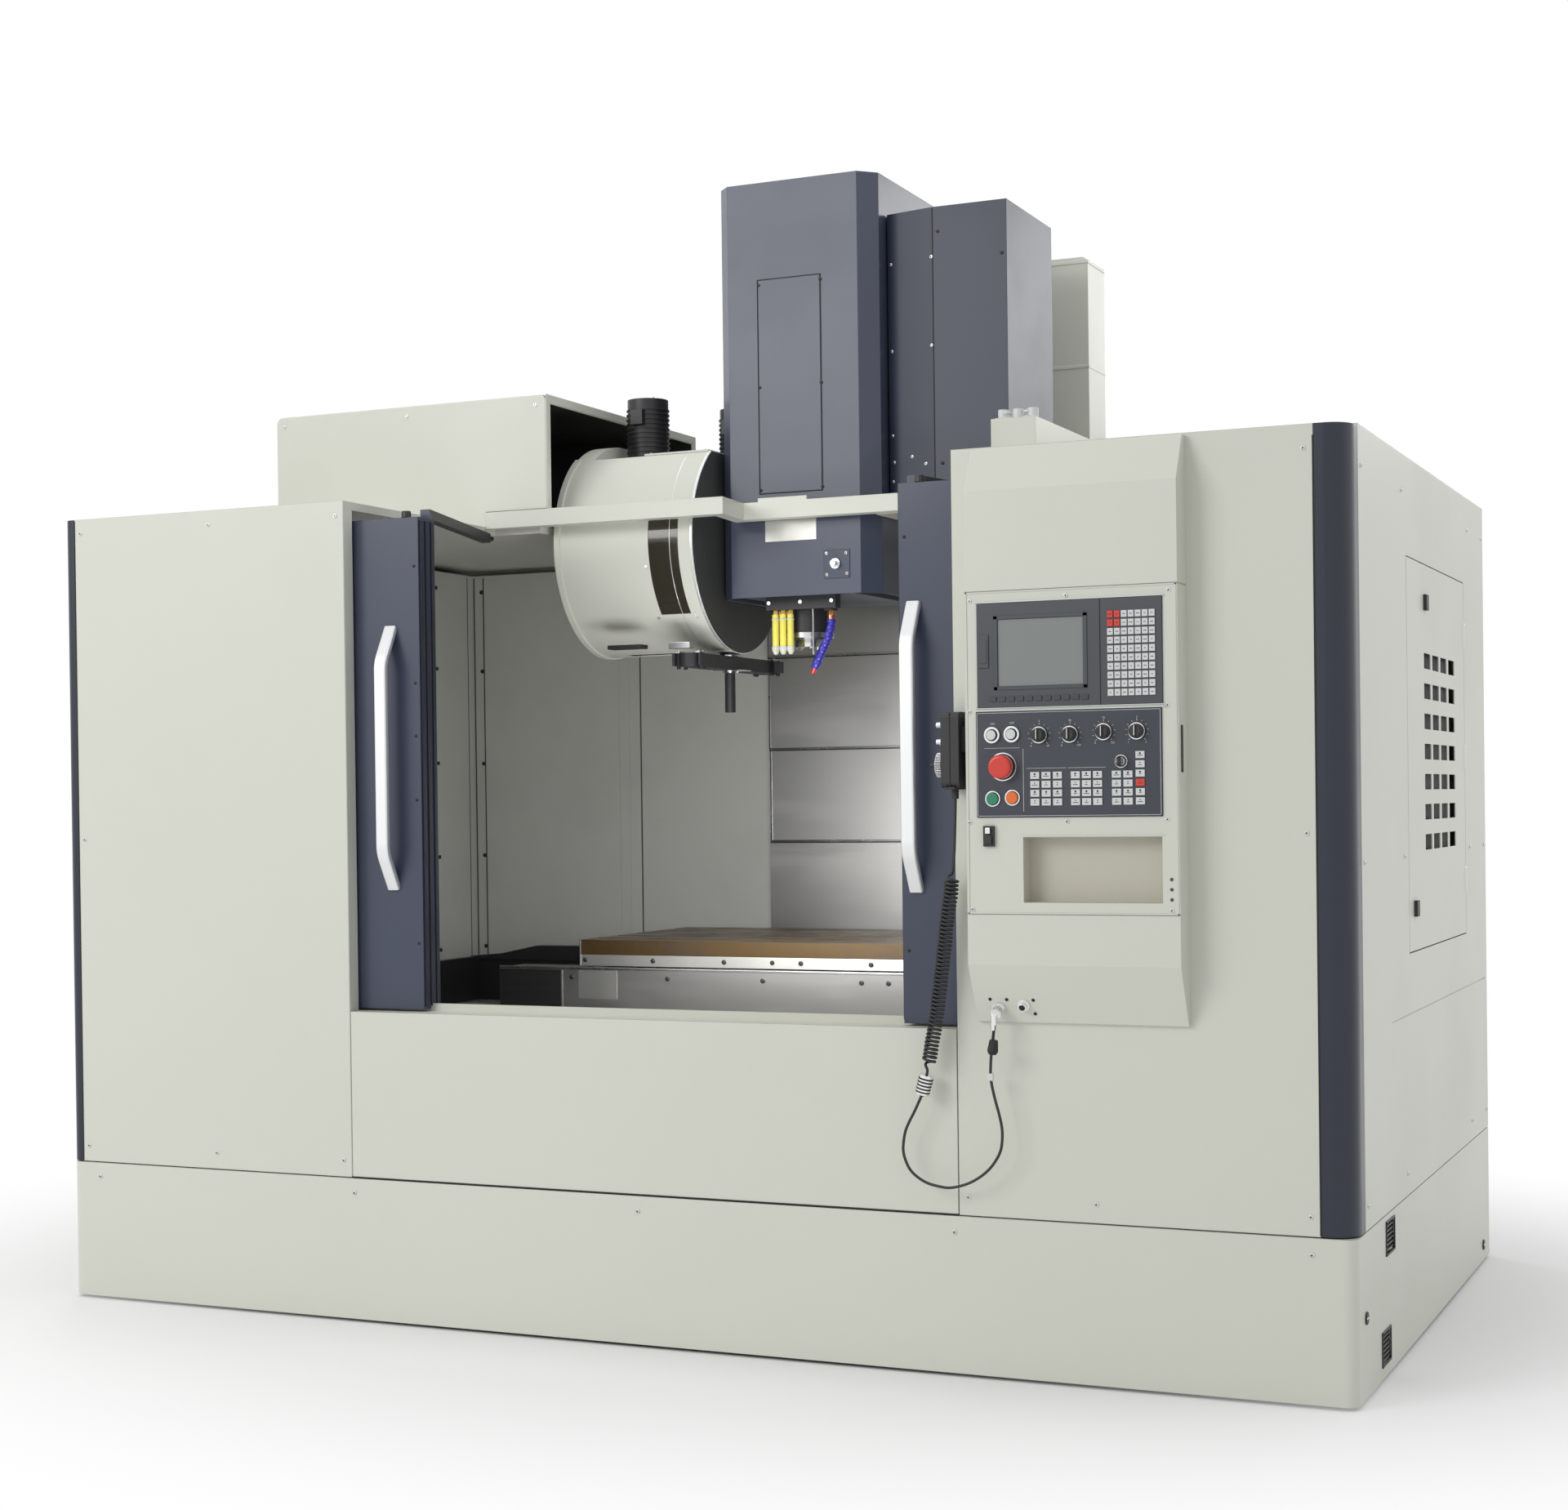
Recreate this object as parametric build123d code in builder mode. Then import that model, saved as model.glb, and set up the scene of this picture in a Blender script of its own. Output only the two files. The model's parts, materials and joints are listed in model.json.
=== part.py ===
from build123d import *
import math
import os

# A vertical machining centre with a side-mounted tool changer, in a sheet-metal enclosure.
# Millimetres. X runs to the operator's right, Y to the rear and Z up from the floor.
# The origin lies on the floor, under the middle of the machine's outline.

os.makedirs("parts", exist_ok=True)

# Driving dimensions of the whole machine
MACHINE_WIDTH = 3600
ENCLOSURE_DEPTH = 1985
OVERALL_REAR = 2480
FRONT = -1185
SHEET = 3
SKIN_FOLD = 22
PANEL_FOLD = 42
SKIRT_TOP = 383
PANEL_BOTTOM = 386
SILL_HEIGHT = 828
LEFT_TOP = 2190
RIGHT_TOP = 2204
SEAM = 3

# Front openings, posts and doors
LEFT_PANEL_EDGE = -860
RIGHT_PANEL_EDGE = 862
LEFT_POST_WIDTH = 39
LEFT_POST_DEPTH = 60
LEFT_POST_RADIUS = 26
RIGHT_POST_WIDTH = 80
RIGHT_POST_DEPTH = 100
RIGHT_POST_RADIUS = 58
DOOR_WIDTH = 900
DOOR_FRONT = 48
DOOR_THICKNESS = 80
DOOR_TOP = 2140
DOOR_GAP = 6
LEFT_DOOR_EDGE = -657
RIGHT_DOOR_EDGE = 708
DOOR_TRAVEL = 682
STAY_WIDTH = 30
STAY_HEIGHT = 26
HANDLE_X = 745
HANDLE_LOW = 1155
HANDLE_HIGH = 1850
HANDLE_STANDOFF = 52
HANDLE_WIDTH = 36
HANDLE_THICKNESS = 18
WINDOW_WIDTH = 420
WINDOW_LOW = 1180
WINDOW_HIGH = 1860

# Linear axes
Y_TRAVEL = 600
Z_TRAVEL = 700
SPINDLE_DEPTH = 1130
TABLE_LENGTH = 1400
TABLE_DEPTH = 700
TABLE_TOP = 978
TABLE_THICKNESS = 76
TABLE_OFFSET = 109
T_SLOT_COUNT = 5
T_SLOT_PITCH = 125
T_SLOT_THROAT = 18
T_SLOT_HEAD = 30
T_SLOT_HEAD_HEIGHT = 14
T_SLOT_DEPTH = 34
SADDLE_LENGTH = 1710
SADDLE_DEPTH = 640
SADDLE_BOTTOM = 590
SADDLE_TOP = 830
RAIL_WIDTH = 45
RAIL_HEIGHT = 55
X_RAIL_HEIGHT = 44
RAIL_FIT = 0.4
Y_RAIL_X = 430
X_RAIL_SPREAD = 160
Z_RAIL_X = 300
SCREW_RADIUS = 20
JOURNAL_FIT = 0.06
NUT_FIT = 0.5

# Castings
FOOT_HEIGHT = 70
BASE_TOP = 520
BASE_HALF_WIDTH = 700
BASE_FRONT = 170
COLUMN_HALF_WIDTH = 420
COLUMN_FRONT = 1870
COLUMN_REAR = 2470
COLUMN_TOP = 3020
COLUMN_FOOT_TOP = 560
CASTING_WALL = 45

# Head
HEAD_COVER_LEFT = -210
HEAD_COVER_RIGHT = 280
HEAD_COVER_FRONT = 965
HEAD_COVER_REAR = 1480
HEAD_COVER_BOTTOM = 1964
HEAD_COVER_TOP = 3160
HEAD_LEFT_CHAMFER = 36
HEAD_RIGHT_CHAMFER = 48
NOSE_RADIUS = 72
NOSE_BOTTOM = 1850
SPINDLE_RADIUS = 44
SPINDLE_BOTTOM = 1825
TAPER_MOUTH_RADIUS = 22.2
TAPER_LENGTH = 66

# Tool magazine and changer
DRUM_RADIUS = 318
DRUM_LEFT = -690
DRUM_RIGHT = -225
DRUM_HEIGHT = 2135
DRUM_SHEET = 4
DRUM_FLAT_TOP = 2395
POT_COUNT = 20
POT_CIRCLE = 190
POT_RADIUS = 24
POT_LENGTH = 80
ARM_X = -262
ARM_REACH = 262
ARM_TOP = 1805
ARM_THICKNESS = 40
ARM_LIFT = 110
HUB_RADIUS = 30

# Control box
BOX_LEFT = 918
BOX_RIGHT = 1428
BOX_PROUD = 75
BOX_BOTTOM = 850
BOX_TOP = 2198
BOX_SLOPE_BOTTOM = 988
BOX_SLOPE_TOP = 2092
UNIT_GAP = 0.6
UNIT_PROUD = 4
UNIT_DEPTH = 34


def back(depth):
    """The y of a plane that lies a depth behind the front panels."""
    return FRONT + depth


def block(x, depth, z, mode=Mode.ADD):
    """A block between two x, two depths and two heights."""
    centre = (sum(x) / 2, back(sum(depth) / 2), sum(z) / 2)
    with Locations(centre):
        Box(x[1] - x[0], depth[1] - depth[0], z[1] - z[0], mode=mode)


def upright_rod(x, depth, radius, z, mode=Mode.ADD):
    """A vertical cylinder between two heights."""
    with Locations((x, back(depth), sum(z) / 2)):
        Cylinder(radius, z[1] - z[0], mode=mode)


def cross_rod(x, depth, z, radius, mode=Mode.ADD):
    """A cylinder along X between two x."""
    with Locations((sum(x) / 2, back(depth), z)):
        Cylinder(radius, x[1] - x[0], rotation=(0, 90, 0), mode=mode)


def level_rod(x, depth, z, radius, mode=Mode.ADD):
    """A cylinder along Y between two depths."""
    with Locations((x, back(sum(depth) / 2), z)):
        Cylinder(radius, depth[1] - depth[0], rotation=(90, 0, 0), mode=mode)


def folded_box(x, depth, z, open_sides, sheet=SHEET):
    """A sheet-metal box that is open on the named sides, such as '+y -z'."""
    block(x, depth, z)
    spans = {"x": list(x), "y": list(depth), "z": list(z)}
    for axis, span in spans.items():
        span[0] += -1 if "-" + axis in open_sides else sheet
        span[1] += 1 if "+" + axis in open_sides else -sheet
    block(spans["x"], spans["y"], spans["z"], mode=Mode.SUBTRACT)


def ring_grid(x_centres, z_centres, size, depth):
    """A grid of raised keys on an upright panel."""
    for x in x_centres:
        for z in z_centres:
            block((x - size[0] / 2, x + size[0] / 2), depth, (z - size[1] / 2, z + size[1] / 2))


def evenly(low, high, count):
    """The centres of a number of equal cells between two limits."""
    pitch = (high - low) / count
    return [low + pitch * (index + 0.5) for index in range(count)]


def save(part, name):
    part.label = name
    export_step(part, "parts/" + name + ".step")


half_width = MACHINE_WIDTH / 2
table_bottom = TABLE_TOP - TABLE_THICKNESS
saddle_front = SPINDLE_DEPTH - SADDLE_DEPTH / 2
saddle_rear = SPINDLE_DEPTH + SADDLE_DEPTH / 2
table_front = SPINDLE_DEPTH - TABLE_DEPTH / 2
table_rear = SPINDLE_DEPTH + TABLE_DEPTH / 2
table_left = TABLE_OFFSET - TABLE_LENGTH / 2
table_right = TABLE_OFFSET + TABLE_LENGTH / 2

# Base casting: a ribbed bed under the saddle with a foot for the column
BED_REAR = COLUMN_FRONT + 10
FOOT_SET_BACK = 4
COLUMN_FOOT_HALF_WIDTH = COLUMN_HALF_WIDTH + 50
RIB_PITCH_X = 340
RIB_PITCH_Y = 415
RIB_THICKNESS = 40
Y_SCREW_HEIGHT = BASE_TOP + 28
BEARING_HALF = 50
BEARING_LENGTH = 40
Y_BEARING_FRONT = BASE_FRONT + 2
Y_BEARING_REAR = COLUMN_FRONT - 60
with BuildPart() as base_casting:
    block((-BASE_HALF_WIDTH, BASE_HALF_WIDTH), (BASE_FRONT, BED_REAR), (FOOT_HEIGHT, BASE_TOP))
    with Locations((0, back((BASE_FRONT + BED_REAR) / 2), (FOOT_HEIGHT + BASE_TOP - CASTING_WALL) / 2)):
        with GridLocations(RIB_PITCH_X, RIB_PITCH_Y, 4, 4):
            Box(
                RIB_PITCH_X - RIB_THICKNESS,
                RIB_PITCH_Y - RIB_THICKNESS,
                BASE_TOP - CASTING_WALL - FOOT_HEIGHT,
                mode=Mode.SUBTRACT,
            )
    block(
        (-COLUMN_FOOT_HALF_WIDTH, COLUMN_FOOT_HALF_WIDTH),
        (COLUMN_FRONT - FOOT_SET_BACK, OVERALL_REAR),
        (FOOT_HEIGHT, COLUMN_FOOT_TOP),
    )
    for cell in (-1, 1):
        block(
            (min(cell * 25, cell * 340), max(cell * 25, cell * 340)),
            (BED_REAR + CASTING_WALL, OVERALL_REAR - CASTING_WALL),
            (FOOT_HEIGHT, COLUMN_FOOT_TOP - CASTING_WALL),
            mode=Mode.SUBTRACT,
        )
    for depth in (Y_BEARING_FRONT, Y_BEARING_REAR):
        block(
            (-BEARING_HALF, BEARING_HALF),
            (depth, depth + BEARING_LENGTH),
            (BASE_TOP, BASE_TOP + RAIL_HEIGHT),
        )
    level_rod(
        0,
        (Y_BEARING_FRONT, Y_BEARING_REAR + BEARING_LENGTH),
        Y_SCREW_HEIGHT,
        SCREW_RADIUS + JOURNAL_FIT,
        mode=Mode.SUBTRACT,
    )
save(base_casting.part, "base_casting")

# Levelling feet: a pad, a screw and a lock nut under each corner and edge of the base
PAD_RADIUS = 60
PAD_THICKNESS = 20
FOOT_SCREW_RADIUS = 18
FOOT_NUT_RADIUS = 32
FOOT_NUT_THICKNESS = 18
BED_FEET_X = BASE_HALF_WIDTH - 40
BED_FEET_DEPTHS = (BASE_FRONT + 60, 800, 1330)
COLUMN_FEET_X = COLUMN_FOOT_HALF_WIDTH - 60
COLUMN_FEET_DEPTHS = (BED_REAR + 90, OVERALL_REAR - 80)
foot_places = [(side * BED_FEET_X, depth) for side in (-1, 1) for depth in BED_FEET_DEPTHS]
foot_places += [(side * COLUMN_FEET_X, depth) for side in (-1, 1) for depth in COLUMN_FEET_DEPTHS]
with BuildPart() as levelling_feet:
    for foot_x, foot_depth in foot_places:
        upright_rod(foot_x, foot_depth, PAD_RADIUS, (0, PAD_THICKNESS))
        upright_rod(foot_x, foot_depth, FOOT_SCREW_RADIUS, (PAD_THICKNESS, FOOT_HEIGHT))
        upright_rod(foot_x, foot_depth, FOOT_NUT_RADIUS, (FOOT_HEIGHT - FOOT_NUT_THICKNESS, FOOT_HEIGHT))
save(levelling_feet.part, "levelling_feet")

# Skirt: the sheet-metal surround of the lower enclosure, with rounded front corners
SKIRT_PROUD = 3
SKIRT_CLEARANCE = 8
SKIRT_CORNER = 30
SKIRT_FLANGE = 40
VENT_SIZE = (102, 72)
SKIRT_VENTS = ((395, 328), (334, 78))
SKIRT_KNOBS = ((95, 192), (1863, 54))
KNOB_HOLE_RADIUS = 14
skirt_depth = ENCLOSURE_DEPTH + SKIRT_PROUD
with BuildPart() as skirt:
    with BuildSketch(Plane.XY.offset(SKIRT_CLEARANCE)):
        with Locations((0, back(ENCLOSURE_DEPTH - skirt_depth / 2))):
            Rectangle(MACHINE_WIDTH, skirt_depth)
        fillet(vertices().group_by(Axis.Y)[0], SKIRT_CORNER)
    extrude(amount=SKIRT_TOP - SKIRT_CLEARANCE)
    with BuildSketch(Plane.XY.offset(SKIRT_CLEARANCE)):
        with Locations((0, back(ENCLOSURE_DEPTH - skirt_depth / 2))):
            Rectangle(MACHINE_WIDTH - 2 * SHEET, skirt_depth - 2 * SHEET)
        fillet(vertices().group_by(Axis.Y)[0], SKIRT_CORNER - SHEET)
    extrude(amount=SKIRT_TOP - SKIRT_CLEARANCE - SHEET, mode=Mode.SUBTRACT)
    block(
        (-half_width + SKIRT_FLANGE, half_width - SKIRT_FLANGE),
        (SKIRT_FLANGE, ENCLOSURE_DEPTH - SKIRT_FLANGE),
        (SKIRT_TOP - SHEET - 1, SKIRT_TOP + 1),
        mode=Mode.SUBTRACT,
    )
    block(
        (-COLUMN_FOOT_HALF_WIDTH - 20, COLUMN_FOOT_HALF_WIDTH + 20),
        (ENCLOSURE_DEPTH - SKIRT_FLANGE - 1, ENCLOSURE_DEPTH + 1),
        (0, SKIRT_TOP + 1),
        mode=Mode.SUBTRACT,
    )
    for vent_depth, vent_height in SKIRT_VENTS:
        block(
            (half_width - 2 * SHEET, half_width + 1),
            (vent_depth - VENT_SIZE[0] / 2, vent_depth + VENT_SIZE[0] / 2),
            (vent_height - VENT_SIZE[1] / 2, vent_height + VENT_SIZE[1] / 2),
            mode=Mode.SUBTRACT,
        )
    for knob_depth, knob_height in SKIRT_KNOBS:
        cross_rod(
            (half_width - 2 * SHEET, half_width + 1),
            knob_depth,
            knob_height,
            KNOB_HOLE_RADIUS,
            mode=Mode.SUBTRACT,
        )
save(skirt.part, "skirt")

# Front panels: two tall folded sheets with returned edges
with BuildPart() as left_front_panel:
    folded_box(
        (-half_width + LEFT_POST_WIDTH, LEFT_PANEL_EDGE), (0, PANEL_FOLD), (PANEL_BOTTOM, LEFT_TOP), "+y"
    )
    fillet(edges().filter_by(Axis.Z).group_by(Axis.Y)[0].sort_by(Axis.X)[-1], SHEET)
save(left_front_panel.part, "left_front_panel")

with BuildPart() as right_front_panel:
    folded_box(
        (RIGHT_PANEL_EDGE, half_width - RIGHT_POST_WIDTH), (0, PANEL_FOLD), (PANEL_BOTTOM, RIGHT_TOP), "+y"
    )
save(right_front_panel.part, "right_front_panel")

# Front apron: the sheet below the doors, with the ledge and rib that guide their lower edge
TRACK_HALF_LENGTH = 1560
LEDGE_THICKNESS = 6
RIB_HEIGHT = 20
LEDGE_DEPTHS = (PANEL_FOLD, 138)
RIB_DEPTHS = (84, 92)
with BuildPart() as front_apron:
    folded_box(
        (LEFT_PANEL_EDGE + SEAM, RIGHT_PANEL_EDGE - SEAM),
        (0, PANEL_FOLD),
        (PANEL_BOTTOM + 2, SILL_HEIGHT),
        "+y",
    )
    block(
        (-TRACK_HALF_LENGTH, TRACK_HALF_LENGTH),
        LEDGE_DEPTHS,
        (SILL_HEIGHT - LEDGE_THICKNESS, SILL_HEIGHT),
    )
    block((-TRACK_HALF_LENGTH, TRACK_HALF_LENGTH), RIB_DEPTHS, (SILL_HEIGHT, SILL_HEIGHT + RIB_HEIGHT))
save(front_apron.part, "front_apron")

# Corner posts: rounded hollow trims at the two front corners
with BuildPart() as corner_posts:
    with BuildSketch(Plane.XY.offset(PANEL_BOTTOM)):
        with Locations((half_width - RIGHT_POST_WIDTH / 2, back(RIGHT_POST_DEPTH / 2))):
            Rectangle(RIGHT_POST_WIDTH, RIGHT_POST_DEPTH)
        fillet(vertices().group_by(Axis.Y)[0].sort_by(Axis.X)[-1], RIGHT_POST_RADIUS)
        offset(amount=-SHEET, mode=Mode.SUBTRACT)
    extrude(amount=RIGHT_TOP - PANEL_BOTTOM)
    with BuildSketch(Plane.XY.offset(PANEL_BOTTOM)):
        with Locations((-half_width + LEFT_POST_WIDTH / 2, back(LEFT_POST_DEPTH / 2))):
            Rectangle(LEFT_POST_WIDTH, LEFT_POST_DEPTH)
        fillet(vertices().group_by(Axis.Y)[0].sort_by(Axis.X)[0], LEFT_POST_RADIUS)
        offset(amount=-SHEET, mode=Mode.SUBTRACT)
    extrude(amount=LEFT_TOP - PANEL_BOTTOM)
    for top, depth, side in (
        (RIGHT_TOP, RIGHT_POST_DEPTH, (half_width - RIGHT_POST_WIDTH + SHEET, half_width - RIGHT_POST_RADIUS)),
        (LEFT_TOP, LEFT_POST_DEPTH, (-half_width + LEFT_POST_RADIUS, -half_width + LEFT_POST_WIDTH - SHEET)),
    ):
        block(side, (SHEET, depth - SHEET), (top - SHEET, top))
save(corner_posts.part, "corner_posts")

# Side panels: the right one has the opening of the electrical cabinet and a service seam
CABINET_FRONT = 700
CABINET_REAR = 1610
CABINET_LOW = 977
CABINET_HIGH = 1966
SERVICE_SEAM_DEPTHS = (454, 1948)
SIDE_TOP_RISE = 8
with BuildPart() as side_panels:
    folded_box(
        (half_width - SKIN_FOLD, half_width),
        (RIGHT_POST_DEPTH, ENCLOSURE_DEPTH),
        (PANEL_BOTTOM, RIGHT_TOP + SIDE_TOP_RISE),
        "-x",
    )
    block(
        (half_width - SHEET - 1, half_width + 1),
        (CABINET_FRONT, CABINET_REAR),
        (CABINET_LOW, CABINET_HIGH),
        mode=Mode.SUBTRACT,
    )
    block(
        (half_width - SHEET / 2, half_width + 1),
        SERVICE_SEAM_DEPTHS,
        (SILL_HEIGHT - SEAM / 2, SILL_HEIGHT + SEAM / 2),
        mode=Mode.SUBTRACT,
    )
    block((-half_width, -half_width + SKIN_FOLD), (LEFT_POST_DEPTH, ENCLOSURE_DEPTH), (PANEL_BOTTOM, LEFT_TOP))
    block(
        (-half_width + SHEET, -half_width + SKIN_FOLD + 1),
        (LEFT_POST_DEPTH + SHEET, ENCLOSURE_DEPTH - SHEET),
        (PANEL_BOTTOM + SHEET, LEFT_TOP - SHEET),
        mode=Mode.SUBTRACT,
    )
save(side_panels.part, "side_panels")

# Rear panels: one each side of the column, the right one with the power cable's inlet
REAR_PANEL_GAP = 1
COLUMN_SLOT_HALF = COLUMN_FOOT_HALF_WIDTH + 10
INLET_RADIUS = 26
INLET_X = 1300
INLET_HEIGHT = 620
rear_panel_outer = half_width - SKIN_FOLD - REAR_PANEL_GAP
with BuildPart() as rear_panels:
    for side in (-1, 1):
        inner = side * COLUMN_SLOT_HALF
        outer = side * rear_panel_outer
        span = (min(inner, outer), max(inner, outer))
        block(span, (ENCLOSURE_DEPTH - SKIN_FOLD, ENCLOSURE_DEPTH), (PANEL_BOTTOM, LEFT_TOP - SKIN_FOLD - 4))
        block(
            (span[0] + SHEET, span[1] - SHEET),
            (ENCLOSURE_DEPTH - SKIN_FOLD - 1, ENCLOSURE_DEPTH - SHEET),
            (PANEL_BOTTOM + SHEET, LEFT_TOP - SKIN_FOLD - 4 - SHEET),
            mode=Mode.SUBTRACT,
        )
    level_rod(
        INLET_X,
        (ENCLOSURE_DEPTH - SKIN_FOLD, ENCLOSURE_DEPTH + 1),
        INLET_HEIGHT,
        INLET_RADIUS,
        mode=Mode.SUBTRACT,
    )
save(rear_panels.part, "rear_panels")

# Roof panels: folded sheets that leave the middle open for the head, the drum and a crane
ROOF_FRONT = PANEL_FOLD + 1
ROOF_REAR = ENCLOSURE_DEPTH - 1
BEAM_FRONT = 730
BEAM_STEP = 905
BEAM_WIDTH = 45
BEAM_GAP = 6
DRUM_OPENING = -705
HEAD_OPENING = 284
SHAFT_FRONT = 1476
roof_outer = half_width - SKIN_FOLD - REAR_PANEL_GAP
ROOF_LEFT_EDGE = (
    (LEFT_PANEL_EDGE - REAR_PANEL_GAP, ROOF_FRONT),
    (LEFT_PANEL_EDGE - REAR_PANEL_GAP, BEAM_FRONT + BEAM_WIDTH + BEAM_GAP),
    (DRUM_OPENING, BEAM_FRONT + BEAM_WIDTH + BEAM_GAP),
    (DRUM_OPENING, SHAFT_FRONT),
    (-COLUMN_SLOT_HALF, SHAFT_FRONT),
    (-COLUMN_SLOT_HALF, ROOF_REAR),
    (-roof_outer, ROOF_REAR),
    (-roof_outer, LEFT_POST_DEPTH + REAR_PANEL_GAP),
    (-half_width + LEFT_POST_WIDTH + REAR_PANEL_GAP, LEFT_POST_DEPTH + REAR_PANEL_GAP),
    (-half_width + LEFT_POST_WIDTH + REAR_PANEL_GAP, ROOF_FRONT),
)
ROOF_RIGHT_EDGE = (
    (RIGHT_PANEL_EDGE + 30, ROOF_FRONT),
    (RIGHT_PANEL_EDGE + 30, BEAM_STEP + BEAM_WIDTH + BEAM_GAP),
    (HEAD_OPENING, BEAM_STEP + BEAM_WIDTH + BEAM_GAP),
    (HEAD_OPENING, SHAFT_FRONT),
    (COLUMN_SLOT_HALF, SHAFT_FRONT),
    (COLUMN_SLOT_HALF, ROOF_REAR),
    (roof_outer, ROOF_REAR),
    (roof_outer, RIGHT_POST_DEPTH + REAR_PANEL_GAP),
    (half_width - RIGHT_POST_WIDTH - REAR_PANEL_GAP, RIGHT_POST_DEPTH + REAR_PANEL_GAP),
    (half_width - RIGHT_POST_WIDTH - REAR_PANEL_GAP, ROOF_FRONT),
)
with BuildPart() as roof_panels:
    for roof_edge, top in ((ROOF_LEFT_EDGE, LEFT_TOP), (ROOF_RIGHT_EDGE, RIGHT_TOP)):
        outline = [(x, back(depth)) for x, depth in roof_edge]
        with BuildSketch(Plane.XY.offset(top - SKIN_FOLD)):
            with BuildLine():
                Polyline(*outline, close=True)
            make_face()
        extrude(amount=SKIN_FOLD)
        with BuildSketch(Plane.XY.offset(top - SKIN_FOLD)):
            with BuildLine():
                Polyline(*outline, close=True)
            make_face()
            offset(amount=-SHEET, kind=Kind.INTERSECTION)
        extrude(amount=SKIN_FOLD - SHEET, mode=Mode.SUBTRACT)
save(roof_panels.part, "roof_panels")

# Magazine hood: a rounded cover on the left roof, open towards the head
BEAM_BOTTOM = 2183
BEAM_TOP = 2232
HOOD_LEFT = -1600
HOOD_RIGHT = -655
HOOD_FRONT = BEAM_FRONT + 5
HOOD_REAR = 1715
HOOD_TOP = 2565
HOOD_LIP = 26
HOOD_CORNER = 22
with BuildPart() as magazine_hood:
    block((HOOD_LEFT, HOOD_RIGHT), (HOOD_FRONT, HOOD_REAR), (LEFT_TOP, HOOD_TOP))
    fillet(edges().filter_by(Axis.Y).group_by(Axis.Z)[-1], HOOD_CORNER)
    fillet(edges().group_by(Axis.Y)[0].group_by(Axis.Z)[-1], HOOD_CORNER / 4)
    block(
        (HOOD_LEFT + SHEET, HOOD_RIGHT - SHEET),
        (HOOD_FRONT + SHEET, HOOD_REAR - SHEET),
        (LEFT_TOP - 1, HOOD_TOP - SHEET),
        mode=Mode.SUBTRACT,
    )
    block(
        (HOOD_RIGHT - SHEET - 1, HOOD_RIGHT + 1),
        (HOOD_FRONT + HOOD_LIP, HOOD_REAR - HOOD_LIP),
        (LEFT_TOP - 1, HOOD_TOP - HOOD_LIP),
        mode=Mode.SUBTRACT,
    )
    block(
        (LEFT_PANEL_EDGE - REAR_PANEL_GAP, HOOD_RIGHT + 1),
        (HOOD_FRONT - 1, BEAM_FRONT + BEAM_WIDTH + 1),
        (LEFT_TOP - 1, BEAM_TOP + 2),
        mode=Mode.SUBTRACT,
    )
save(magazine_hood.part, "magazine_hood")

# Top beam: the folded bar across the opening, stepping back in front of the head
BEAM_WALL = 4
BEAM_RIGHT = RIGHT_PANEL_EDGE + 29
STEP_FRONT_X = -88
STEP_BACK_X = -106
STEP_INSET = 44
BEAM_PLATE_X = (-60, 92)
BEAM_PLATE_RISE = 11
BEAM_PLATE_THICKNESS = 6
beam_front_line = (
    (LEFT_PANEL_EDGE, BEAM_FRONT),
    (STEP_FRONT_X, BEAM_FRONT),
    (STEP_BACK_X, BEAM_STEP),
    (BEAM_RIGHT, BEAM_STEP),
)
beam_back_line = (
    (BEAM_RIGHT, BEAM_STEP + BEAM_WIDTH),
    (STEP_BACK_X - STEP_INSET, BEAM_STEP + BEAM_WIDTH),
    (STEP_FRONT_X - STEP_INSET, BEAM_FRONT + BEAM_WIDTH),
    (LEFT_PANEL_EDGE, BEAM_FRONT + BEAM_WIDTH),
)
beam_outline = [(x, back(depth)) for x, depth in beam_front_line + beam_back_line]
with BuildPart() as top_beam:
    with BuildSketch(Plane.XY.offset(BEAM_BOTTOM)):
        with BuildLine():
            Polyline(*beam_outline, close=True)
        make_face()
    extrude(amount=BEAM_TOP - BEAM_BOTTOM)
    with BuildSketch(Plane.XY.offset(BEAM_BOTTOM + BEAM_WALL)):
        with BuildLine():
            Polyline(*beam_outline, close=True)
        make_face()
        offset(amount=-BEAM_WALL, kind=Kind.INTERSECTION)
    extrude(amount=BEAM_TOP - BEAM_BOTTOM - 2 * BEAM_WALL, mode=Mode.SUBTRACT)
    block(
        BEAM_PLATE_X,
        (BEAM_STEP, BEAM_STEP + BEAM_PLATE_THICKNESS),
        (BEAM_TOP, BEAM_TOP + BEAM_PLATE_RISE),
    )
save(top_beam.part, "top_beam")

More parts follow.
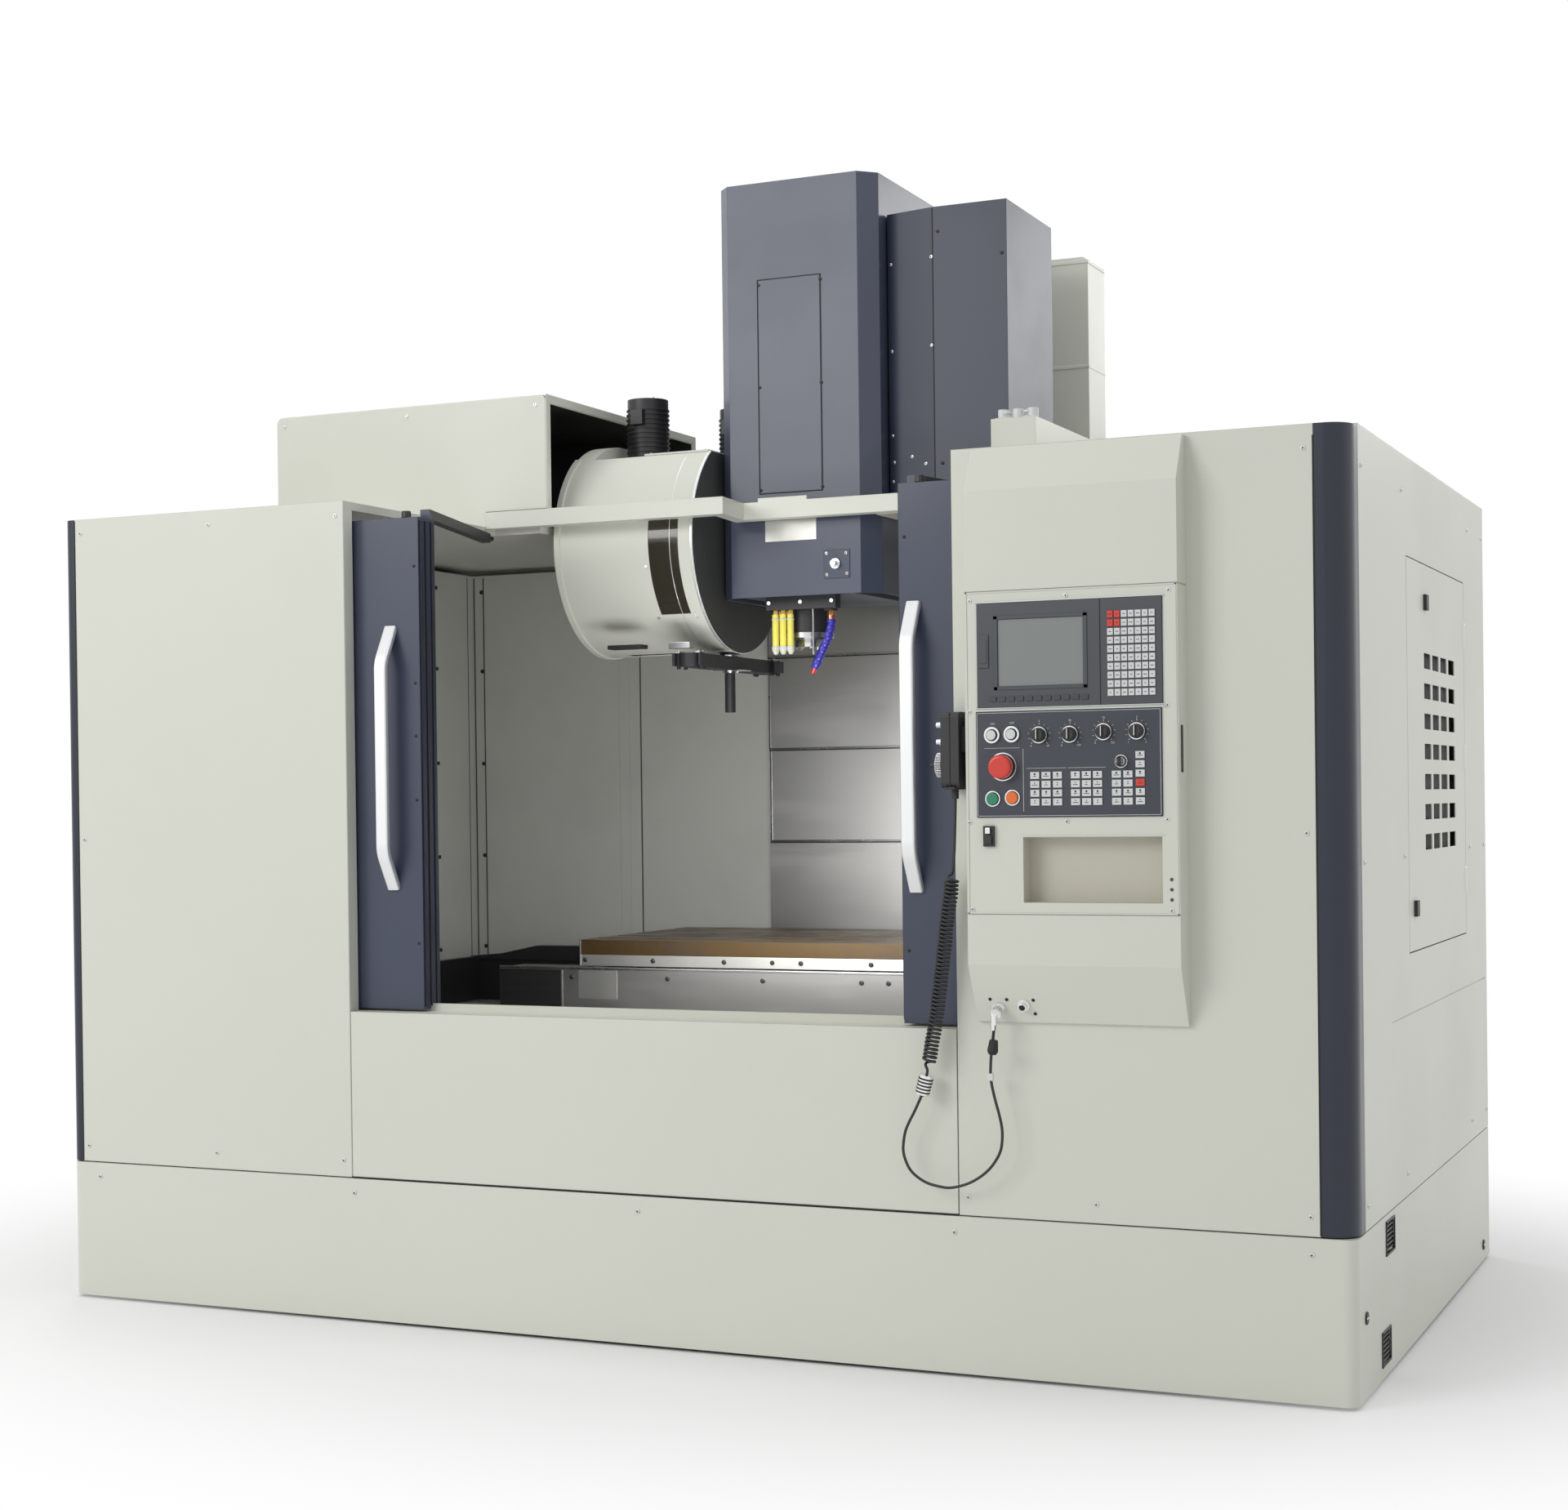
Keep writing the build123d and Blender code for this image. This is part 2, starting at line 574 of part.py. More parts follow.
# Inner walls: the lining of the work area, with the fixed plate of the column's cover
INNER_HALF_WIDTH = 1592
INNER_FRONT = 160
INNER_REAR = 1850
INNER_TOP = LEFT_TOP - SKIN_FOLD - 1
TRAY_FLOOR = 480
Z_COVER_HALF = 440
Z_COVER_LENGTH = 330
Z_COVER_PITCH = 300
Z_COVER_LOW = 940
Z_COVER_STEP = 5
Z_COVER_SHEET = 2
Z_COVER_REAR = COLUMN_FRONT - 62
SEAM_BAND = (-1020, -975)
WALL_LIFT = 5
with BuildPart() as inner_walls:
    for side in (-1, 1):
        outer_x = side * INNER_HALF_WIDTH
        outer_face = side * (INNER_HALF_WIDTH - SHEET)
        inner_x = side * (Z_COVER_HALF + 5)
        block(
            (min(outer_x, outer_face), max(outer_x, outer_face)),
            (INNER_FRONT, INNER_REAR + SHEET),
            (TRAY_FLOOR + SHEET, INNER_TOP),
        )
        block(
            (min(outer_x, inner_x), max(outer_x, inner_x)),
            (INNER_REAR, INNER_REAR + SHEET),
            (BASE_TOP + WALL_LIFT, INNER_TOP),
        )
        bed_side = side * (BASE_HALF_WIDTH + WALL_LIFT)
        block(
            (min(outer_x, bed_side), max(outer_x, bed_side)),
            (INNER_REAR, INNER_REAR + SHEET),
            (TRAY_FLOOR + SHEET, BASE_TOP + WALL_LIFT),
        )
    block(SEAM_BAND, (INNER_REAR - 2, INNER_REAR), (TRAY_FLOOR + SHEET, INNER_TOP))
    block(
        (-Z_COVER_HALF, Z_COVER_HALF),
        (Z_COVER_REAR - Z_COVER_SHEET, Z_COVER_REAR),
        (Z_COVER_LOW, Z_COVER_LOW + Z_COVER_LENGTH),
    )
    for side in (-1, 1):
        block(
            (side * (Z_COVER_HALF + 2.5) - 2.5, side * (Z_COVER_HALF + 2.5) + 2.5),
            (Z_COVER_REAR - Z_COVER_SHEET, INNER_REAR + SHEET),
            (Z_COVER_LOW, Z_COVER_LOW + Z_COVER_LENGTH),
        )
save(inner_walls.part, "inner_walls")

# Telescopic cover of the column below the head: three sheets that follow the head
z_cover_names = ("z_cover_lower", "z_cover_middle", "z_cover_upper")
for step, cover_name in enumerate(z_cover_names, start=1):
    cover_low = Z_COVER_LOW + step * Z_COVER_PITCH
    cover_rear = Z_COVER_REAR - step * Z_COVER_STEP
    with BuildPart() as z_cover:
        block(
            (-Z_COVER_HALF, Z_COVER_HALF),
            (cover_rear - Z_COVER_SHEET, cover_rear),
            (cover_low, cover_low + Z_COVER_LENGTH),
        )
    save(z_cover.part, cover_name)

# Chip tray: the floor and front wall round the bed, with the fixed cover of the front rails
TRAY_FRONT = 145
TRAY_GAP = 3
Y_COVER_HALF = 600
Y_COVER_SHEET = 4
FIXED_COVER_REAR = saddle_front - Y_TRAVEL / 2 - 20
FIXED_COVER_TOP = SADDLE_BOTTOM - 8
Y_MOTOR_HOLE = 24
with BuildPart() as chip_tray:
    for side in (-1, 1):
        outer_x = side * (INNER_HALF_WIDTH - SHEET - 1)
        inner_x = side * (BASE_HALF_WIDTH + TRAY_GAP)
        block(
            (min(outer_x, inner_x), max(outer_x, inner_x)),
            (TRAY_FRONT, INNER_REAR),
            (TRAY_FLOOR, TRAY_FLOOR + SHEET),
        )
        block(
            (min(inner_x, inner_x + side * SHEET), max(inner_x, inner_x + side * SHEET)),
            (TRAY_FRONT, INNER_REAR),
            (TRAY_FLOOR, BASE_TOP + 10),
        )
    block(
        (-INNER_HALF_WIDTH + SHEET + 1, INNER_HALF_WIDTH - SHEET - 1),
        (TRAY_FRONT - SHEET, TRAY_FRONT),
        (TRAY_FLOOR, SILL_HEIGHT - LEDGE_THICKNESS - 1),
    )
    block(
        (-Y_COVER_HALF, Y_COVER_HALF),
        (TRAY_FRONT, FIXED_COVER_REAR),
        (FIXED_COVER_TOP - Y_COVER_SHEET, FIXED_COVER_TOP),
    )
    level_rod(0, (TRAY_FRONT - 2 * SHEET, TRAY_FRONT), Y_SCREW_HEIGHT, Y_MOTOR_HOLE, mode=Mode.SUBTRACT)
save(chip_tray.part, "chip_tray")

# Column: a hollow casting with pockets from the rear and the bearings of the head's screw
POCKET_ROWS = 5
Z_SCREW_DEPTH = COLUMN_FRONT - 30
Z_BEARING_LOW = 900
Z_BEARING_HIGH = COLUMN_TOP - 66
Z_SCREW_RADIUS = 22
pocket_centres = evenly(COLUMN_FOOT_TOP + CASTING_WALL, COLUMN_TOP - CASTING_WALL, POCKET_ROWS)
pocket_height = pocket_centres[1] - pocket_centres[0] - CASTING_WALL
pocket_width = COLUMN_HALF_WIDTH - 1.5 * CASTING_WALL
pocket_depth = COLUMN_REAR - COLUMN_FRONT - CASTING_WALL
with BuildPart() as column:
    block(
        (-COLUMN_HALF_WIDTH, COLUMN_HALF_WIDTH), (COLUMN_FRONT, COLUMN_REAR), (COLUMN_FOOT_TOP, COLUMN_TOP)
    )
    for centre in pocket_centres:
        for side in (-1, 1):
            with Locations(
                (side * (pocket_width + CASTING_WALL) / 2, back(COLUMN_REAR - pocket_depth / 2), centre)
            ):
                Box(pocket_width, pocket_depth, pocket_height, mode=Mode.SUBTRACT)
    for low in (Z_BEARING_LOW, Z_BEARING_HIGH):
        block(
            (-BEARING_HALF, BEARING_HALF),
            (COLUMN_FRONT - 56, COLUMN_FRONT),
            (low, low + BEARING_LENGTH),
        )
    upright_rod(
        0,
        Z_SCREW_DEPTH,
        Z_SCREW_RADIUS + JOURNAL_FIT,
        (Z_BEARING_LOW, Z_BEARING_HIGH + BEARING_LENGTH),
        mode=Mode.SUBTRACT,
    )
save(column.part, "column")

# Fixed rails: two along Y on the bed and two upright on the column
Y_RAIL_DEPTHS = (BASE_FRONT + 20, COLUMN_FRONT - 20)
Z_RAIL_HEIGHTS = (Z_BEARING_LOW, COLUMN_TOP - 30)
with BuildPart() as fixed_rails:
    for side in (-1, 1):
        rail_x = side * Y_RAIL_X
        block(
            (rail_x - RAIL_WIDTH / 2, rail_x + RAIL_WIDTH / 2),
            Y_RAIL_DEPTHS,
            (BASE_TOP, BASE_TOP + RAIL_HEIGHT),
        )
        rail_x = side * Z_RAIL_X
        block(
            (rail_x - RAIL_WIDTH / 2, rail_x + RAIL_WIDTH / 2),
            (COLUMN_FRONT - RAIL_HEIGHT, COLUMN_FRONT),
            Z_RAIL_HEIGHTS,
        )
save(fixed_rails.part, "fixed_rails")

# Servo motors: of the Y and Z axes, and the two that turn the magazine and the changer
MOTOR_HALF = 62
Y_MOTOR_DEPTHS = (50, TRAY_FRONT - SHEET - 2)
Z_MOTOR_HEIGHTS = (COLUMN_TOP + 1, COLUMN_TOP + 125)
DRUM_MOTORS = ((-526, SPINDLE_DEPTH, 62, 2590), (-292, SPINDLE_DEPTH + 130, 50, 2562))
MOTOR_FLANGE = 14
with BuildPart() as servo_motors:
    block(
        (-MOTOR_HALF, MOTOR_HALF),
        Y_MOTOR_DEPTHS,
        (Y_SCREW_HEIGHT - MOTOR_HALF, Y_SCREW_HEIGHT + MOTOR_HALF),
    )
    block(
        (-MOTOR_HALF, MOTOR_HALF), (Z_SCREW_DEPTH - MOTOR_HALF, Z_SCREW_DEPTH + MOTOR_HALF), Z_MOTOR_HEIGHTS
    )
    for motor_x, motor_depth, motor_radius, motor_top in DRUM_MOTORS:
        upright_rod(motor_x, motor_depth, motor_radius, (DRUM_FLAT_TOP, motor_top))
        with Locations((motor_x, back(motor_depth), DRUM_FLAT_TOP + MOTOR_FLANGE / 2)):
            Cone(motor_radius * 1.3, motor_radius, MOTOR_FLANGE)
save(servo_motors.part, "servo_motors")

# Side cover: the tall folded cover on the roof at the right of the head
SIDE_COVER_LEFT = HEAD_COVER_RIGHT + 5
SIDE_COVER_BEND = 434
SIDE_COVER_RIGHT = 655
SIDE_COVER_FRONT = 1035
SIDE_COVER_INNER_FRONT = 1065
SIDE_COVER_REAR = 1440
SIDE_COVER_TOP = 3050
side_cover_plan = (
    (SIDE_COVER_LEFT, back(SIDE_COVER_INNER_FRONT)),
    (SIDE_COVER_BEND, back(SIDE_COVER_FRONT)),
    (SIDE_COVER_RIGHT, back(SIDE_COVER_FRONT)),
    (SIDE_COVER_RIGHT, back(SIDE_COVER_REAR)),
    (SIDE_COVER_LEFT, back(SIDE_COVER_REAR)),
)
with BuildPart() as side_cover:
    with BuildSketch(Plane.XY.offset(RIGHT_TOP)):
        with BuildLine():
            Polyline(*side_cover_plan, close=True)
        make_face()
    extrude(amount=SIDE_COVER_TOP - RIGHT_TOP)
    with BuildSketch(Plane.XY.offset(RIGHT_TOP)):
        with BuildLine():
            Polyline(*side_cover_plan, close=True)
        make_face()
        offset(amount=-SHEET, kind=Kind.INTERSECTION)
    extrude(amount=SIDE_COVER_TOP - RIGHT_TOP - SHEET, mode=Mode.SUBTRACT)
save(side_cover.part, "side_cover")

# Roof boxes: the low cable box with its glands and the tall duct behind the side cover
CABLE_BOX_X = (885, 1000)
CABLE_BOX_DEPTHS = (225, 750)
CABLE_BOX_TOP = 2306
DUCT_X = (470, 668)
DUCT_DEPTHS = (1760, 1930)
DUCT_TOP = 3030
GLAND_RADIUS = 13
GLAND_HEIGHT = 26
GLAND_COUNT = 3
with BuildPart() as roof_boxes:
    block(CABLE_BOX_X, CABLE_BOX_DEPTHS, (RIGHT_TOP, CABLE_BOX_TOP))
    block(
        (CABLE_BOX_X[0] + SHEET, CABLE_BOX_X[1] - SHEET),
        (CABLE_BOX_DEPTHS[0] + SHEET, CABLE_BOX_DEPTHS[1] - SHEET),
        (RIGHT_TOP - 1, CABLE_BOX_TOP - SHEET),
        mode=Mode.SUBTRACT,
    )
    for gland_x in evenly(CABLE_BOX_X[0], CABLE_BOX_X[1], GLAND_COUNT):
        upright_rod(
            gland_x, CABLE_BOX_DEPTHS[0] + 40, GLAND_RADIUS, (CABLE_BOX_TOP, CABLE_BOX_TOP + GLAND_HEIGHT)
        )
    block(DUCT_X, DUCT_DEPTHS, (RIGHT_TOP, DUCT_TOP))
    fillet(edges().filter_by(Axis.Y).group_by(Axis.Z)[-1].sort_by(Axis.X)[-1], HOOD_CORNER)
    block(
        (DUCT_X[0] + SHEET, DUCT_X[1] - SHEET),
        (DUCT_DEPTHS[0] + SHEET, DUCT_DEPTHS[1] - SHEET),
        (RIGHT_TOP - 1, DUCT_TOP - HOOD_CORNER),
        mode=Mode.SUBTRACT,
    )
save(roof_boxes.part, "roof_boxes")

# Magazine cover: the drum housing on a bracket from the column, with its window and pot slot
DRUM_CHAMFER = 18
NOTCH_X = (-612, DRUM_RIGHT + 1)
NOTCH_HALF_DEPTH = 170
WINDOW_X = (-368, -272)
WINDOW_HEIGHTS = (1922, 2192)
WINDOW_REACH = 120
POT_AXIS_X = ARM_X - ARM_REACH
POT_SLOT_X = (POT_AXIS_X - 60, POT_AXIS_X + 180)
POT_SLOT_HALF = 48
GEARBOX_X = (DRUM_RIGHT - 80, DRUM_RIGHT - DRUM_SHEET)
GEARBOX_HALF = 60
GEARBOX_TOP = 2000
BRACKET_X = (-COLUMN_HALF_WIDTH - 80, -COLUMN_HALF_WIDTH)
BRACKET_DEPTHS = (SPINDLE_DEPTH + DRUM_RADIUS - 14, COLUMN_FRONT + 400)
BRACKET_HEIGHTS = (2200, 2330)
DISC_SHAFT_RADIUS = 40
DISC_BOSS_RADIUS = 70
DISC_X = (-545, -515)
drum_bottom = DRUM_HEIGHT - DRUM_RADIUS
with BuildPart() as magazine_cover:
    cross_rod((DRUM_LEFT, DRUM_RIGHT), SPINDLE_DEPTH, DRUM_HEIGHT, DRUM_RADIUS)
    chamfer(edges().filter_by(GeomType.CIRCLE).sort_by(Axis.X)[0], DRUM_CHAMFER)
    block(
        NOTCH_X,
        (SPINDLE_DEPTH - NOTCH_HALF_DEPTH - 40, SPINDLE_DEPTH + NOTCH_HALF_DEPTH + 40),
        (DRUM_FLAT_TOP, DRUM_HEIGHT + DRUM_RADIUS + 1),
        mode=Mode.SUBTRACT,
    )
    cross_rod(
        (DRUM_LEFT + DRUM_SHEET, DRUM_RIGHT - DRUM_SHEET),
        SPINDLE_DEPTH,
        DRUM_HEIGHT,
        DRUM_RADIUS - DRUM_SHEET,
        mode=Mode.SUBTRACT,
    )
    block(
        (NOTCH_X[0] - DRUM_SHEET, DRUM_RIGHT),
        (SPINDLE_DEPTH - NOTCH_HALF_DEPTH - 14, SPINDLE_DEPTH + NOTCH_HALF_DEPTH + 14),
        (DRUM_FLAT_TOP - DRUM_SHEET, DRUM_FLAT_TOP),
    )
    with BuildSketch(Plane.YZ.offset(NOTCH_X[0] - DRUM_SHEET)):
        with Locations((back(SPINDLE_DEPTH), DRUM_HEIGHT)):
            Circle(DRUM_RADIUS - 1)
            Rectangle(2 * DRUM_RADIUS + 2, 2 * (DRUM_FLAT_TOP - DRUM_SHEET - DRUM_HEIGHT), mode=Mode.SUBTRACT)
        with Locations((back(SPINDLE_DEPTH), DRUM_HEIGHT - DRUM_RADIUS)):
            Rectangle(2 * DRUM_RADIUS, 2 * DRUM_RADIUS, mode=Mode.SUBTRACT)
    extrude(amount=DRUM_SHEET)
    block(
        WINDOW_X,
        (SPINDLE_DEPTH - DRUM_RADIUS - 1, SPINDLE_DEPTH - DRUM_RADIUS + WINDOW_REACH),
        WINDOW_HEIGHTS,
        mode=Mode.SUBTRACT,
    )
    block(
        POT_SLOT_X,
        (SPINDLE_DEPTH - POT_SLOT_HALF, SPINDLE_DEPTH + POT_SLOT_HALF),
        (drum_bottom - 1, drum_bottom + 40),
        mode=Mode.SUBTRACT,
    )
    block(
        GEARBOX_X, (SPINDLE_DEPTH - GEARBOX_HALF, SPINDLE_DEPTH + GEARBOX_HALF), (drum_bottom + 2, GEARBOX_TOP)
    )
    upright_rod(
        ARM_X, SPINDLE_DEPTH, HUB_RADIUS + JOURNAL_FIT, (drum_bottom - 1, GEARBOX_TOP - 20), mode=Mode.SUBTRACT
    )
    cross_rod((DRUM_LEFT + DRUM_SHEET, DISC_X[0] - 50), SPINDLE_DEPTH, DRUM_HEIGHT, DISC_BOSS_RADIUS)
    cross_rod(
        (DRUM_LEFT + 2 * DRUM_SHEET, DISC_X[0] - 49),
        SPINDLE_DEPTH,
        DRUM_HEIGHT,
        DISC_SHAFT_RADIUS + JOURNAL_FIT,
        mode=Mode.SUBTRACT,
    )
    block(BRACKET_X, BRACKET_DEPTHS, BRACKET_HEIGHTS)
save(magazine_cover.part, "magazine_cover")

# Magazine window: a curved clear strip in the drum's front
WINDOW_FIT = 0.5
with BuildPart() as magazine_window:
    window_x = (WINDOW_X[0] + WINDOW_FIT, WINDOW_X[1] - WINDOW_FIT)
    cross_rod(window_x, SPINDLE_DEPTH, DRUM_HEIGHT, DRUM_RADIUS - 0.5)
    cross_rod(window_x, SPINDLE_DEPTH, DRUM_HEIGHT, DRUM_RADIUS - DRUM_SHEET + 0.5, mode=Mode.SUBTRACT)
    block(
        window_x,
        (SPINDLE_DEPTH - DRUM_RADIUS - 1, SPINDLE_DEPTH - DRUM_RADIUS + WINDOW_REACH),
        (WINDOW_HEIGHTS[0] + WINDOW_FIT, WINDOW_HEIGHTS[1] - WINDOW_FIT),
        mode=Mode.INTERSECT,
    )
save(magazine_window.part, "magazine_window")

# Magazine disc: a plate on a stub shaft with a ring of tool pots and the lugs of the tilting pot
POT_WALL = 5
POT_LIP = 8
POT_DROP = 30
PIN_RADIUS = 4
LUG_RADIUS = 10
LUG_DEPTHS = (15, 23)
pot_pivot_x = POT_AXIS_X + POT_DROP
pot_axis_height = DRUM_HEIGHT - POT_CIRCLE
pot_pivot_height = pot_axis_height + POT_DROP
NOTCH_HALF = 31
NOTCH_TOP = pot_pivot_height + 17
with BuildPart() as magazine_disc:
    cross_rod(DISC_X, SPINDLE_DEPTH, DRUM_HEIGHT, POT_CIRCLE + POT_RADIUS / 2)
    cross_rod((DRUM_LEFT + 2 * DRUM_SHEET + 2, DISC_X[0]), SPINDLE_DEPTH, DRUM_HEIGHT, DISC_SHAFT_RADIUS)
    for index in range(1, POT_COUNT):
        angle = math.radians(-90 + index * 360 / POT_COUNT)
        pot_depth = SPINDLE_DEPTH + POT_CIRCLE * math.cos(angle)
        pot_height = DRUM_HEIGHT + POT_CIRCLE * math.sin(angle)
        cross_rod((DISC_X[1], DISC_X[1] + POT_LENGTH), pot_depth, pot_height, POT_RADIUS)
        cross_rod(
            (DISC_X[1] + POT_WALL, DISC_X[1] + POT_LENGTH + 1),
            pot_depth,
            pot_height,
            POT_RADIUS - POT_WALL,
            mode=Mode.SUBTRACT,
        )
    block(
        (DISC_X[0] - 1, DISC_X[1] + 1),
        (SPINDLE_DEPTH - NOTCH_HALF, SPINDLE_DEPTH + NOTCH_HALF),
        (DRUM_HEIGHT - DRUM_RADIUS, NOTCH_TOP),
        mode=Mode.SUBTRACT,
    )
    for side in (-1, 1):
        near = SPINDLE_DEPTH + side * LUG_DEPTHS[0]
        far = SPINDLE_DEPTH + side * LUG_DEPTHS[1]
        lug = (min(near, far), max(near, far))
        block((pot_pivot_x - LUG_RADIUS, pot_pivot_x + LUG_RADIUS), lug, (pot_pivot_height, NOTCH_TOP + 24))
        block((DISC_X[1], pot_pivot_x + LUG_RADIUS), lug, (NOTCH_TOP, NOTCH_TOP + 24))
        level_rod(pot_pivot_x, lug, pot_pivot_height, LUG_RADIUS)
    level_rod(
        pot_pivot_x,
        (SPINDLE_DEPTH - LUG_DEPTHS[1] - 1, SPINDLE_DEPTH + LUG_DEPTHS[1] + 1),
        pot_pivot_height,
        PIN_RADIUS + JOURNAL_FIT,
        mode=Mode.SUBTRACT,
    )
save(magazine_disc.part, "magazine_disc")

# Tilting pot: the pot at the changing place, which turns its mouth down to the arm
EAR_HALF = 14
EAR_TOP = 7
with BuildPart() as tool_pot:
    cross_rod(
        (pot_pivot_x - POT_LIP, pot_pivot_x + POT_LENGTH - POT_LIP),
        SPINDLE_DEPTH,
        pot_axis_height,
        POT_RADIUS,
    )
    cross_rod(
        (pot_pivot_x + POT_LIP, pot_pivot_x + POT_LENGTH),
        SPINDLE_DEPTH,
        pot_axis_height,
        POT_RADIUS - POT_WALL,
        mode=Mode.SUBTRACT,
    )
    block(
        (pot_pivot_x - POT_LIP, pot_pivot_x + EAR_HALF),
        (SPINDLE_DEPTH - EAR_HALF, SPINDLE_DEPTH + EAR_HALF),
        (pot_axis_height + POT_RADIUS - EAR_TOP, pot_pivot_height + EAR_TOP),
    )
    level_rod(
        pot_pivot_x,
        (SPINDLE_DEPTH - LUG_DEPTHS[1], SPINDLE_DEPTH + LUG_DEPTHS[1]),
        pot_pivot_height,
        PIN_RADIUS,
    )
save(tool_pot.part, "tool_pot")

# Changer hub: the shaft that turns the arm, and the double arm that slides down on it
HUB_TOP = GEARBOX_TOP - 21
SPLINE_RADIUS = 16
HUB_BOTTOM = 1812
ARM_FIT = 0.35
ARM_WIDTH = 64
GRIP_RADIUS = 34
GRIP_OPENING = 25
with BuildPart() as changer_hub:
    upright_rod(ARM_X, SPINDLE_DEPTH, HUB_RADIUS, (HUB_BOTTOM, HUB_TOP))
    upright_rod(
        ARM_X, SPINDLE_DEPTH, SPLINE_RADIUS, (ARM_TOP - ARM_THICKNESS - ARM_LIFT - 14, HUB_BOTTOM)
    )
save(changer_hub.part, "changer_hub")

with BuildPart() as changer_arm:
    block(
        (ARM_X - ARM_WIDTH / 2, ARM_X + ARM_WIDTH / 2),
        (SPINDLE_DEPTH - ARM_REACH + GRIP_RADIUS / 2, SPINDLE_DEPTH + ARM_REACH - GRIP_RADIUS / 2),
        (ARM_TOP - ARM_THICKNESS, ARM_TOP),
    )
    for side in (-1, 1):
        grip_depth = SPINDLE_DEPTH + side * ARM_REACH
        upright_rod(ARM_X, grip_depth, GRIP_RADIUS, (ARM_TOP - ARM_THICKNESS, ARM_TOP))
        upright_rod(
            ARM_X, grip_depth, GRIP_OPENING, (ARM_TOP - ARM_THICKNESS - 1, ARM_TOP + 1), mode=Mode.SUBTRACT
        )
        block(
            (ARM_X, ARM_X + GRIP_RADIUS) if side > 0 else (ARM_X - GRIP_RADIUS, ARM_X),
            (grip_depth - 19, grip_depth + 19),
            (ARM_TOP - ARM_THICKNESS - 1, ARM_TOP + 1),
            mode=Mode.SUBTRACT,
        )
    upright_rod(
        ARM_X,
        SPINDLE_DEPTH,
        SPLINE_RADIUS + ARM_FIT,
        (ARM_TOP - ARM_THICKNESS - 1, ARM_TOP + 1),
        mode=Mode.SUBTRACT,
    )
save(changer_arm.part, "changer_arm")

# Saddle: carries the table's rails and runs on the bed's rails
CARRIAGE_HALF = 55
CARRIAGE_LENGTH = 150
CARRIAGE_DROP = 45
NUT_HALF = 52
NUT_LENGTH = 90
saddle_half = SADDLE_LENGTH / 2
carriage_depths = (saddle_front + 40, saddle_rear - 40 - CARRIAGE_LENGTH)
SADDLE_RIB = 285
with BuildPart() as saddle:
    block((-saddle_half, saddle_half), (saddle_front, saddle_rear), (SADDLE_BOTTOM, SADDLE_TOP))
    for side in (-1, 1):
        block(
            (min(side * 560, side * (saddle_half - 30)), max(side * 560, side * (saddle_half - 30))),
            (saddle_front + 30, saddle_rear - 30),
            (SADDLE_BOTTOM - 1, SADDLE_TOP - CASTING_WALL),
            mode=Mode.SUBTRACT,
        )
        for start in carriage_depths:
            block(
                (side * Y_RAIL_X - CARRIAGE_HALF, side * Y_RAIL_X + CARRIAGE_HALF),
                (start, start + CARRIAGE_LENGTH),
                (SADDLE_BOTTOM - CARRIAGE_DROP, SADDLE_BOTTOM),
            )
        block(
            (
                side * Y_RAIL_X - RAIL_WIDTH / 2 - RAIL_FIT,
                side * Y_RAIL_X + RAIL_WIDTH / 2 + RAIL_FIT,
            ),
            (saddle_front, saddle_rear),
            (SADDLE_BOTTOM - CARRIAGE_DROP - 1, BASE_TOP + RAIL_HEIGHT + RAIL_FIT),
            mode=Mode.SUBTRACT,
        )
    block(
        (-NUT_HALF, NUT_HALF),
        (SPINDLE_DEPTH - NUT_LENGTH / 2, SPINDLE_DEPTH + NUT_LENGTH / 2),
        (BASE_TOP + 2, SADDLE_BOTTOM),
    )
    level_rod(
        0,
        (SPINDLE_DEPTH - NUT_LENGTH, SPINDLE_DEPTH + NUT_LENGTH),
        Y_SCREW_HEIGHT,
        SCREW_RADIUS + NUT_FIT,
        mode=Mode.SUBTRACT,
    )
save(saddle.part, "saddle")

# Rails, bearings and motor of the table's axis, all on the saddle
X_SCREW_HEIGHT = SADDLE_TOP + 22
X_SCREW_RADIUS = 16
X_MOTOR_HALF = 42
X_MOTOR_LENGTH = 150
X_BEARING_HALF = 34
x_bearings = (-saddle_half + 10, saddle_half - 10 - BEARING_LENGTH)
with BuildPart() as x_drive:
    for side in (-1, 1):
        rail_depth = SPINDLE_DEPTH + side * X_RAIL_SPREAD
        block(
            (-saddle_half + 10, saddle_half - 10),
            (rail_depth - RAIL_WIDTH / 2, rail_depth + RAIL_WIDTH / 2),
            (SADDLE_TOP, SADDLE_TOP + X_RAIL_HEIGHT),
        )
    for start in x_bearings:
        block(
            (start, start + BEARING_LENGTH),
            (SPINDLE_DEPTH - X_BEARING_HALF, SPINDLE_DEPTH + X_BEARING_HALF),
            (SADDLE_TOP, SADDLE_TOP + X_RAIL_HEIGHT),
        )
    cross_rod(
        (-saddle_half, saddle_half),
        SPINDLE_DEPTH,
        X_SCREW_HEIGHT,
        X_SCREW_RADIUS + JOURNAL_FIT,
        mode=Mode.SUBTRACT,
    )
    block(
        (saddle_half + 4, saddle_half + 4 + X_MOTOR_LENGTH),
        (SPINDLE_DEPTH - X_MOTOR_HALF, SPINDLE_DEPTH + X_MOTOR_HALF),
        (X_SCREW_HEIGHT - X_MOTOR_HALF, X_SCREW_HEIGHT + X_MOTOR_HALF),
    )
    block(
        (saddle_half, saddle_half + 4 + X_MOTOR_LENGTH),
        (SPINDLE_DEPTH - X_MOTOR_HALF, SPINDLE_DEPTH + X_MOTOR_HALF),
        (X_SCREW_HEIGHT - X_MOTOR_HALF - 12, X_SCREW_HEIGHT - X_MOTOR_HALF),
    )
save(x_drive.part, "x_drive")

# Ball screws
with BuildPart() as x_screw:
    cross_rod((-saddle_half + 10, saddle_half), SPINDLE_DEPTH, X_SCREW_HEIGHT, X_SCREW_RADIUS)
save(x_screw.part, "x_screw")

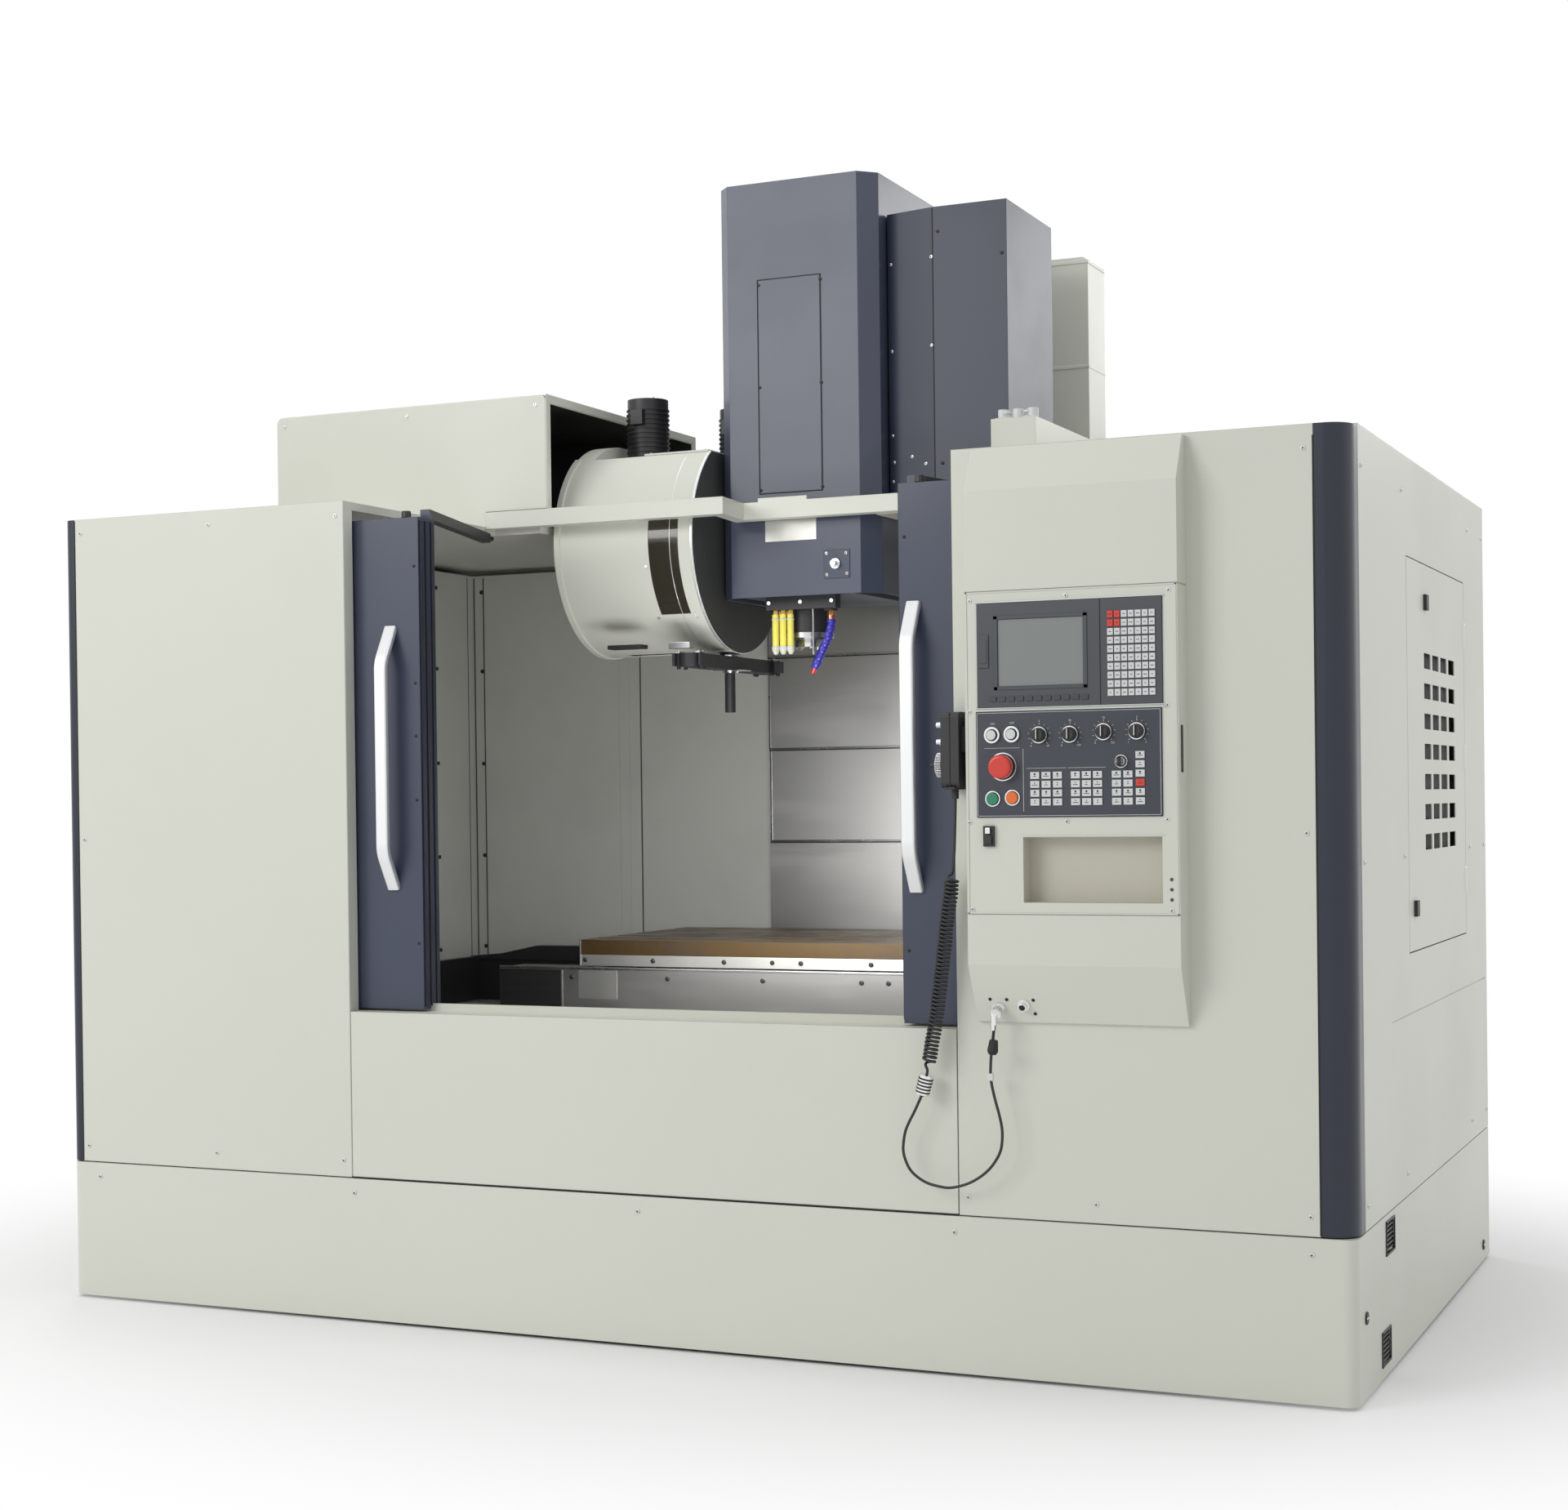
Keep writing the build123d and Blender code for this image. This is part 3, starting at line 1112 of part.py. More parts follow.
with BuildPart() as y_screw:
    level_rod(0, (TRAY_FRONT, Y_BEARING_REAR + BEARING_LENGTH), Y_SCREW_HEIGHT, SCREW_RADIUS)
save(y_screw.part, "y_screw")

with BuildPart() as z_screw:
    upright_rod(
        0, Z_SCREW_DEPTH, Z_SCREW_RADIUS, (Z_BEARING_LOW, Z_BEARING_HIGH + BEARING_LENGTH)
    )
save(z_screw.part, "z_screw")

# Saddle covers: stainless sheets in front of, behind and on top of the saddle, and its rail cover
COVER_FRONT = table_front - 10
COVER_LIP = 900
COVER_SHEET_TOP = 893
COVER_BOTTOM = 700
COVER_SHEET = 2
FRONT_STRIP_REAR = SPINDLE_DEPTH - X_RAIL_SPREAD - 60
MOVING_COVER_LENGTH = 350
with BuildPart() as saddle_covers:
    block((-saddle_half, saddle_half), (COVER_FRONT - COVER_SHEET, COVER_FRONT), (COVER_BOTTOM, COVER_LIP))
    block(
        (-saddle_half, saddle_half),
        (COVER_FRONT - COVER_SHEET, FRONT_STRIP_REAR),
        (COVER_SHEET_TOP - COVER_SHEET, COVER_SHEET_TOP),
    )
    for wall_x in (-saddle_half + 1, 0, saddle_half - 1):
        block(
            (wall_x - 1, wall_x + 1),
            (COVER_FRONT, saddle_front),
            (COVER_BOTTOM, COVER_SHEET_TOP),
        )
    block(
        (-saddle_half, saddle_half),
        (saddle_front + 30, saddle_front + 32),
        (SADDLE_TOP, COVER_SHEET_TOP),
    )
    block(
        (-saddle_half, saddle_half),
        (saddle_rear - 40, table_rear),
        (COVER_SHEET_TOP - COVER_SHEET, COVER_SHEET_TOP),
    )
    block(
        (-saddle_half, saddle_half),
        (saddle_rear - 40, saddle_rear - 38),
        (SADDLE_TOP, COVER_SHEET_TOP),
    )
    block(
        (-saddle_half, saddle_half), (table_rear - COVER_SHEET, table_rear), (COVER_BOTTOM, COVER_SHEET_TOP)
    )
    block(
        (-Y_COVER_HALF, Y_COVER_HALF),
        (saddle_front - MOVING_COVER_LENGTH, saddle_front),
        (SADDLE_BOTTOM + 10, SADDLE_BOTTOM + 10 + Y_COVER_SHEET),
    )
save(saddle_covers.part, "saddle_covers")

# Table: five T-slots along X, a drip strip, carriages on the saddle's rails and the screw's nut
STRIP_HEIGHTS = (904, 936)
STRIP_THICKNESS = 4
TABLE_EDGE_HEIGHT = 42
X_CARRIAGE_LENGTH = 110
X_CARRIAGE_SPREAD = 180
X_CARRIAGE_HALF = 52
X_CARRIAGE_DROP = 66
X_NUT_HALF = 30
with BuildPart() as table:
    block((table_left, table_right), (table_front, table_rear), (table_bottom, TABLE_TOP))
    for index in range(T_SLOT_COUNT):
        slot_depth = SPINDLE_DEPTH + (index - (T_SLOT_COUNT - 1) / 2) * T_SLOT_PITCH
        block(
            (table_left - 1, table_right + 1),
            (slot_depth - T_SLOT_THROAT / 2, slot_depth + T_SLOT_THROAT / 2),
            (TABLE_TOP - T_SLOT_DEPTH, TABLE_TOP + 1),
            mode=Mode.SUBTRACT,
        )
        block(
            (table_left - 1, table_right + 1),
            (slot_depth - T_SLOT_HEAD / 2, slot_depth + T_SLOT_HEAD / 2),
            (TABLE_TOP - T_SLOT_DEPTH, TABLE_TOP - T_SLOT_DEPTH + T_SLOT_HEAD_HEIGHT),
            mode=Mode.SUBTRACT,
        )
    for side in (-1, 1):
        for along in (-1, 1):
            carriage_x = TABLE_OFFSET + along * X_CARRIAGE_SPREAD
            rail_depth = SPINDLE_DEPTH + side * X_RAIL_SPREAD
            block(
                (carriage_x - X_CARRIAGE_LENGTH / 2, carriage_x + X_CARRIAGE_LENGTH / 2),
                (rail_depth - X_CARRIAGE_HALF, rail_depth + X_CARRIAGE_HALF),
                (table_bottom - X_CARRIAGE_DROP, table_bottom),
            )
        block(
            (table_left, table_right),
            (rail_depth - RAIL_WIDTH / 2 - RAIL_FIT, rail_depth + RAIL_WIDTH / 2 + RAIL_FIT),
            (table_bottom - X_CARRIAGE_DROP - 1, SADDLE_TOP + X_RAIL_HEIGHT + RAIL_FIT),
            mode=Mode.SUBTRACT,
        )
    block(
        (TABLE_OFFSET - NUT_LENGTH / 2, TABLE_OFFSET + NUT_LENGTH / 2),
        (SPINDLE_DEPTH - X_NUT_HALF, SPINDLE_DEPTH + X_NUT_HALF),
        (SADDLE_TOP + 1, table_bottom),
    )
    cross_rod(
        (TABLE_OFFSET - NUT_LENGTH, TABLE_OFFSET + NUT_LENGTH),
        SPINDLE_DEPTH,
        X_SCREW_HEIGHT,
        X_SCREW_RADIUS + NUT_FIT,
        mode=Mode.SUBTRACT,
    )
    block(
        (table_left, table_right),
        (table_front, table_front + STRIP_THICKNESS),
        (table_bottom - 1, TABLE_TOP - TABLE_EDGE_HEIGHT),
        mode=Mode.SUBTRACT,
    )
save(table.part, "table")

# Headstock: the casting that carries the spindle, on carriages up the column
HEAD_HALF_WIDTH = 175
HEAD_FRONT = 1000
HEAD_BACK_HALF = 372
HEAD_BACK_DEPTHS = (1486, COLUMN_FRONT - 78)
HEAD_HEIGHTS = (HEAD_COVER_BOTTOM + 8, 2520)
HEAD_BACK_HEIGHTS = (2180, 2640)
Z_CARRIAGE_HEIGHTS = ((2190, 2330), (2490, 2630))
MOTOR_FACE = 2520
with BuildPart() as headstock:
    block((-HEAD_HALF_WIDTH, HEAD_HALF_WIDTH), (HEAD_FRONT, HEAD_BACK_DEPTHS[0] + 60), HEAD_HEIGHTS)
    block((-HEAD_BACK_HALF, HEAD_BACK_HALF), HEAD_BACK_DEPTHS, HEAD_BACK_HEIGHTS)
    upright_rod(0, SPINDLE_DEPTH, NOSE_RADIUS, (NOSE_BOTTOM, HEAD_HEIGHTS[0]))
    fillet(edges().filter_by(GeomType.CIRCLE).sort_by(Axis.Z)[0], 8)
    for side in (-1, 1):
        for heights in Z_CARRIAGE_HEIGHTS:
            block(
                (side * Z_RAIL_X - CARRIAGE_HALF, side * Z_RAIL_X + CARRIAGE_HALF),
                (HEAD_BACK_DEPTHS[1], COLUMN_FRONT - 14),
                heights,
            )
        block(
            (
                side * Z_RAIL_X - RAIL_WIDTH / 2 - RAIL_FIT,
                side * Z_RAIL_X + RAIL_WIDTH / 2 + RAIL_FIT,
            ),
            (COLUMN_FRONT - RAIL_HEIGHT - RAIL_FIT, COLUMN_FRONT),
            (Z_CARRIAGE_HEIGHTS[0][0] - 1, Z_CARRIAGE_HEIGHTS[1][1] + 1),
            mode=Mode.SUBTRACT,
        )
    block(
        (-NUT_HALF, NUT_HALF),
        (HEAD_BACK_DEPTHS[1], COLUMN_FRONT - 4),
        (Z_CARRIAGE_HEIGHTS[0][1], Z_CARRIAGE_HEIGHTS[0][1] + NUT_LENGTH),
    )
    upright_rod(
        0,
        Z_SCREW_DEPTH,
        Z_SCREW_RADIUS + NUT_FIT,
        (HEAD_BACK_HEIGHTS[0], HEAD_BACK_HEIGHTS[1]),
        mode=Mode.SUBTRACT,
    )
    upright_rod(
        0, SPINDLE_DEPTH, SPINDLE_RADIUS + JOURNAL_FIT, (NOSE_BOTTOM - 1, MOTOR_FACE - 40), mode=Mode.SUBTRACT
    )
save(headstock.part, "headstock")

# Spindle: a shaft with the tool taper in its mouth and two drive keys
DRIVE_KEY = 16
with BuildPart() as spindle:
    upright_rod(0, SPINDLE_DEPTH, SPINDLE_RADIUS, (SPINDLE_BOTTOM, MOTOR_FACE - 42))
    with Locations((0, back(SPINDLE_DEPTH), SPINDLE_BOTTOM + TAPER_LENGTH / 2)):
        Cone(TAPER_MOUTH_RADIUS, TAPER_MOUTH_RADIUS * 0.55, TAPER_LENGTH, mode=Mode.SUBTRACT)
    upright_rod(
        0,
        SPINDLE_DEPTH,
        TAPER_MOUTH_RADIUS * 0.5,
        (SPINDLE_BOTTOM + TAPER_LENGTH - 1, SPINDLE_BOTTOM + 2 * TAPER_LENGTH),
        mode=Mode.SUBTRACT,
    )
    for side in (-1, 1):
        key_x = side * (TAPER_MOUTH_RADIUS + 11)
        block(
            (key_x - 9, key_x + 9),
            (SPINDLE_DEPTH - DRIVE_KEY / 2, SPINDLE_DEPTH + DRIVE_KEY / 2),
            (SPINDLE_BOTTOM - 8, SPINDLE_BOTTOM),
        )
save(spindle.part, "spindle")

# Spindle motor on top of the headstock, inside the cover
SPINDLE_MOTOR_HALF = 125
SPINDLE_MOTOR_TOP = 2930
with BuildPart() as spindle_motor:
    block(
        (-SPINDLE_MOTOR_HALF, SPINDLE_MOTOR_HALF),
        (SPINDLE_DEPTH - SPINDLE_MOTOR_HALF, SPINDLE_DEPTH + SPINDLE_MOTOR_HALF),
        (MOTOR_FACE, SPINDLE_MOTOR_TOP),
    )
    chamfer(edges().filter_by(Axis.Z), 22)
save(spindle_motor.part, "spindle_motor")

# Head cover: the tall folded cover round the headstock, with bevelled front edges
head_cover_plan = (
    (HEAD_COVER_LEFT, back(HEAD_COVER_FRONT + HEAD_LEFT_CHAMFER)),
    (HEAD_COVER_LEFT + HEAD_LEFT_CHAMFER, back(HEAD_COVER_FRONT)),
    (HEAD_COVER_RIGHT - HEAD_RIGHT_CHAMFER, back(HEAD_COVER_FRONT)),
    (HEAD_COVER_RIGHT, back(HEAD_COVER_FRONT + HEAD_RIGHT_CHAMFER)),
    (HEAD_COVER_RIGHT, back(HEAD_COVER_REAR)),
    (HEAD_COVER_LEFT, back(HEAD_COVER_REAR)),
)
ACCESS_X = (-80, 117)
ACCESS_HEIGHTS = (2262, 2880)
ACCESS_GROOVE = 2
with BuildPart() as head_cover:
    with BuildSketch(Plane.XY.offset(HEAD_COVER_BOTTOM)):
        with BuildLine():
            Polyline(*head_cover_plan, close=True)
        make_face()
    extrude(amount=HEAD_COVER_TOP - HEAD_COVER_BOTTOM)
    with BuildSketch(Plane.XY.offset(HEAD_COVER_BOTTOM)):
        with BuildLine():
            Polyline(*head_cover_plan, close=True)
        make_face()
        offset(amount=-SHEET, kind=Kind.INTERSECTION)
    extrude(amount=HEAD_COVER_TOP - HEAD_COVER_BOTTOM - SHEET, mode=Mode.SUBTRACT)
    block(
        (-HEAD_HALF_WIDTH - 4, HEAD_HALF_WIDTH + 4),
        (HEAD_COVER_REAR - SHEET - 1, HEAD_COVER_REAR + 1),
        (HEAD_COVER_BOTTOM - 1, 2660),
        mode=Mode.SUBTRACT,
    )
    block(
        (ACCESS_X[0], ACCESS_X[1]), (HEAD_COVER_FRONT - 1, HEAD_COVER_FRONT + 1), ACCESS_HEIGHTS,
        mode=Mode.SUBTRACT,
    )
    block(
        (ACCESS_X[0] + ACCESS_GROOVE, ACCESS_X[1] - ACCESS_GROOVE),
        (HEAD_COVER_FRONT - 1, HEAD_COVER_FRONT + 1),
        (ACCESS_HEIGHTS[0] + ACCESS_GROOVE, ACCESS_HEIGHTS[1] - ACCESS_GROOVE),
    )
save(head_cover.part, "head_cover")

# Coolant lines: a ring of nozzles with three short tubes, and a jointed hose
TUBE_RADIUS = 10
TUBE_X = (-70, -46, -22)
TUBE_DEPTH = 1040
TUBE_HEIGHTS = (1812, 1930)
HOSE_RADIUS = 11
HOSE_STEPS = ((100, 1932), (100, 1890), (88, 1848), (66, 1806), (46, 1762))
HOSE_DEPTH = 1058
with BuildPart() as coolant_lines:
    for tube_x in TUBE_X:
        upright_rod(tube_x, TUBE_DEPTH, TUBE_RADIUS, TUBE_HEIGHTS)
    block((-90, 130), (TUBE_DEPTH - 22, TUBE_DEPTH + 15), (TUBE_HEIGHTS[1], HEAD_HEIGHTS[0]))
    for (upper_x, upper_z), (lower_x, lower_z) in zip(HOSE_STEPS, HOSE_STEPS[1:]):
        run = math.dist((upper_x, upper_z), (lower_x, lower_z))
        lean = math.degrees(math.atan2(upper_x - lower_x, upper_z - lower_z))
        with Locations(
            Location(((upper_x + lower_x) / 2, back(HOSE_DEPTH), (upper_z + lower_z) / 2), (0, lean, 0))
        ):
            Cylinder(HOSE_RADIUS, run + 6)
    block((86, 114), (TUBE_DEPTH - 5, HOSE_DEPTH + 14), (TUBE_HEIGHTS[1] - 6, HEAD_HEIGHTS[0]))
save(coolant_lines.part, "coolant_lines")

# Sliding doors: hollow sheets with a window, and a stay back to a carriage under the top beam
door_rear = DOOR_FRONT + DOOR_THICKNESS
door_bottom = SILL_HEIGHT + DOOR_GAP
STAY_TOP = DOOR_TOP + STAY_HEIGHT
ROLLER_RADIUS = 7
ROLLER_LENGTH = 26
STAY_SHIFT = 172
WINDOW_SHEET = 5
WINDOW_OFFSET = 300
for side, edge, beam_depth, door_name in (
    (-1, LEFT_DOOR_EDGE, BEAM_FRONT, "left_door"),
    (1, RIGHT_DOOR_EDGE, BEAM_STEP, "right_door"),
):
    hidden_edge = edge + side * DOOR_WIDTH
    stay_end_depth = beam_depth - 24
    window_inner = edge + side * WINDOW_OFFSET
    window_outer = window_inner + side * WINDOW_WIDTH
    window_span = (min(window_inner, window_outer), max(window_inner, window_outer))
    stay_outline = (
        (edge, back(door_rear - 20)),
        (edge + side * STAY_WIDTH, back(door_rear - 20)),
        (edge + side * (STAY_SHIFT + STAY_WIDTH), back(stay_end_depth)),
        (edge + side * STAY_SHIFT, back(stay_end_depth)),
    )
    with BuildPart() as door:
        folded_box(
            (min(edge, hidden_edge), max(edge, hidden_edge)),
            (DOOR_FRONT, door_rear),
            (door_bottom, DOOR_TOP),
            "-z",
        )
        block(
            (window_span[0] - 12, window_span[1] + 12),
            (DOOR_FRONT, door_rear),
            (WINDOW_LOW - 12, WINDOW_HIGH + 12),
        )
        block(
            window_span,
            (DOOR_FRONT - 1, DOOR_FRONT + (DOOR_THICKNESS - WINDOW_SHEET) / 2),
            (WINDOW_LOW, WINDOW_HIGH),
            mode=Mode.SUBTRACT,
        )
        block(
            window_span,
            (DOOR_FRONT + (DOOR_THICKNESS + WINDOW_SHEET) / 2, door_rear + 1),
            (WINDOW_LOW, WINDOW_HIGH),
            mode=Mode.SUBTRACT,
        )
        block(
            (min(edge, hidden_edge) - 1, max(edge, hidden_edge) + 1),
            (RIB_DEPTHS[0] - 4, RIB_DEPTHS[1] + 4),
            (door_bottom - 1, SILL_HEIGHT + RIB_HEIGHT + 4),
            mode=Mode.SUBTRACT,
        )
        with BuildSketch(Plane.XY.offset(DOOR_TOP)):
            with BuildLine():
                Polyline(*stay_outline, close=True)
            make_face()
        extrude(amount=STAY_HEIGHT)
        for step in (0.25, 0.85):
            roller_x = edge + side * (STAY_SHIFT + STAY_WIDTH * step)
            level_rod(
                roller_x,
                (stay_end_depth - 1, stay_end_depth + ROLLER_LENGTH - 6),
                STAY_TOP - STAY_HEIGHT / 2,
                ROLLER_RADIUS,
            )
    save(door.part, door_name)

# Door handles: flattened bars bowed forward from the door
HANDLE_BEND = 85
HANDLE_RISE = 96
for side, handle_name in ((-1, "left_handle"), (1, "right_handle")):
    handle_x = side * HANDLE_X
    grip_depth = DOOR_FRONT - HANDLE_STANDOFF
    with BuildPart() as handle:
        with BuildLine(Plane.YZ.offset(handle_x)):
            FilletPolyline(
                (back(DOOR_FRONT), HANDLE_LOW),
                (back(grip_depth), HANDLE_LOW + HANDLE_RISE),
                (back(grip_depth), HANDLE_HIGH - HANDLE_RISE),
                (back(DOOR_FRONT), HANDLE_HIGH),
                radius=HANDLE_BEND,
            )
        rise = math.degrees(math.atan2(HANDLE_RISE, HANDLE_STANDOFF))
        start_plane = Plane(
            origin=(handle_x, back(DOOR_FRONT), HANDLE_LOW),
            x_dir=(1, 0, 0),
            z_dir=(0, -math.cos(math.radians(rise)), math.sin(math.radians(rise))),
        )
        with BuildSketch(start_plane):
            RectangleRounded(HANDLE_WIDTH, HANDLE_THICKNESS, HANDLE_THICKNESS * 0.32)
        sweep()
        split(bisect_by=Plane.XZ.offset(-back(DOOR_FRONT)), keep=Keep.TOP)
    save(handle.part, handle_name)

# Control box: a folded housing with a sloped top and foot, seams and a recessed pocket
UPPER_SEAM = 1857
LOWER_SEAM = 1107
SEAM_DEPTH = 2
FOOT_PROUD = 12
TOP_PROUD = 20
DISPLAY_X = (950, 1392)
DISPLAY_HEIGHTS = (1587, 1829)
DISPLAY_SPLIT = 1248
OPERATOR_X = (946, 1389)
OPERATOR_HEIGHTS = (1332, 1577)
POCKET_X = (1057, 1387)
POCKET_HEIGHTS = (1134, 1285)
POCKET_DEPTH = 52
SIDE_SLOT_DEPTHS = (-56, -46)
SIDE_SLOT_HEIGHTS = (1433, 1534)
LATCH_X = (962, 988)
LATCH_HEIGHTS = (1264, 1312)
LATCH_PROUD = 9
box_side = (
    (0, BOX_BOTTOM),
    (-FOOT_PROUD, BOX_BOTTOM),
    (-BOX_PROUD, BOX_SLOPE_BOTTOM),
    (-BOX_PROUD, BOX_SLOPE_TOP),
    (-TOP_PROUD, BOX_TOP),
    (0, BOX_TOP),
)
with BuildPart() as control_box:
    with BuildSketch(Plane.YZ.offset(BOX_LEFT)):
        with BuildLine():
            Polyline(*[(back(depth), z) for depth, z in box_side], close=True)
        make_face()
    extrude(amount=BOX_RIGHT - BOX_LEFT)
    with BuildSketch(Plane.YZ.offset(BOX_LEFT + SHEET)):
        with BuildLine():
            Polyline(*[(back(depth), z) for depth, z in box_side], close=True)
        make_face()
        offset(amount=-SHEET, kind=Kind.INTERSECTION)
    extrude(amount=BOX_RIGHT - BOX_LEFT - 2 * SHEET, mode=Mode.SUBTRACT)
    for seam_height in (UPPER_SEAM, LOWER_SEAM):
        block(
            (BOX_LEFT - 1, BOX_RIGHT + 1),
            (-BOX_PROUD - 1, -BOX_PROUD + SEAM_DEPTH),
            (seam_height - SEAM / 2, seam_height + SEAM / 2),
            mode=Mode.SUBTRACT,
        )
    block(
        (BOX_RIGHT - SEAM_DEPTH, BOX_RIGHT + 1),
        (-BOX_PROUD, -SHEET),
        (UPPER_SEAM - SEAM / 2, UPPER_SEAM + SEAM / 2),
        mode=Mode.SUBTRACT,
    )
    for unit_x, unit_heights in ((DISPLAY_X, DISPLAY_HEIGHTS), (OPERATOR_X, OPERATOR_HEIGHTS)):
        block(
            (unit_x[0] - UNIT_GAP, unit_x[1] + UNIT_GAP),
            (-BOX_PROUD - 1, -BOX_PROUD + SHEET + 1),
            (unit_heights[0] - UNIT_GAP, unit_heights[1] + UNIT_GAP),
            mode=Mode.SUBTRACT,
        )
    block(
        (POCKET_X[0] - SHEET, POCKET_X[1] + SHEET),
        (-BOX_PROUD + 1, -BOX_PROUD + POCKET_DEPTH + SHEET),
        (POCKET_HEIGHTS[0] - SHEET, POCKET_HEIGHTS[1] + SHEET),
    )
    block(
        POCKET_X, (-BOX_PROUD - 1, -BOX_PROUD + POCKET_DEPTH), POCKET_HEIGHTS, mode=Mode.SUBTRACT
    )
    block(
        (BOX_RIGHT - SHEET - 1, BOX_RIGHT + 1), SIDE_SLOT_DEPTHS, SIDE_SLOT_HEIGHTS, mode=Mode.SUBTRACT
    )
    block(LATCH_X, (-BOX_PROUD - LATCH_PROUD, -BOX_PROUD), LATCH_HEIGHTS)
save(control_box.part, "control_box")

# Display unit: the screen's bezel with soft keys, and the keyboard beside it
SCREEN_X = (1001, 1207)
SCREEN_HEIGHTS = (1635, 1791)
SCREEN_RECESS = 3
SOFT_KEYS = 11
SOFT_KEY_X = (978, 1222)
SOFT_KEY_HEIGHT = 1606
SOFT_KEY_SIZE = (15, 11)
KEYBOARD_X = (1264, 1378)
KEYBOARD_HEIGHTS = (1604, 1802)
KEYBOARD_COLUMNS = 7
KEYBOARD_ROWS = 10
KEY_SIZE = (12, 14)
KEY_PROUD = 2
unit_face = -BOX_PROUD - UNIT_PROUD
with BuildPart() as display_unit:
    block(DISPLAY_X, (unit_face, unit_face + UNIT_DEPTH), DISPLAY_HEIGHTS)
    block(
        (DISPLAY_SPLIT - SEAM / 2, DISPLAY_SPLIT + SEAM / 2),
        (unit_face - 1, unit_face + SEAM_DEPTH),
        (DISPLAY_HEIGHTS[0] - 1, DISPLAY_HEIGHTS[1] + 1),
        mode=Mode.SUBTRACT,
    )
    block(SCREEN_X, (unit_face - 1, unit_face + SCREEN_RECESS), SCREEN_HEIGHTS, mode=Mode.SUBTRACT)
    ring_grid(
        evenly(SOFT_KEY_X[0], SOFT_KEY_X[1], SOFT_KEYS),
        [SOFT_KEY_HEIGHT],
        SOFT_KEY_SIZE,
        (unit_face - KEY_PROUD, unit_face),
    )
    ring_grid(
        evenly(KEYBOARD_X[0], KEYBOARD_X[1], KEYBOARD_COLUMNS),
        evenly(KEYBOARD_HEIGHTS[0], KEYBOARD_HEIGHTS[1], KEYBOARD_ROWS),
        KEY_SIZE,
        (unit_face - KEY_PROUD, unit_face),
    )
save(display_unit.part, "display_unit")

# Operator panel: key groups, lamp buttons, a key switch and the seats of the moving controls
KEY_GROUPS = (
    (evenly(1075, 1157, 3), evenly(1356, 1438, 4)),
    (evenly(1173, 1252, 3), evenly(1356, 1438, 4)),
    (evenly(1270, 1324, 2), evenly(1356, 1438, 4)),
    (evenly(1326, 1352, 1), evenly(1356, 1482, 6)),
)
PANEL_KEY_SIZE = (20, 15)
LAMP_BUTTONS = ((986, 1523), (1034, 1524))
KNOB_CENTRES = ((1100, 1521), (1174, 1521), (1254, 1525), (1332, 1525))
KNOB_RADIUS = 20
KNOB_PROUD = 22
KNOB_SKIRT = 3
STOP_CENTRE = (1011, 1449)
STOP_RADIUS = 28
START_CENTRE = (986, 1375)
HOLD_CENTRE = (1034, 1377)
PUSH_RADIUS = 14
PUSH_COLLAR = 3
KEY_SWITCH = (1295, 1457)
BUTTON_FIT = 0.5
STEM_RADIUS = 8
STEM_DEPTH = 16
moving_controls = (STOP_CENTRE, START_CENTRE, HOLD_CENTRE) + KNOB_CENTRES
with BuildPart() as operator_panel:
    block(OPERATOR_X, (unit_face, unit_face + UNIT_DEPTH), OPERATOR_HEIGHTS)
    for columns, rows in KEY_GROUPS:
        ring_grid(columns, rows, PANEL_KEY_SIZE, (unit_face - KEY_PROUD, unit_face))
    for lamp_x, lamp_z in LAMP_BUTTONS:
        level_rod(lamp_x, (unit_face - 5, unit_face), lamp_z, 17)
        level_rod(lamp_x, (unit_face - 11, unit_face), lamp_z, 12)
    level_rod(KEY_SWITCH[0], (unit_face - 9, unit_face), KEY_SWITCH[1], 13)
    for push_x, push_z in (START_CENTRE, HOLD_CENTRE):
        level_rod(push_x, (unit_face - PUSH_COLLAR, unit_face), push_z, PUSH_RADIUS + 4)
        level_rod(
            push_x, (unit_face - PUSH_COLLAR - 1, unit_face + 4), push_z, PUSH_RADIUS + BUTTON_FIT,
            mode=Mode.SUBTRACT,
        )
    for control_x, control_z in moving_controls:
        level_rod(
            control_x, (unit_face - 1, unit_face + STEM_DEPTH + 6), control_z, STEM_RADIUS + BUTTON_FIT,
            mode=Mode.SUBTRACT,
        )
save(operator_panel.part, "operator_panel")

# Emergency stop: a mushroom head on a stem that pushes in
STOP_TRAVEL = 5
with BuildPart() as emergency_stop:
    level_rod(STOP_CENTRE[0], (unit_face - 31, unit_face - 12), STOP_CENTRE[1], STOP_RADIUS)
    fillet(edges().filter_by(GeomType.CIRCLE).group_by(Axis.Y)[0], 8)
    level_rod(STOP_CENTRE[0], (unit_face - 12, unit_face - STOP_TRAVEL - 1), STOP_CENTRE[1], STOP_RADIUS - 8)
    level_rod(STOP_CENTRE[0], (unit_face - 12, unit_face + STEM_DEPTH), STOP_CENTRE[1], STEM_RADIUS)
save(emergency_stop.part, "emergency_stop")

# Start and hold buttons: caps in collars on stems
for (cap_x, cap_z), cap_name in ((START_CENTRE, "start_button"), (HOLD_CENTRE, "hold_button")):
    with BuildPart() as push_button:
        level_rod(cap_x, (unit_face - 9, unit_face), cap_z, PUSH_RADIUS)
        fillet(edges().filter_by(GeomType.CIRCLE).group_by(Axis.Y)[0], 2)
        level_rod(cap_x, (unit_face, unit_face + STEM_DEPTH), cap_z, STEM_RADIUS)
    save(push_button.part, cap_name)

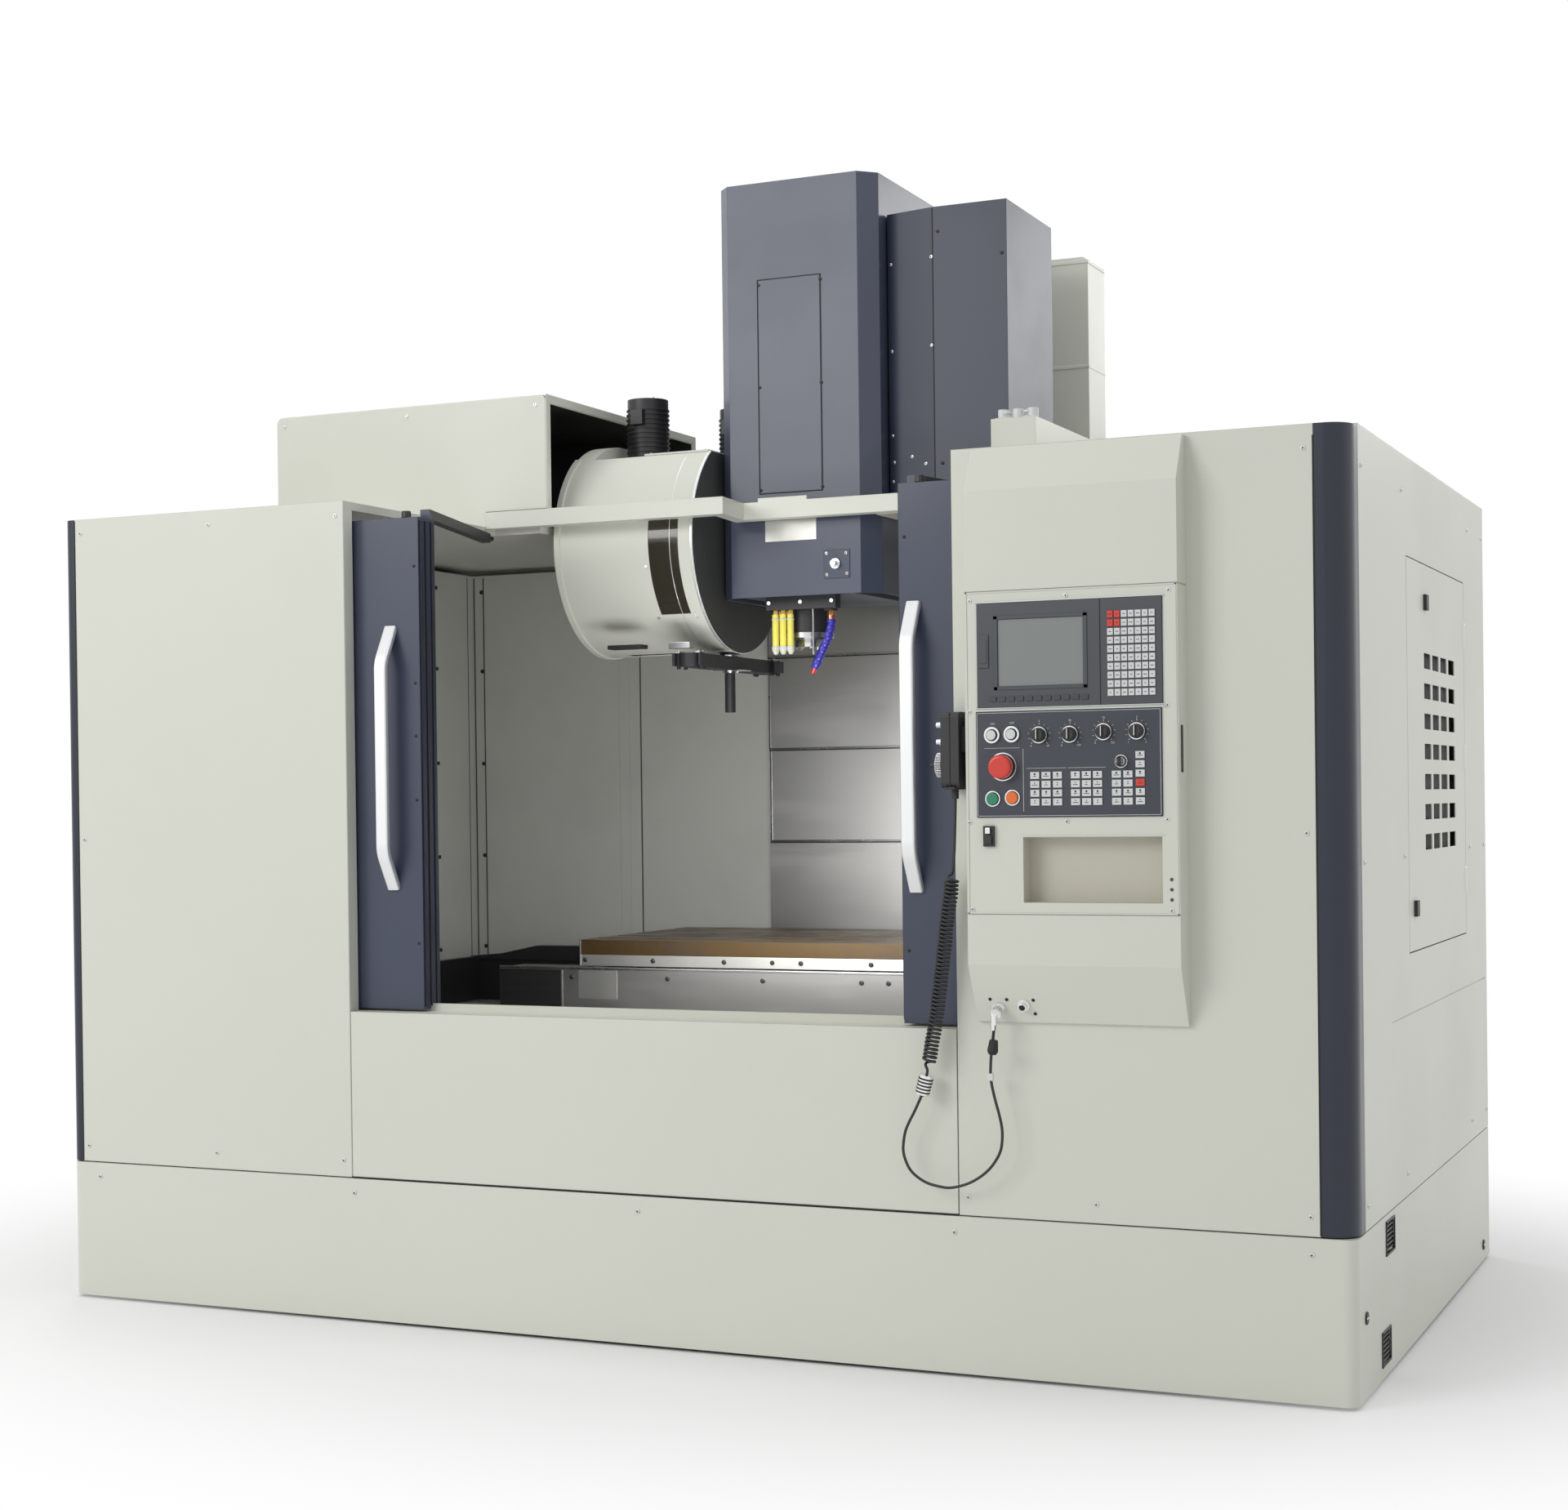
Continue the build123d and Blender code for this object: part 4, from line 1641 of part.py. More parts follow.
# Rotary selectors: round knobs with a pointer ridge
for index, (knob_x, knob_z) in enumerate(KNOB_CENTRES, start=1):
    with BuildPart() as selector:
        level_rod(knob_x, (unit_face - KNOB_SKIRT - 1, unit_face - 1), knob_z, KNOB_RADIUS)
        level_rod(knob_x, (unit_face - KNOB_PROUD, unit_face - KNOB_SKIRT), knob_z, KNOB_RADIUS - 5)
        fillet(edges().filter_by(GeomType.CIRCLE).group_by(Axis.Y)[0], 3)
        block(
            (knob_x - 2.5, knob_x + 2.5),
            (unit_face - KNOB_PROUD - 4, unit_face - KNOB_PROUD + 6),
            (knob_z - KNOB_RADIUS + 8, knob_z + KNOB_RADIUS - 6),
        )
        level_rod(knob_x, (unit_face - KNOB_SKIRT, unit_face + STEM_DEPTH), knob_z, STEM_RADIUS)
    save(selector.part, "selector_" + str(index))

# Cabinet door: the ventilated door of the electrical cabinet, with hinges and two latches
CABINET_GAP = 3
LOUVRE_COLUMNS = 4
LOUVRE_ROWS = 7
LOUVRE_DEPTHS = (935, 1450)
LOUVRE_HEIGHTS = (1210, 1755)
LOUVRE_SIZE = (100, 40)
CABINET_LATCHES = ((964, 1866), (785, 1086))
CABINET_LATCH_SIZE = (34, 40)
CABINET_LATCH_PROUD = 9
CABINET_FOLD = 18
with BuildPart() as cabinet_door:
    folded_box(
        (half_width - CABINET_FOLD, half_width),
        (CABINET_FRONT + CABINET_GAP, CABINET_REAR - CABINET_GAP),
        (CABINET_LOW + CABINET_GAP, CABINET_HIGH - CABINET_GAP),
        "-x",
    )
    for louvre_depth in evenly(LOUVRE_DEPTHS[0], LOUVRE_DEPTHS[1], LOUVRE_COLUMNS):
        for louvre_height in evenly(LOUVRE_HEIGHTS[0], LOUVRE_HEIGHTS[1], LOUVRE_ROWS):
            block(
                (half_width - SHEET - 1, half_width + 1),
                (louvre_depth - LOUVRE_SIZE[0] / 2, louvre_depth + LOUVRE_SIZE[0] / 2),
                (louvre_height - LOUVRE_SIZE[1] / 2, louvre_height + LOUVRE_SIZE[1] / 2),
                mode=Mode.SUBTRACT,
            )
    for latch_depth, latch_height in CABINET_LATCHES:
        block(
            (half_width - SHEET, half_width + CABINET_LATCH_PROUD),
            (latch_depth - CABINET_LATCH_SIZE[0] / 2, latch_depth + CABINET_LATCH_SIZE[0] / 2),
            (latch_height - CABINET_LATCH_SIZE[1] / 2, latch_height + CABINET_LATCH_SIZE[1] / 2),
        )
save(cabinet_door.part, "cabinet_door")

# Pendant: the hand-held controller on its hook at the box's left side, and its handwheel
PENDANT_X = (858, 903)
PENDANT_DEPTHS = (-82, -2)
PENDANT_HEIGHTS = (1402, 1580)
HOOK_DEPTHS = (-60, -24)
HOOK_HEIGHTS = (1490, 1540)
GLAND_X = 880
GLAND_DEPTH = -44
PENDANT_GLAND_RADIUS = 8
PENDANT_GLAND_LENGTH = 26
WHEEL_HEIGHT = 1456
WHEEL_RADIUS = 29
WHEEL_X = (838, 855)
WHEEL_HUB_RADIUS = 7
with BuildPart() as pendant:
    block(PENDANT_X, PENDANT_DEPTHS, PENDANT_HEIGHTS)
    fillet(edges().filter_by(Axis.X), 12)
    block((PENDANT_X[1] - 2, BOX_LEFT), HOOK_DEPTHS, HOOK_HEIGHTS)
    upright_rod(
        GLAND_X,
        GLAND_DEPTH,
        PENDANT_GLAND_RADIUS,
        (PENDANT_HEIGHTS[0] - PENDANT_GLAND_LENGTH, PENDANT_HEIGHTS[0]),
    )
    cross_rod(
        (PENDANT_X[0] - 1, PENDANT_X[0] + 20),
        sum(PENDANT_DEPTHS) / 2,
        WHEEL_HEIGHT,
        WHEEL_HUB_RADIUS + BUTTON_FIT,
        mode=Mode.SUBTRACT,
    )
save(pendant.part, "pendant")

with BuildPart() as handwheel:
    cross_rod(WHEEL_X, sum(PENDANT_DEPTHS) / 2, WHEEL_HEIGHT, WHEEL_RADIUS)
    fillet(edges().filter_by(GeomType.CIRCLE).group_by(Axis.X)[0], 4)
    cross_rod(
        (WHEEL_X[0] - 14, WHEEL_X[0] + 1), sum(PENDANT_DEPTHS) / 2 - 17, WHEEL_HEIGHT, 5
    )
    cross_rod((WHEEL_X[1] - 1, PENDANT_X[0] + 16), sum(PENDANT_DEPTHS) / 2, WHEEL_HEIGHT, WHEEL_HUB_RADIUS)
save(handwheel.part, "handwheel")

# Curly cord: a straight tail below the pendant and one fat tube of the coils' outer diameter
CORD_RADIUS = 3.5
COIL_RADIUS = 19
gland_bottom = PENDANT_HEIGHTS[0] - PENDANT_GLAND_LENGTH
CORD_TAIL = ((GLAND_X, -44, gland_bottom), (878, -44, 1322), (877, -45, 1270), (873, -46, 1218))
COIL_ROUTE = (
    (873, -46, 1218),
    (866, -47, 1150),
    (855, -46, 1080),
    (846, -45, 1005),
    (836, -45, 930),
    (826, -46, 858),
    (813, -47, 788),
    (800, -46, 722),
)
SLEEVE_END = (788, -46, 676)
LEAD_ROUTE = (
    (788, -46, 676),
    (768, -46, 634),
    (744, -46, 588),
    (737, -46, 538),
    (756, -46, 492),
    (800, -46, 464),
    (852, -47, 456),
    (908, -48, 472),
    (956, -50, 506),
    (986, -52, 552),
    (990, -54, 606),
    (976, -56, 664),
    (964, -58, 722),
    (967, -59, 780),
    (974, -60, 834),
)


def corner_radii(route):
    """The largest arc at each corner that its two runs allow."""
    radii = []
    for before, corner, after in zip(route, route[1:], route[2:]):
        into = Vector(*corner) - Vector(*before)
        out = Vector(*after) - Vector(*corner)
        half_turn = math.radians(into.get_angle(out)) / 2
        radii.append(0.45 * min(into.length, out.length) / math.tan(half_turn))
    return radii


def in_place(route):
    return [(x, back(depth), z) for x, depth, z in route]


def tube(route, radius):
    """A round tube of straight runs and tangent arcs along a route."""
    points = in_place(route)
    radii = corner_radii(points)
    with BuildLine() as path:
        FilletPolyline(*points, radius=radii)
    start = Plane(origin=points[0], z_dir=Vector(*points[1]) - Vector(*points[0]))
    with BuildSketch(start) as section:
        Circle(radius)
    with BuildPart() as solid:
        sweep(sections=section.sketch, path=path.wires()[0])
    length = path.wires()[0].length
    print("radii", [round(value) for value in radii], "length", round(length))
    print("volume ratio", round(solid.part.volume / (math.pi * radius**2 * length), 4))
    return solid.part


curly_tail = tube(CORD_TAIL, CORD_RADIUS)
curly_coils = tube(COIL_ROUTE, COIL_RADIUS)
curly_cord = Compound(children=[curly_tail.solid(), curly_coils.solid()])
save(curly_cord, "curly_cord")

pendant_lead = tube(LEAD_ROUTE, CORD_RADIUS)
save(pendant_lead, "pendant_lead")

# Cord fittings: the sleeve at the coils' end and the metal plug on the control box's foot
PLUG_X = 978
PLUG_HEIGHT = 884
PLUG_RADIUS = 12
PLUG_FLANGE_RADIUS = 17
PLUG_LENGTH = 34
RELIEF_RADIUS = 7
slope_run = BOX_PROUD - FOOT_PROUD
slope_rise = BOX_SLOPE_BOTTOM - BOX_BOTTOM
plug_depth = -FOOT_PROUD - slope_run * (PLUG_HEIGHT - BOX_BOTTOM) / slope_rise
slope_normal = Vector(0, -slope_rise, -slope_run).normalized()
sleeve_points = in_place([COIL_ROUTE[-1], SLEEVE_END])
sleeve_direction = Vector(*sleeve_points[1]) - Vector(*sleeve_points[0])
relief_top = LEAD_ROUTE[-1]
with BuildPart() as cord_fittings:
    with BuildSketch(Plane(origin=sleeve_points[0], z_dir=sleeve_direction)):
        Circle(COIL_RADIUS - 2)
    extrude(amount=sleeve_direction.length)
    with BuildSketch(Plane(origin=(PLUG_X, back(plug_depth), PLUG_HEIGHT), z_dir=slope_normal)):
        Circle(PLUG_FLANGE_RADIUS)
    extrude(amount=5)
    with BuildSketch(Plane(origin=(PLUG_X, back(plug_depth), PLUG_HEIGHT), z_dir=slope_normal)):
        Circle(PLUG_RADIUS)
    extrude(amount=PLUG_LENGTH)
    upright_rod(relief_top[0], relief_top[1], RELIEF_RADIUS, (relief_top[2], PLUG_HEIGHT - 14))
save(cord_fittings.part, "cord_fittings")
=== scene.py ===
# %% [markdown]
# # A vertical machining centre in Blender
# A machining centre cuts metal with a spindle that moves up and down over a table that moves
# left, right, to and fro. Sheet-metal covers keep chips and coolant in, and sliding doors let
# the operator reach the table. The measured model is loaded first and stays as it is. The
# cells after it give every surface its finish and add the pieces that are too fine for it,
# such as screws, key caps, hose segments and the coils of a cord.

import bmesh
import bpy
import json
import math
from mathutils import Matrix, Vector


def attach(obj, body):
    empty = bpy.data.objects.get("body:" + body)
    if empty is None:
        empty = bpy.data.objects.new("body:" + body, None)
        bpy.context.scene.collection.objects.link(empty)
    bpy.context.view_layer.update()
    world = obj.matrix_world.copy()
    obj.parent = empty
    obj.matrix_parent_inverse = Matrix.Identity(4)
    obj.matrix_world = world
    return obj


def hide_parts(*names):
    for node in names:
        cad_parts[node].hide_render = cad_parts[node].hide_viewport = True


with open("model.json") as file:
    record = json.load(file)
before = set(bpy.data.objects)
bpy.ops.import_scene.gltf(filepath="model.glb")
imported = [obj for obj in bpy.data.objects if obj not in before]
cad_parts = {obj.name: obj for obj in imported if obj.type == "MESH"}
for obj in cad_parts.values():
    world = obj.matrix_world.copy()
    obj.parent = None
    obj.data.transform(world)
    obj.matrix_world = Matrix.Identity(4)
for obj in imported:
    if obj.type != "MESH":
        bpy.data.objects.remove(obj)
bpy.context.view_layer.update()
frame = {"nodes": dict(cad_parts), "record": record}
nodes = frame["nodes"]

# %% [markdown]
# ## Where things are
# Every number in the next cells is in millimetres: across from the middle, behind the front
# panels, and above the floor. One helper turns that into a point in metres, so each piece can
# be placed with the sizes that a drawing of the machine would give.

# %% Places in millimetres
MM = 0.001
FRONT = -1.185


def at(x, depth, z):
    """A point from millimetres across, behind the front panels and above the floor."""
    return Vector((x * MM, FRONT + depth * MM, z * MM))


UP = Vector((0, 0, 1))
AHEAD = Vector((0, -1, 0))
RIGHT = Vector((1, 0, 0))

# %% [markdown]
# ## The camera
# The photographer stood to the right of the machine at about eye height and used a normal
# lens. The sensor is shifted a little, because the picture was framed with more of the
# machine above the lens than below it.

# %% Camera
EYE = Vector((2.8669, -6.6367, 1.3818))
YAW, PITCH, ROLL = 0.4224, -0.0087, -0.0125
aim = Vector((-math.sin(YAW) * math.cos(PITCH), math.cos(YAW) * math.cos(PITCH), math.sin(PITCH)))
level_right = aim.cross(UP).normalized()
level_up = level_right.cross(aim)
tilted_right = math.cos(ROLL) * level_right + math.sin(ROLL) * level_up
tilted_up = math.cos(ROLL) * level_up - math.sin(ROLL) * level_right
camera_data = bpy.data.cameras.new("camera")
camera_data.lens = 55.99
camera_data.sensor_width = 36
camera_data.shift_y = 0.0413
camera = bpy.data.objects.new("camera", camera_data)
bpy.context.scene.collection.objects.link(camera)
camera.matrix_world = Matrix.Translation(EYE) @ Matrix(
    (
        (tilted_right.x, tilted_up.x, -aim.x, 0),
        (tilted_right.y, tilted_up.y, -aim.y, 0),
        (tilted_right.z, tilted_up.z, -aim.z, 0),
        (0, 0, 0, 1),
    )
)
bpy.context.scene.camera = camera
print("camera at", tuple(round(value, 3) for value in EYE))

# %% [markdown]
# ## Light and floor
# Catalogue pictures of machines are lit with large soft boxes from both sides and from above,
# so that painted sheet shows no hard shadow. The floor is a pale sheet that turns white away
# from the machine and keeps its soft shadow close to it.

# %% World, lamps and floor
scene = bpy.context.scene
scene.view_settings.view_transform = "Standard"
AMBIENT = 0.52


def linked(tree, source, target):
    tree.links.new(source, target)


def seen_directly(tree, x=-600, y=0, mirrors=True):
    """A factor that is 1 for camera and see-through rays, and for mirror rays if asked."""
    path = tree.nodes.new("ShaderNodeLightPath")
    first = tree.nodes.new("ShaderNodeMath")
    second = tree.nodes.new("ShaderNodeMath")
    for step, node in enumerate((path, first, second)):
        node.location = (x + 180 * step, y)
    first.operation = second.operation = "MAXIMUM"
    linked(tree, path.outputs["Is Camera Ray"], first.inputs[0])
    if mirrors:
        linked(tree, path.outputs["Is Glossy Ray"], first.inputs[1])
    linked(tree, first.outputs[0], second.inputs[0])
    linked(tree, path.outputs["Is Transmission Ray"], second.inputs[1])
    return second.outputs[0]


world = bpy.data.worlds.new("studio")
scene.world = world
world.use_nodes = True
world_tree = world.node_tree
world_tree.nodes.clear()
soft = world_tree.nodes.new("ShaderNodeBackground")
soft.inputs["Color"].default_value = (0.98, 0.99, 1.0, 1)
soft.inputs["Strength"].default_value = AMBIENT
white = world_tree.nodes.new("ShaderNodeBackground")
white.inputs["Color"].default_value = (1, 1, 1, 1)
white.inputs["Strength"].default_value = 1.0
either = world_tree.nodes.new("ShaderNodeMixShader")
world_out = world_tree.nodes.new("ShaderNodeOutputWorld")
linked(world_tree, seen_directly(world_tree), either.inputs[0])
linked(world_tree, soft.outputs[0], either.inputs[1])
linked(world_tree, white.outputs[0], either.inputs[2])
linked(world_tree, either.outputs[0], world_out.inputs[0])


def soft_box(name, place, target, width, height, power, colour=(1, 1, 1)):
    light = bpy.data.lights.new(name, "AREA")
    light.shape = "RECTANGLE"
    light.size, light.size_y = width, height
    light.energy = power
    light.color = colour
    lamp = bpy.data.objects.new(name, light)
    scene.collection.objects.link(lamp)
    lamp.location = place
    lamp.rotation_euler = (Vector(target) - Vector(place)).to_track_quat("-Z", "Y").to_euler()
    return lamp


soft_box("front_light", (-3.8, -7.7, 4.6), (0.2, -0.6, 1.1), 4.3, 3.2, 222, (1, 1, 0.98))
soft_box("side_light", (7.0, 0.6, 5.2), (1.2, 0.2, 1.6), 2.6, 2.6, 38, (0.98, 0.99, 1))
soft_box("rear_right_light", (2.7, 5.4, 3.95), (0.8, 0.0, 3.2), 2.6, 1.4, 34)
soft_box("top_light", (0.1, -0.5, 6.2), (0, -0.1, 1.0), 3.0, 2.0, 60)
soft_box("back_light", (-5.5, 5.5, 4.5), (0, 0.4, 1.5), 3.5, 3.0, 120)
soft_box("cabin_light", (0.25, -0.93, 1.22), (-0.05, 0.6, 1.12), 0.9, 0.42, 11)

floor_mesh = bpy.data.meshes.new("floor")
REACH = 40
floor_mesh.from_pydata(
    [(-REACH, -REACH, 0), (REACH, -REACH, 0), (REACH, REACH, 0), (-REACH, REACH, 0)], [], [(0, 1, 2, 3)]
)
floor = bpy.data.objects.new("floor", floor_mesh)
scene.collection.objects.link(floor)
floor_paint = bpy.data.materials.new("floor_sheet")
floor_paint.use_nodes = True
tree = floor_paint.node_tree
tree.nodes.clear()
matt = tree.nodes.new("ShaderNodeBsdfDiffuse")
matt.inputs["Color"].default_value = (0.93, 0.93, 0.93, 1)
glow = tree.nodes.new("ShaderNodeEmission")
place = tree.nodes.new("ShaderNodeTexCoord")
squeeze = tree.nodes.new("ShaderNodeVectorMath")
squeeze.operation = "MULTIPLY"
squeeze.inputs[1].default_value = (0.8, 1.0, 1.0)
length = tree.nodes.new("ShaderNodeVectorMath")
length.operation = "LENGTH"
fade = tree.nodes.new("ShaderNodeMapRange")
fade.interpolation_type = "SMOOTHSTEP"
fade.inputs["From Min"].default_value = 1.2
fade.inputs["From Max"].default_value = 2.9
both = tree.nodes.new("ShaderNodeMath")
both.operation = "MULTIPLY"
mix = tree.nodes.new("ShaderNodeMixShader")
out = tree.nodes.new("ShaderNodeOutputMaterial")
linked(tree, place.outputs["Object"], squeeze.inputs[0])
linked(tree, squeeze.outputs[0], length.inputs[0])
linked(tree, length.outputs["Value"], fade.inputs["Value"])
linked(tree, fade.outputs["Result"], both.inputs[0])
linked(tree, seen_directly(tree, -900, -300), both.inputs[1])
linked(tree, both.outputs[0], mix.inputs[0])
linked(tree, matt.outputs[0], mix.inputs[1])
linked(tree, glow.outputs[0], mix.inputs[2])
linked(tree, mix.outputs[0], out.inputs[0])
floor_mesh.materials.append(floor_paint)

# %% [markdown]
# ## Surface effects that many finishes share
# Sprayed powder paint isn't flat: it pulls tight round an edge and leaves a fine orange-peel
# texture. Brushed steel has short scratches in one direction. Everything that stands in a
# workshop gathers a little dust on top. Each of these is built once here and used by all the
# finishes, which keeps them alike all over the machine.

# %% Shared surface groups


def new_group(name, inputs, outputs):
    group = bpy.data.node_groups.new(name, "ShaderNodeTree")
    for label, kind, value in inputs:
        socket = group.interface.new_socket(name=label, in_out="INPUT", socket_type=kind)
        if value is not None:
            socket.default_value = value
    for label, kind in outputs:
        group.interface.new_socket(name=label, in_out="OUTPUT", socket_type=kind)
    return group, group.nodes.new("NodeGroupInput"), group.nodes.new("NodeGroupOutput")


def node(tree, kind, **settings):
    made = tree.nodes.new(kind)
    for name, value in settings.items():
        setattr(made, name, value)
    return made


FLOAT, VECTOR = "NodeSocketFloat", "NodeSocketVector"

# Fine relief on a softened edge
relief, into, outof = new_group(
    "fine_relief",
    (("Scale", FLOAT, 500), ("Strength", FLOAT, 0.05), ("Edge", FLOAT, 0.0015),
     ("Stretch", VECTOR, (1, 1, 1))),
    (("Normal", VECTOR), ("Height", FLOAT)),
)
coords = node(relief, "ShaderNodeTexCoord")
stretch = node(relief, "ShaderNodeVectorMath", operation="MULTIPLY")
grain = node(relief, "ShaderNodeTexNoise")
grain.inputs["Detail"].default_value = 2
edge = node(relief, "ShaderNodeBevel", samples=4)
bump = node(relief, "ShaderNodeBump")
bump.inputs["Distance"].default_value = 0.001
linked(relief, coords.outputs["Object"], stretch.inputs[0])
linked(relief, into.outputs["Stretch"], stretch.inputs[1])
linked(relief, stretch.outputs[0], grain.inputs["Vector"])
linked(relief, into.outputs["Scale"], grain.inputs["Scale"])
linked(relief, into.outputs["Edge"], edge.inputs["Radius"])
linked(relief, into.outputs["Strength"], bump.inputs["Strength"])
linked(relief, grain.outputs["Fac"], bump.inputs["Height"])
linked(relief, edge.outputs[0], bump.inputs["Normal"])
linked(relief, bump.outputs[0], outof.inputs["Normal"])
linked(relief, grain.outputs["Fac"], outof.inputs["Height"])

# Cloudy marks: a soft mask that is mostly 0
marks, into, outof = new_group(
    "cloudy_marks",
    (("Scale", FLOAT, 3), ("Low", FLOAT, 0.45), ("High", FLOAT, 0.75), ("Stretch", VECTOR, (1, 1, 1))),
    (("Mask", FLOAT),),
)
coords = node(marks, "ShaderNodeTexCoord")
stretch = node(marks, "ShaderNodeVectorMath", operation="MULTIPLY")
cloud = node(marks, "ShaderNodeTexNoise")
cloud.inputs["Detail"].default_value = 6
cloud.inputs["Roughness"].default_value = 0.62
span = node(marks, "ShaderNodeMapRange")
linked(marks, coords.outputs["Object"], stretch.inputs[0])
linked(marks, into.outputs["Stretch"], stretch.inputs[1])
linked(marks, stretch.outputs[0], cloud.inputs["Vector"])
linked(marks, into.outputs["Scale"], cloud.inputs["Scale"])
linked(marks, cloud.outputs["Fac"], span.inputs["Value"])
linked(marks, into.outputs["Low"], span.inputs["From Min"])
linked(marks, into.outputs["High"], span.inputs["From Max"])
linked(marks, span.outputs["Result"], outof.inputs["Mask"])

# Dust: lies on what faces up, in an uneven film
dust, into, outof = new_group("settled_dust", (("Amount", FLOAT, 0.3),), (("Mask", FLOAT),))
facing = node(dust, "ShaderNodeNewGeometry")
split = node(dust, "ShaderNodeSeparateXYZ")
slope = node(dust, "ShaderNodeMapRange")
slope.inputs["From Min"].default_value = 0.55
slope.inputs["From Max"].default_value = 0.98
patch = node(dust, "ShaderNodeTexNoise")
patch.inputs["Scale"].default_value = 9
patch.inputs["Detail"].default_value = 7
coords = node(dust, "ShaderNodeTexCoord")
uneven = node(dust, "ShaderNodeMath", operation="MULTIPLY")
scaled = node(dust, "ShaderNodeMath", operation="MULTIPLY")
linked(dust, coords.outputs["Object"], patch.inputs["Vector"])
linked(dust, facing.outputs["Normal"], split.inputs[0])
linked(dust, split.outputs["Z"], slope.inputs["Value"])
linked(dust, slope.outputs["Result"], uneven.inputs[0])
linked(dust, patch.outputs["Fac"], uneven.inputs[1])
linked(dust, uneven.outputs[0], scaled.inputs[0])
linked(dust, into.outputs["Amount"], scaled.inputs[1])
linked(dust, scaled.outputs[0], outof.inputs["Mask"])
print("shared groups", len(bpy.data.node_groups))

# %% [markdown]
# ## Finishes
# A finish is a base colour, a second colour that its marks and dust bring in, a gloss that
# the marks make uneven, and a relief. One recipe covers paint, plastic and metal, and the
# numbers tell them apart: metals reflect with their own colour, glossy plastic is smooth and
# powder paint is rougher with a thin clear layer.

# %% The recipe for a finish
finishes = {}
DUST = (0.42, 0.40, 0.36)


def finish(
    name,
    colour,
    rough=0.4,
    metal=0.0,
    coat=0.0,
    relief_scale=500,
    relief_strength=0.04,
    edge=0.0015,
    stretch=(1, 1, 1),
    marks_colour=None,
    marks_scale=3.0,
    marks_span=(0.45, 0.8),
    marks_amount=0.35,
    marks_rough=0.12,
    dusty=0.12,
    aniso=0.0,
):
    """A procedural finish with relief, cloudy marks and dust."""
    made = bpy.data.materials.new(name)
    made.use_nodes = True
    tree = made.node_tree
    shader = tree.nodes["Principled BSDF"]
    shader.inputs["Metallic"].default_value = metal
    shader.inputs["Coat Weight"].default_value = coat
    shader.inputs["Coat Roughness"].default_value = 0.12
    shader.inputs["Anisotropic"].default_value = aniso
    surface = node(tree, "ShaderNodeGroup", node_tree=relief)
    surface.inputs["Scale"].default_value = relief_scale
    surface.inputs["Strength"].default_value = relief_strength
    surface.inputs["Edge"].default_value = edge
    surface.inputs["Stretch"].default_value = stretch
    worn = node(tree, "ShaderNodeGroup", node_tree=marks)
    worn.inputs["Scale"].default_value = marks_scale
    worn.inputs["Low"].default_value = marks_span[0]
    worn.inputs["High"].default_value = marks_span[1]
    worn.inputs["Stretch"].default_value = stretch
    film = node(tree, "ShaderNodeGroup", node_tree=dust)
    film.inputs["Amount"].default_value = dusty
    share = node(tree, "ShaderNodeMath", operation="MULTIPLY")
    share.inputs[1].default_value = marks_amount
    tint = node(tree, "ShaderNodeMix", data_type="RGBA")
    tint.inputs["A"].default_value = (*colour, 1)
    second = marks_colour or tuple(value * 0.86 for value in colour)
    tint.inputs["B"].default_value = (*second, 1)
    topped = node(tree, "ShaderNodeMix", data_type="RGBA")
    topped.inputs["B"].default_value = (*DUST, 1)
    gloss = node(tree, "ShaderNodeMath", operation="MULTIPLY_ADD")
    gloss.inputs[1].default_value = marks_rough
    gloss.inputs[2].default_value = rough
    linked(tree, worn.outputs["Mask"], share.inputs[0])
    linked(tree, share.outputs[0], tint.inputs["Factor"])
    linked(tree, tint.outputs["Result"], topped.inputs["A"])
    linked(tree, film.outputs["Mask"], topped.inputs["Factor"])
    linked(tree, topped.outputs["Result"], shader.inputs["Base Color"])
    linked(tree, worn.outputs["Mask"], gloss.inputs[0])
    linked(tree, gloss.outputs[0], shader.inputs["Roughness"])
    linked(tree, surface.outputs["Normal"], shader.inputs["Normal"])
    finishes[name] = made
    return made


finish("cream_paint", (0.705, 0.715, 0.635), 0.42, coat=0.12, relief_scale=420, relief_strength=0.05,
       edge=0.0025, marks_colour=(0.66, 0.66, 0.59), marks_scale=1.3, marks_amount=0.4, dusty=0.10)
finish("roof_paint", (0.70, 0.70, 0.64), 0.5, relief_scale=420, relief_strength=0.05, edge=0.002,
       marks_colour=(0.6, 0.6, 0.55), marks_scale=2.0, dusty=0.3)
finish("slate_paint", (0.036, 0.046, 0.084), 0.38, coat=0.2, relief_scale=380, relief_strength=0.08,
       edge=0.003, marks_colour=(0.046, 0.057, 0.098), marks_scale=1.6, marks_amount=0.5, dusty=0.12)
# The same slate paint twice more: lighter for the head cover as painted light, darker for the side cover as
# painted shade.
finish("lit_slate_paint", (0.052, 0.062, 0.102), 0.36, coat=0.2, relief_scale=380, relief_strength=0.08,
       edge=0.003, marks_colour=(0.062, 0.073, 0.116), marks_scale=1.6, marks_amount=0.5, dusty=0.12)
finish("shaded_slate_paint", (0.022, 0.029, 0.056), 0.42, coat=0.08, relief_scale=380, relief_strength=0.08,
       edge=0.003, marks_colour=(0.030, 0.038, 0.068), marks_scale=1.6, marks_amount=0.5, dusty=0.12)
finish("dark_steel", (0.075, 0.076, 0.078), 0.30, metal=0.7, relief_scale=60, relief_strength=0.08,
       edge=0.0012, stretch=(0.25, 1, 22), marks_colour=(0.03, 0.03, 0.03), marks_scale=2.0, dusty=0.05)
finish("post_paint", (0.009, 0.013, 0.030), 0.34, coat=0.12, relief_scale=260, relief_strength=0.35,
       edge=0.003, marks_colour=(0.02, 0.026, 0.052), marks_scale=2.4, dusty=0.08)
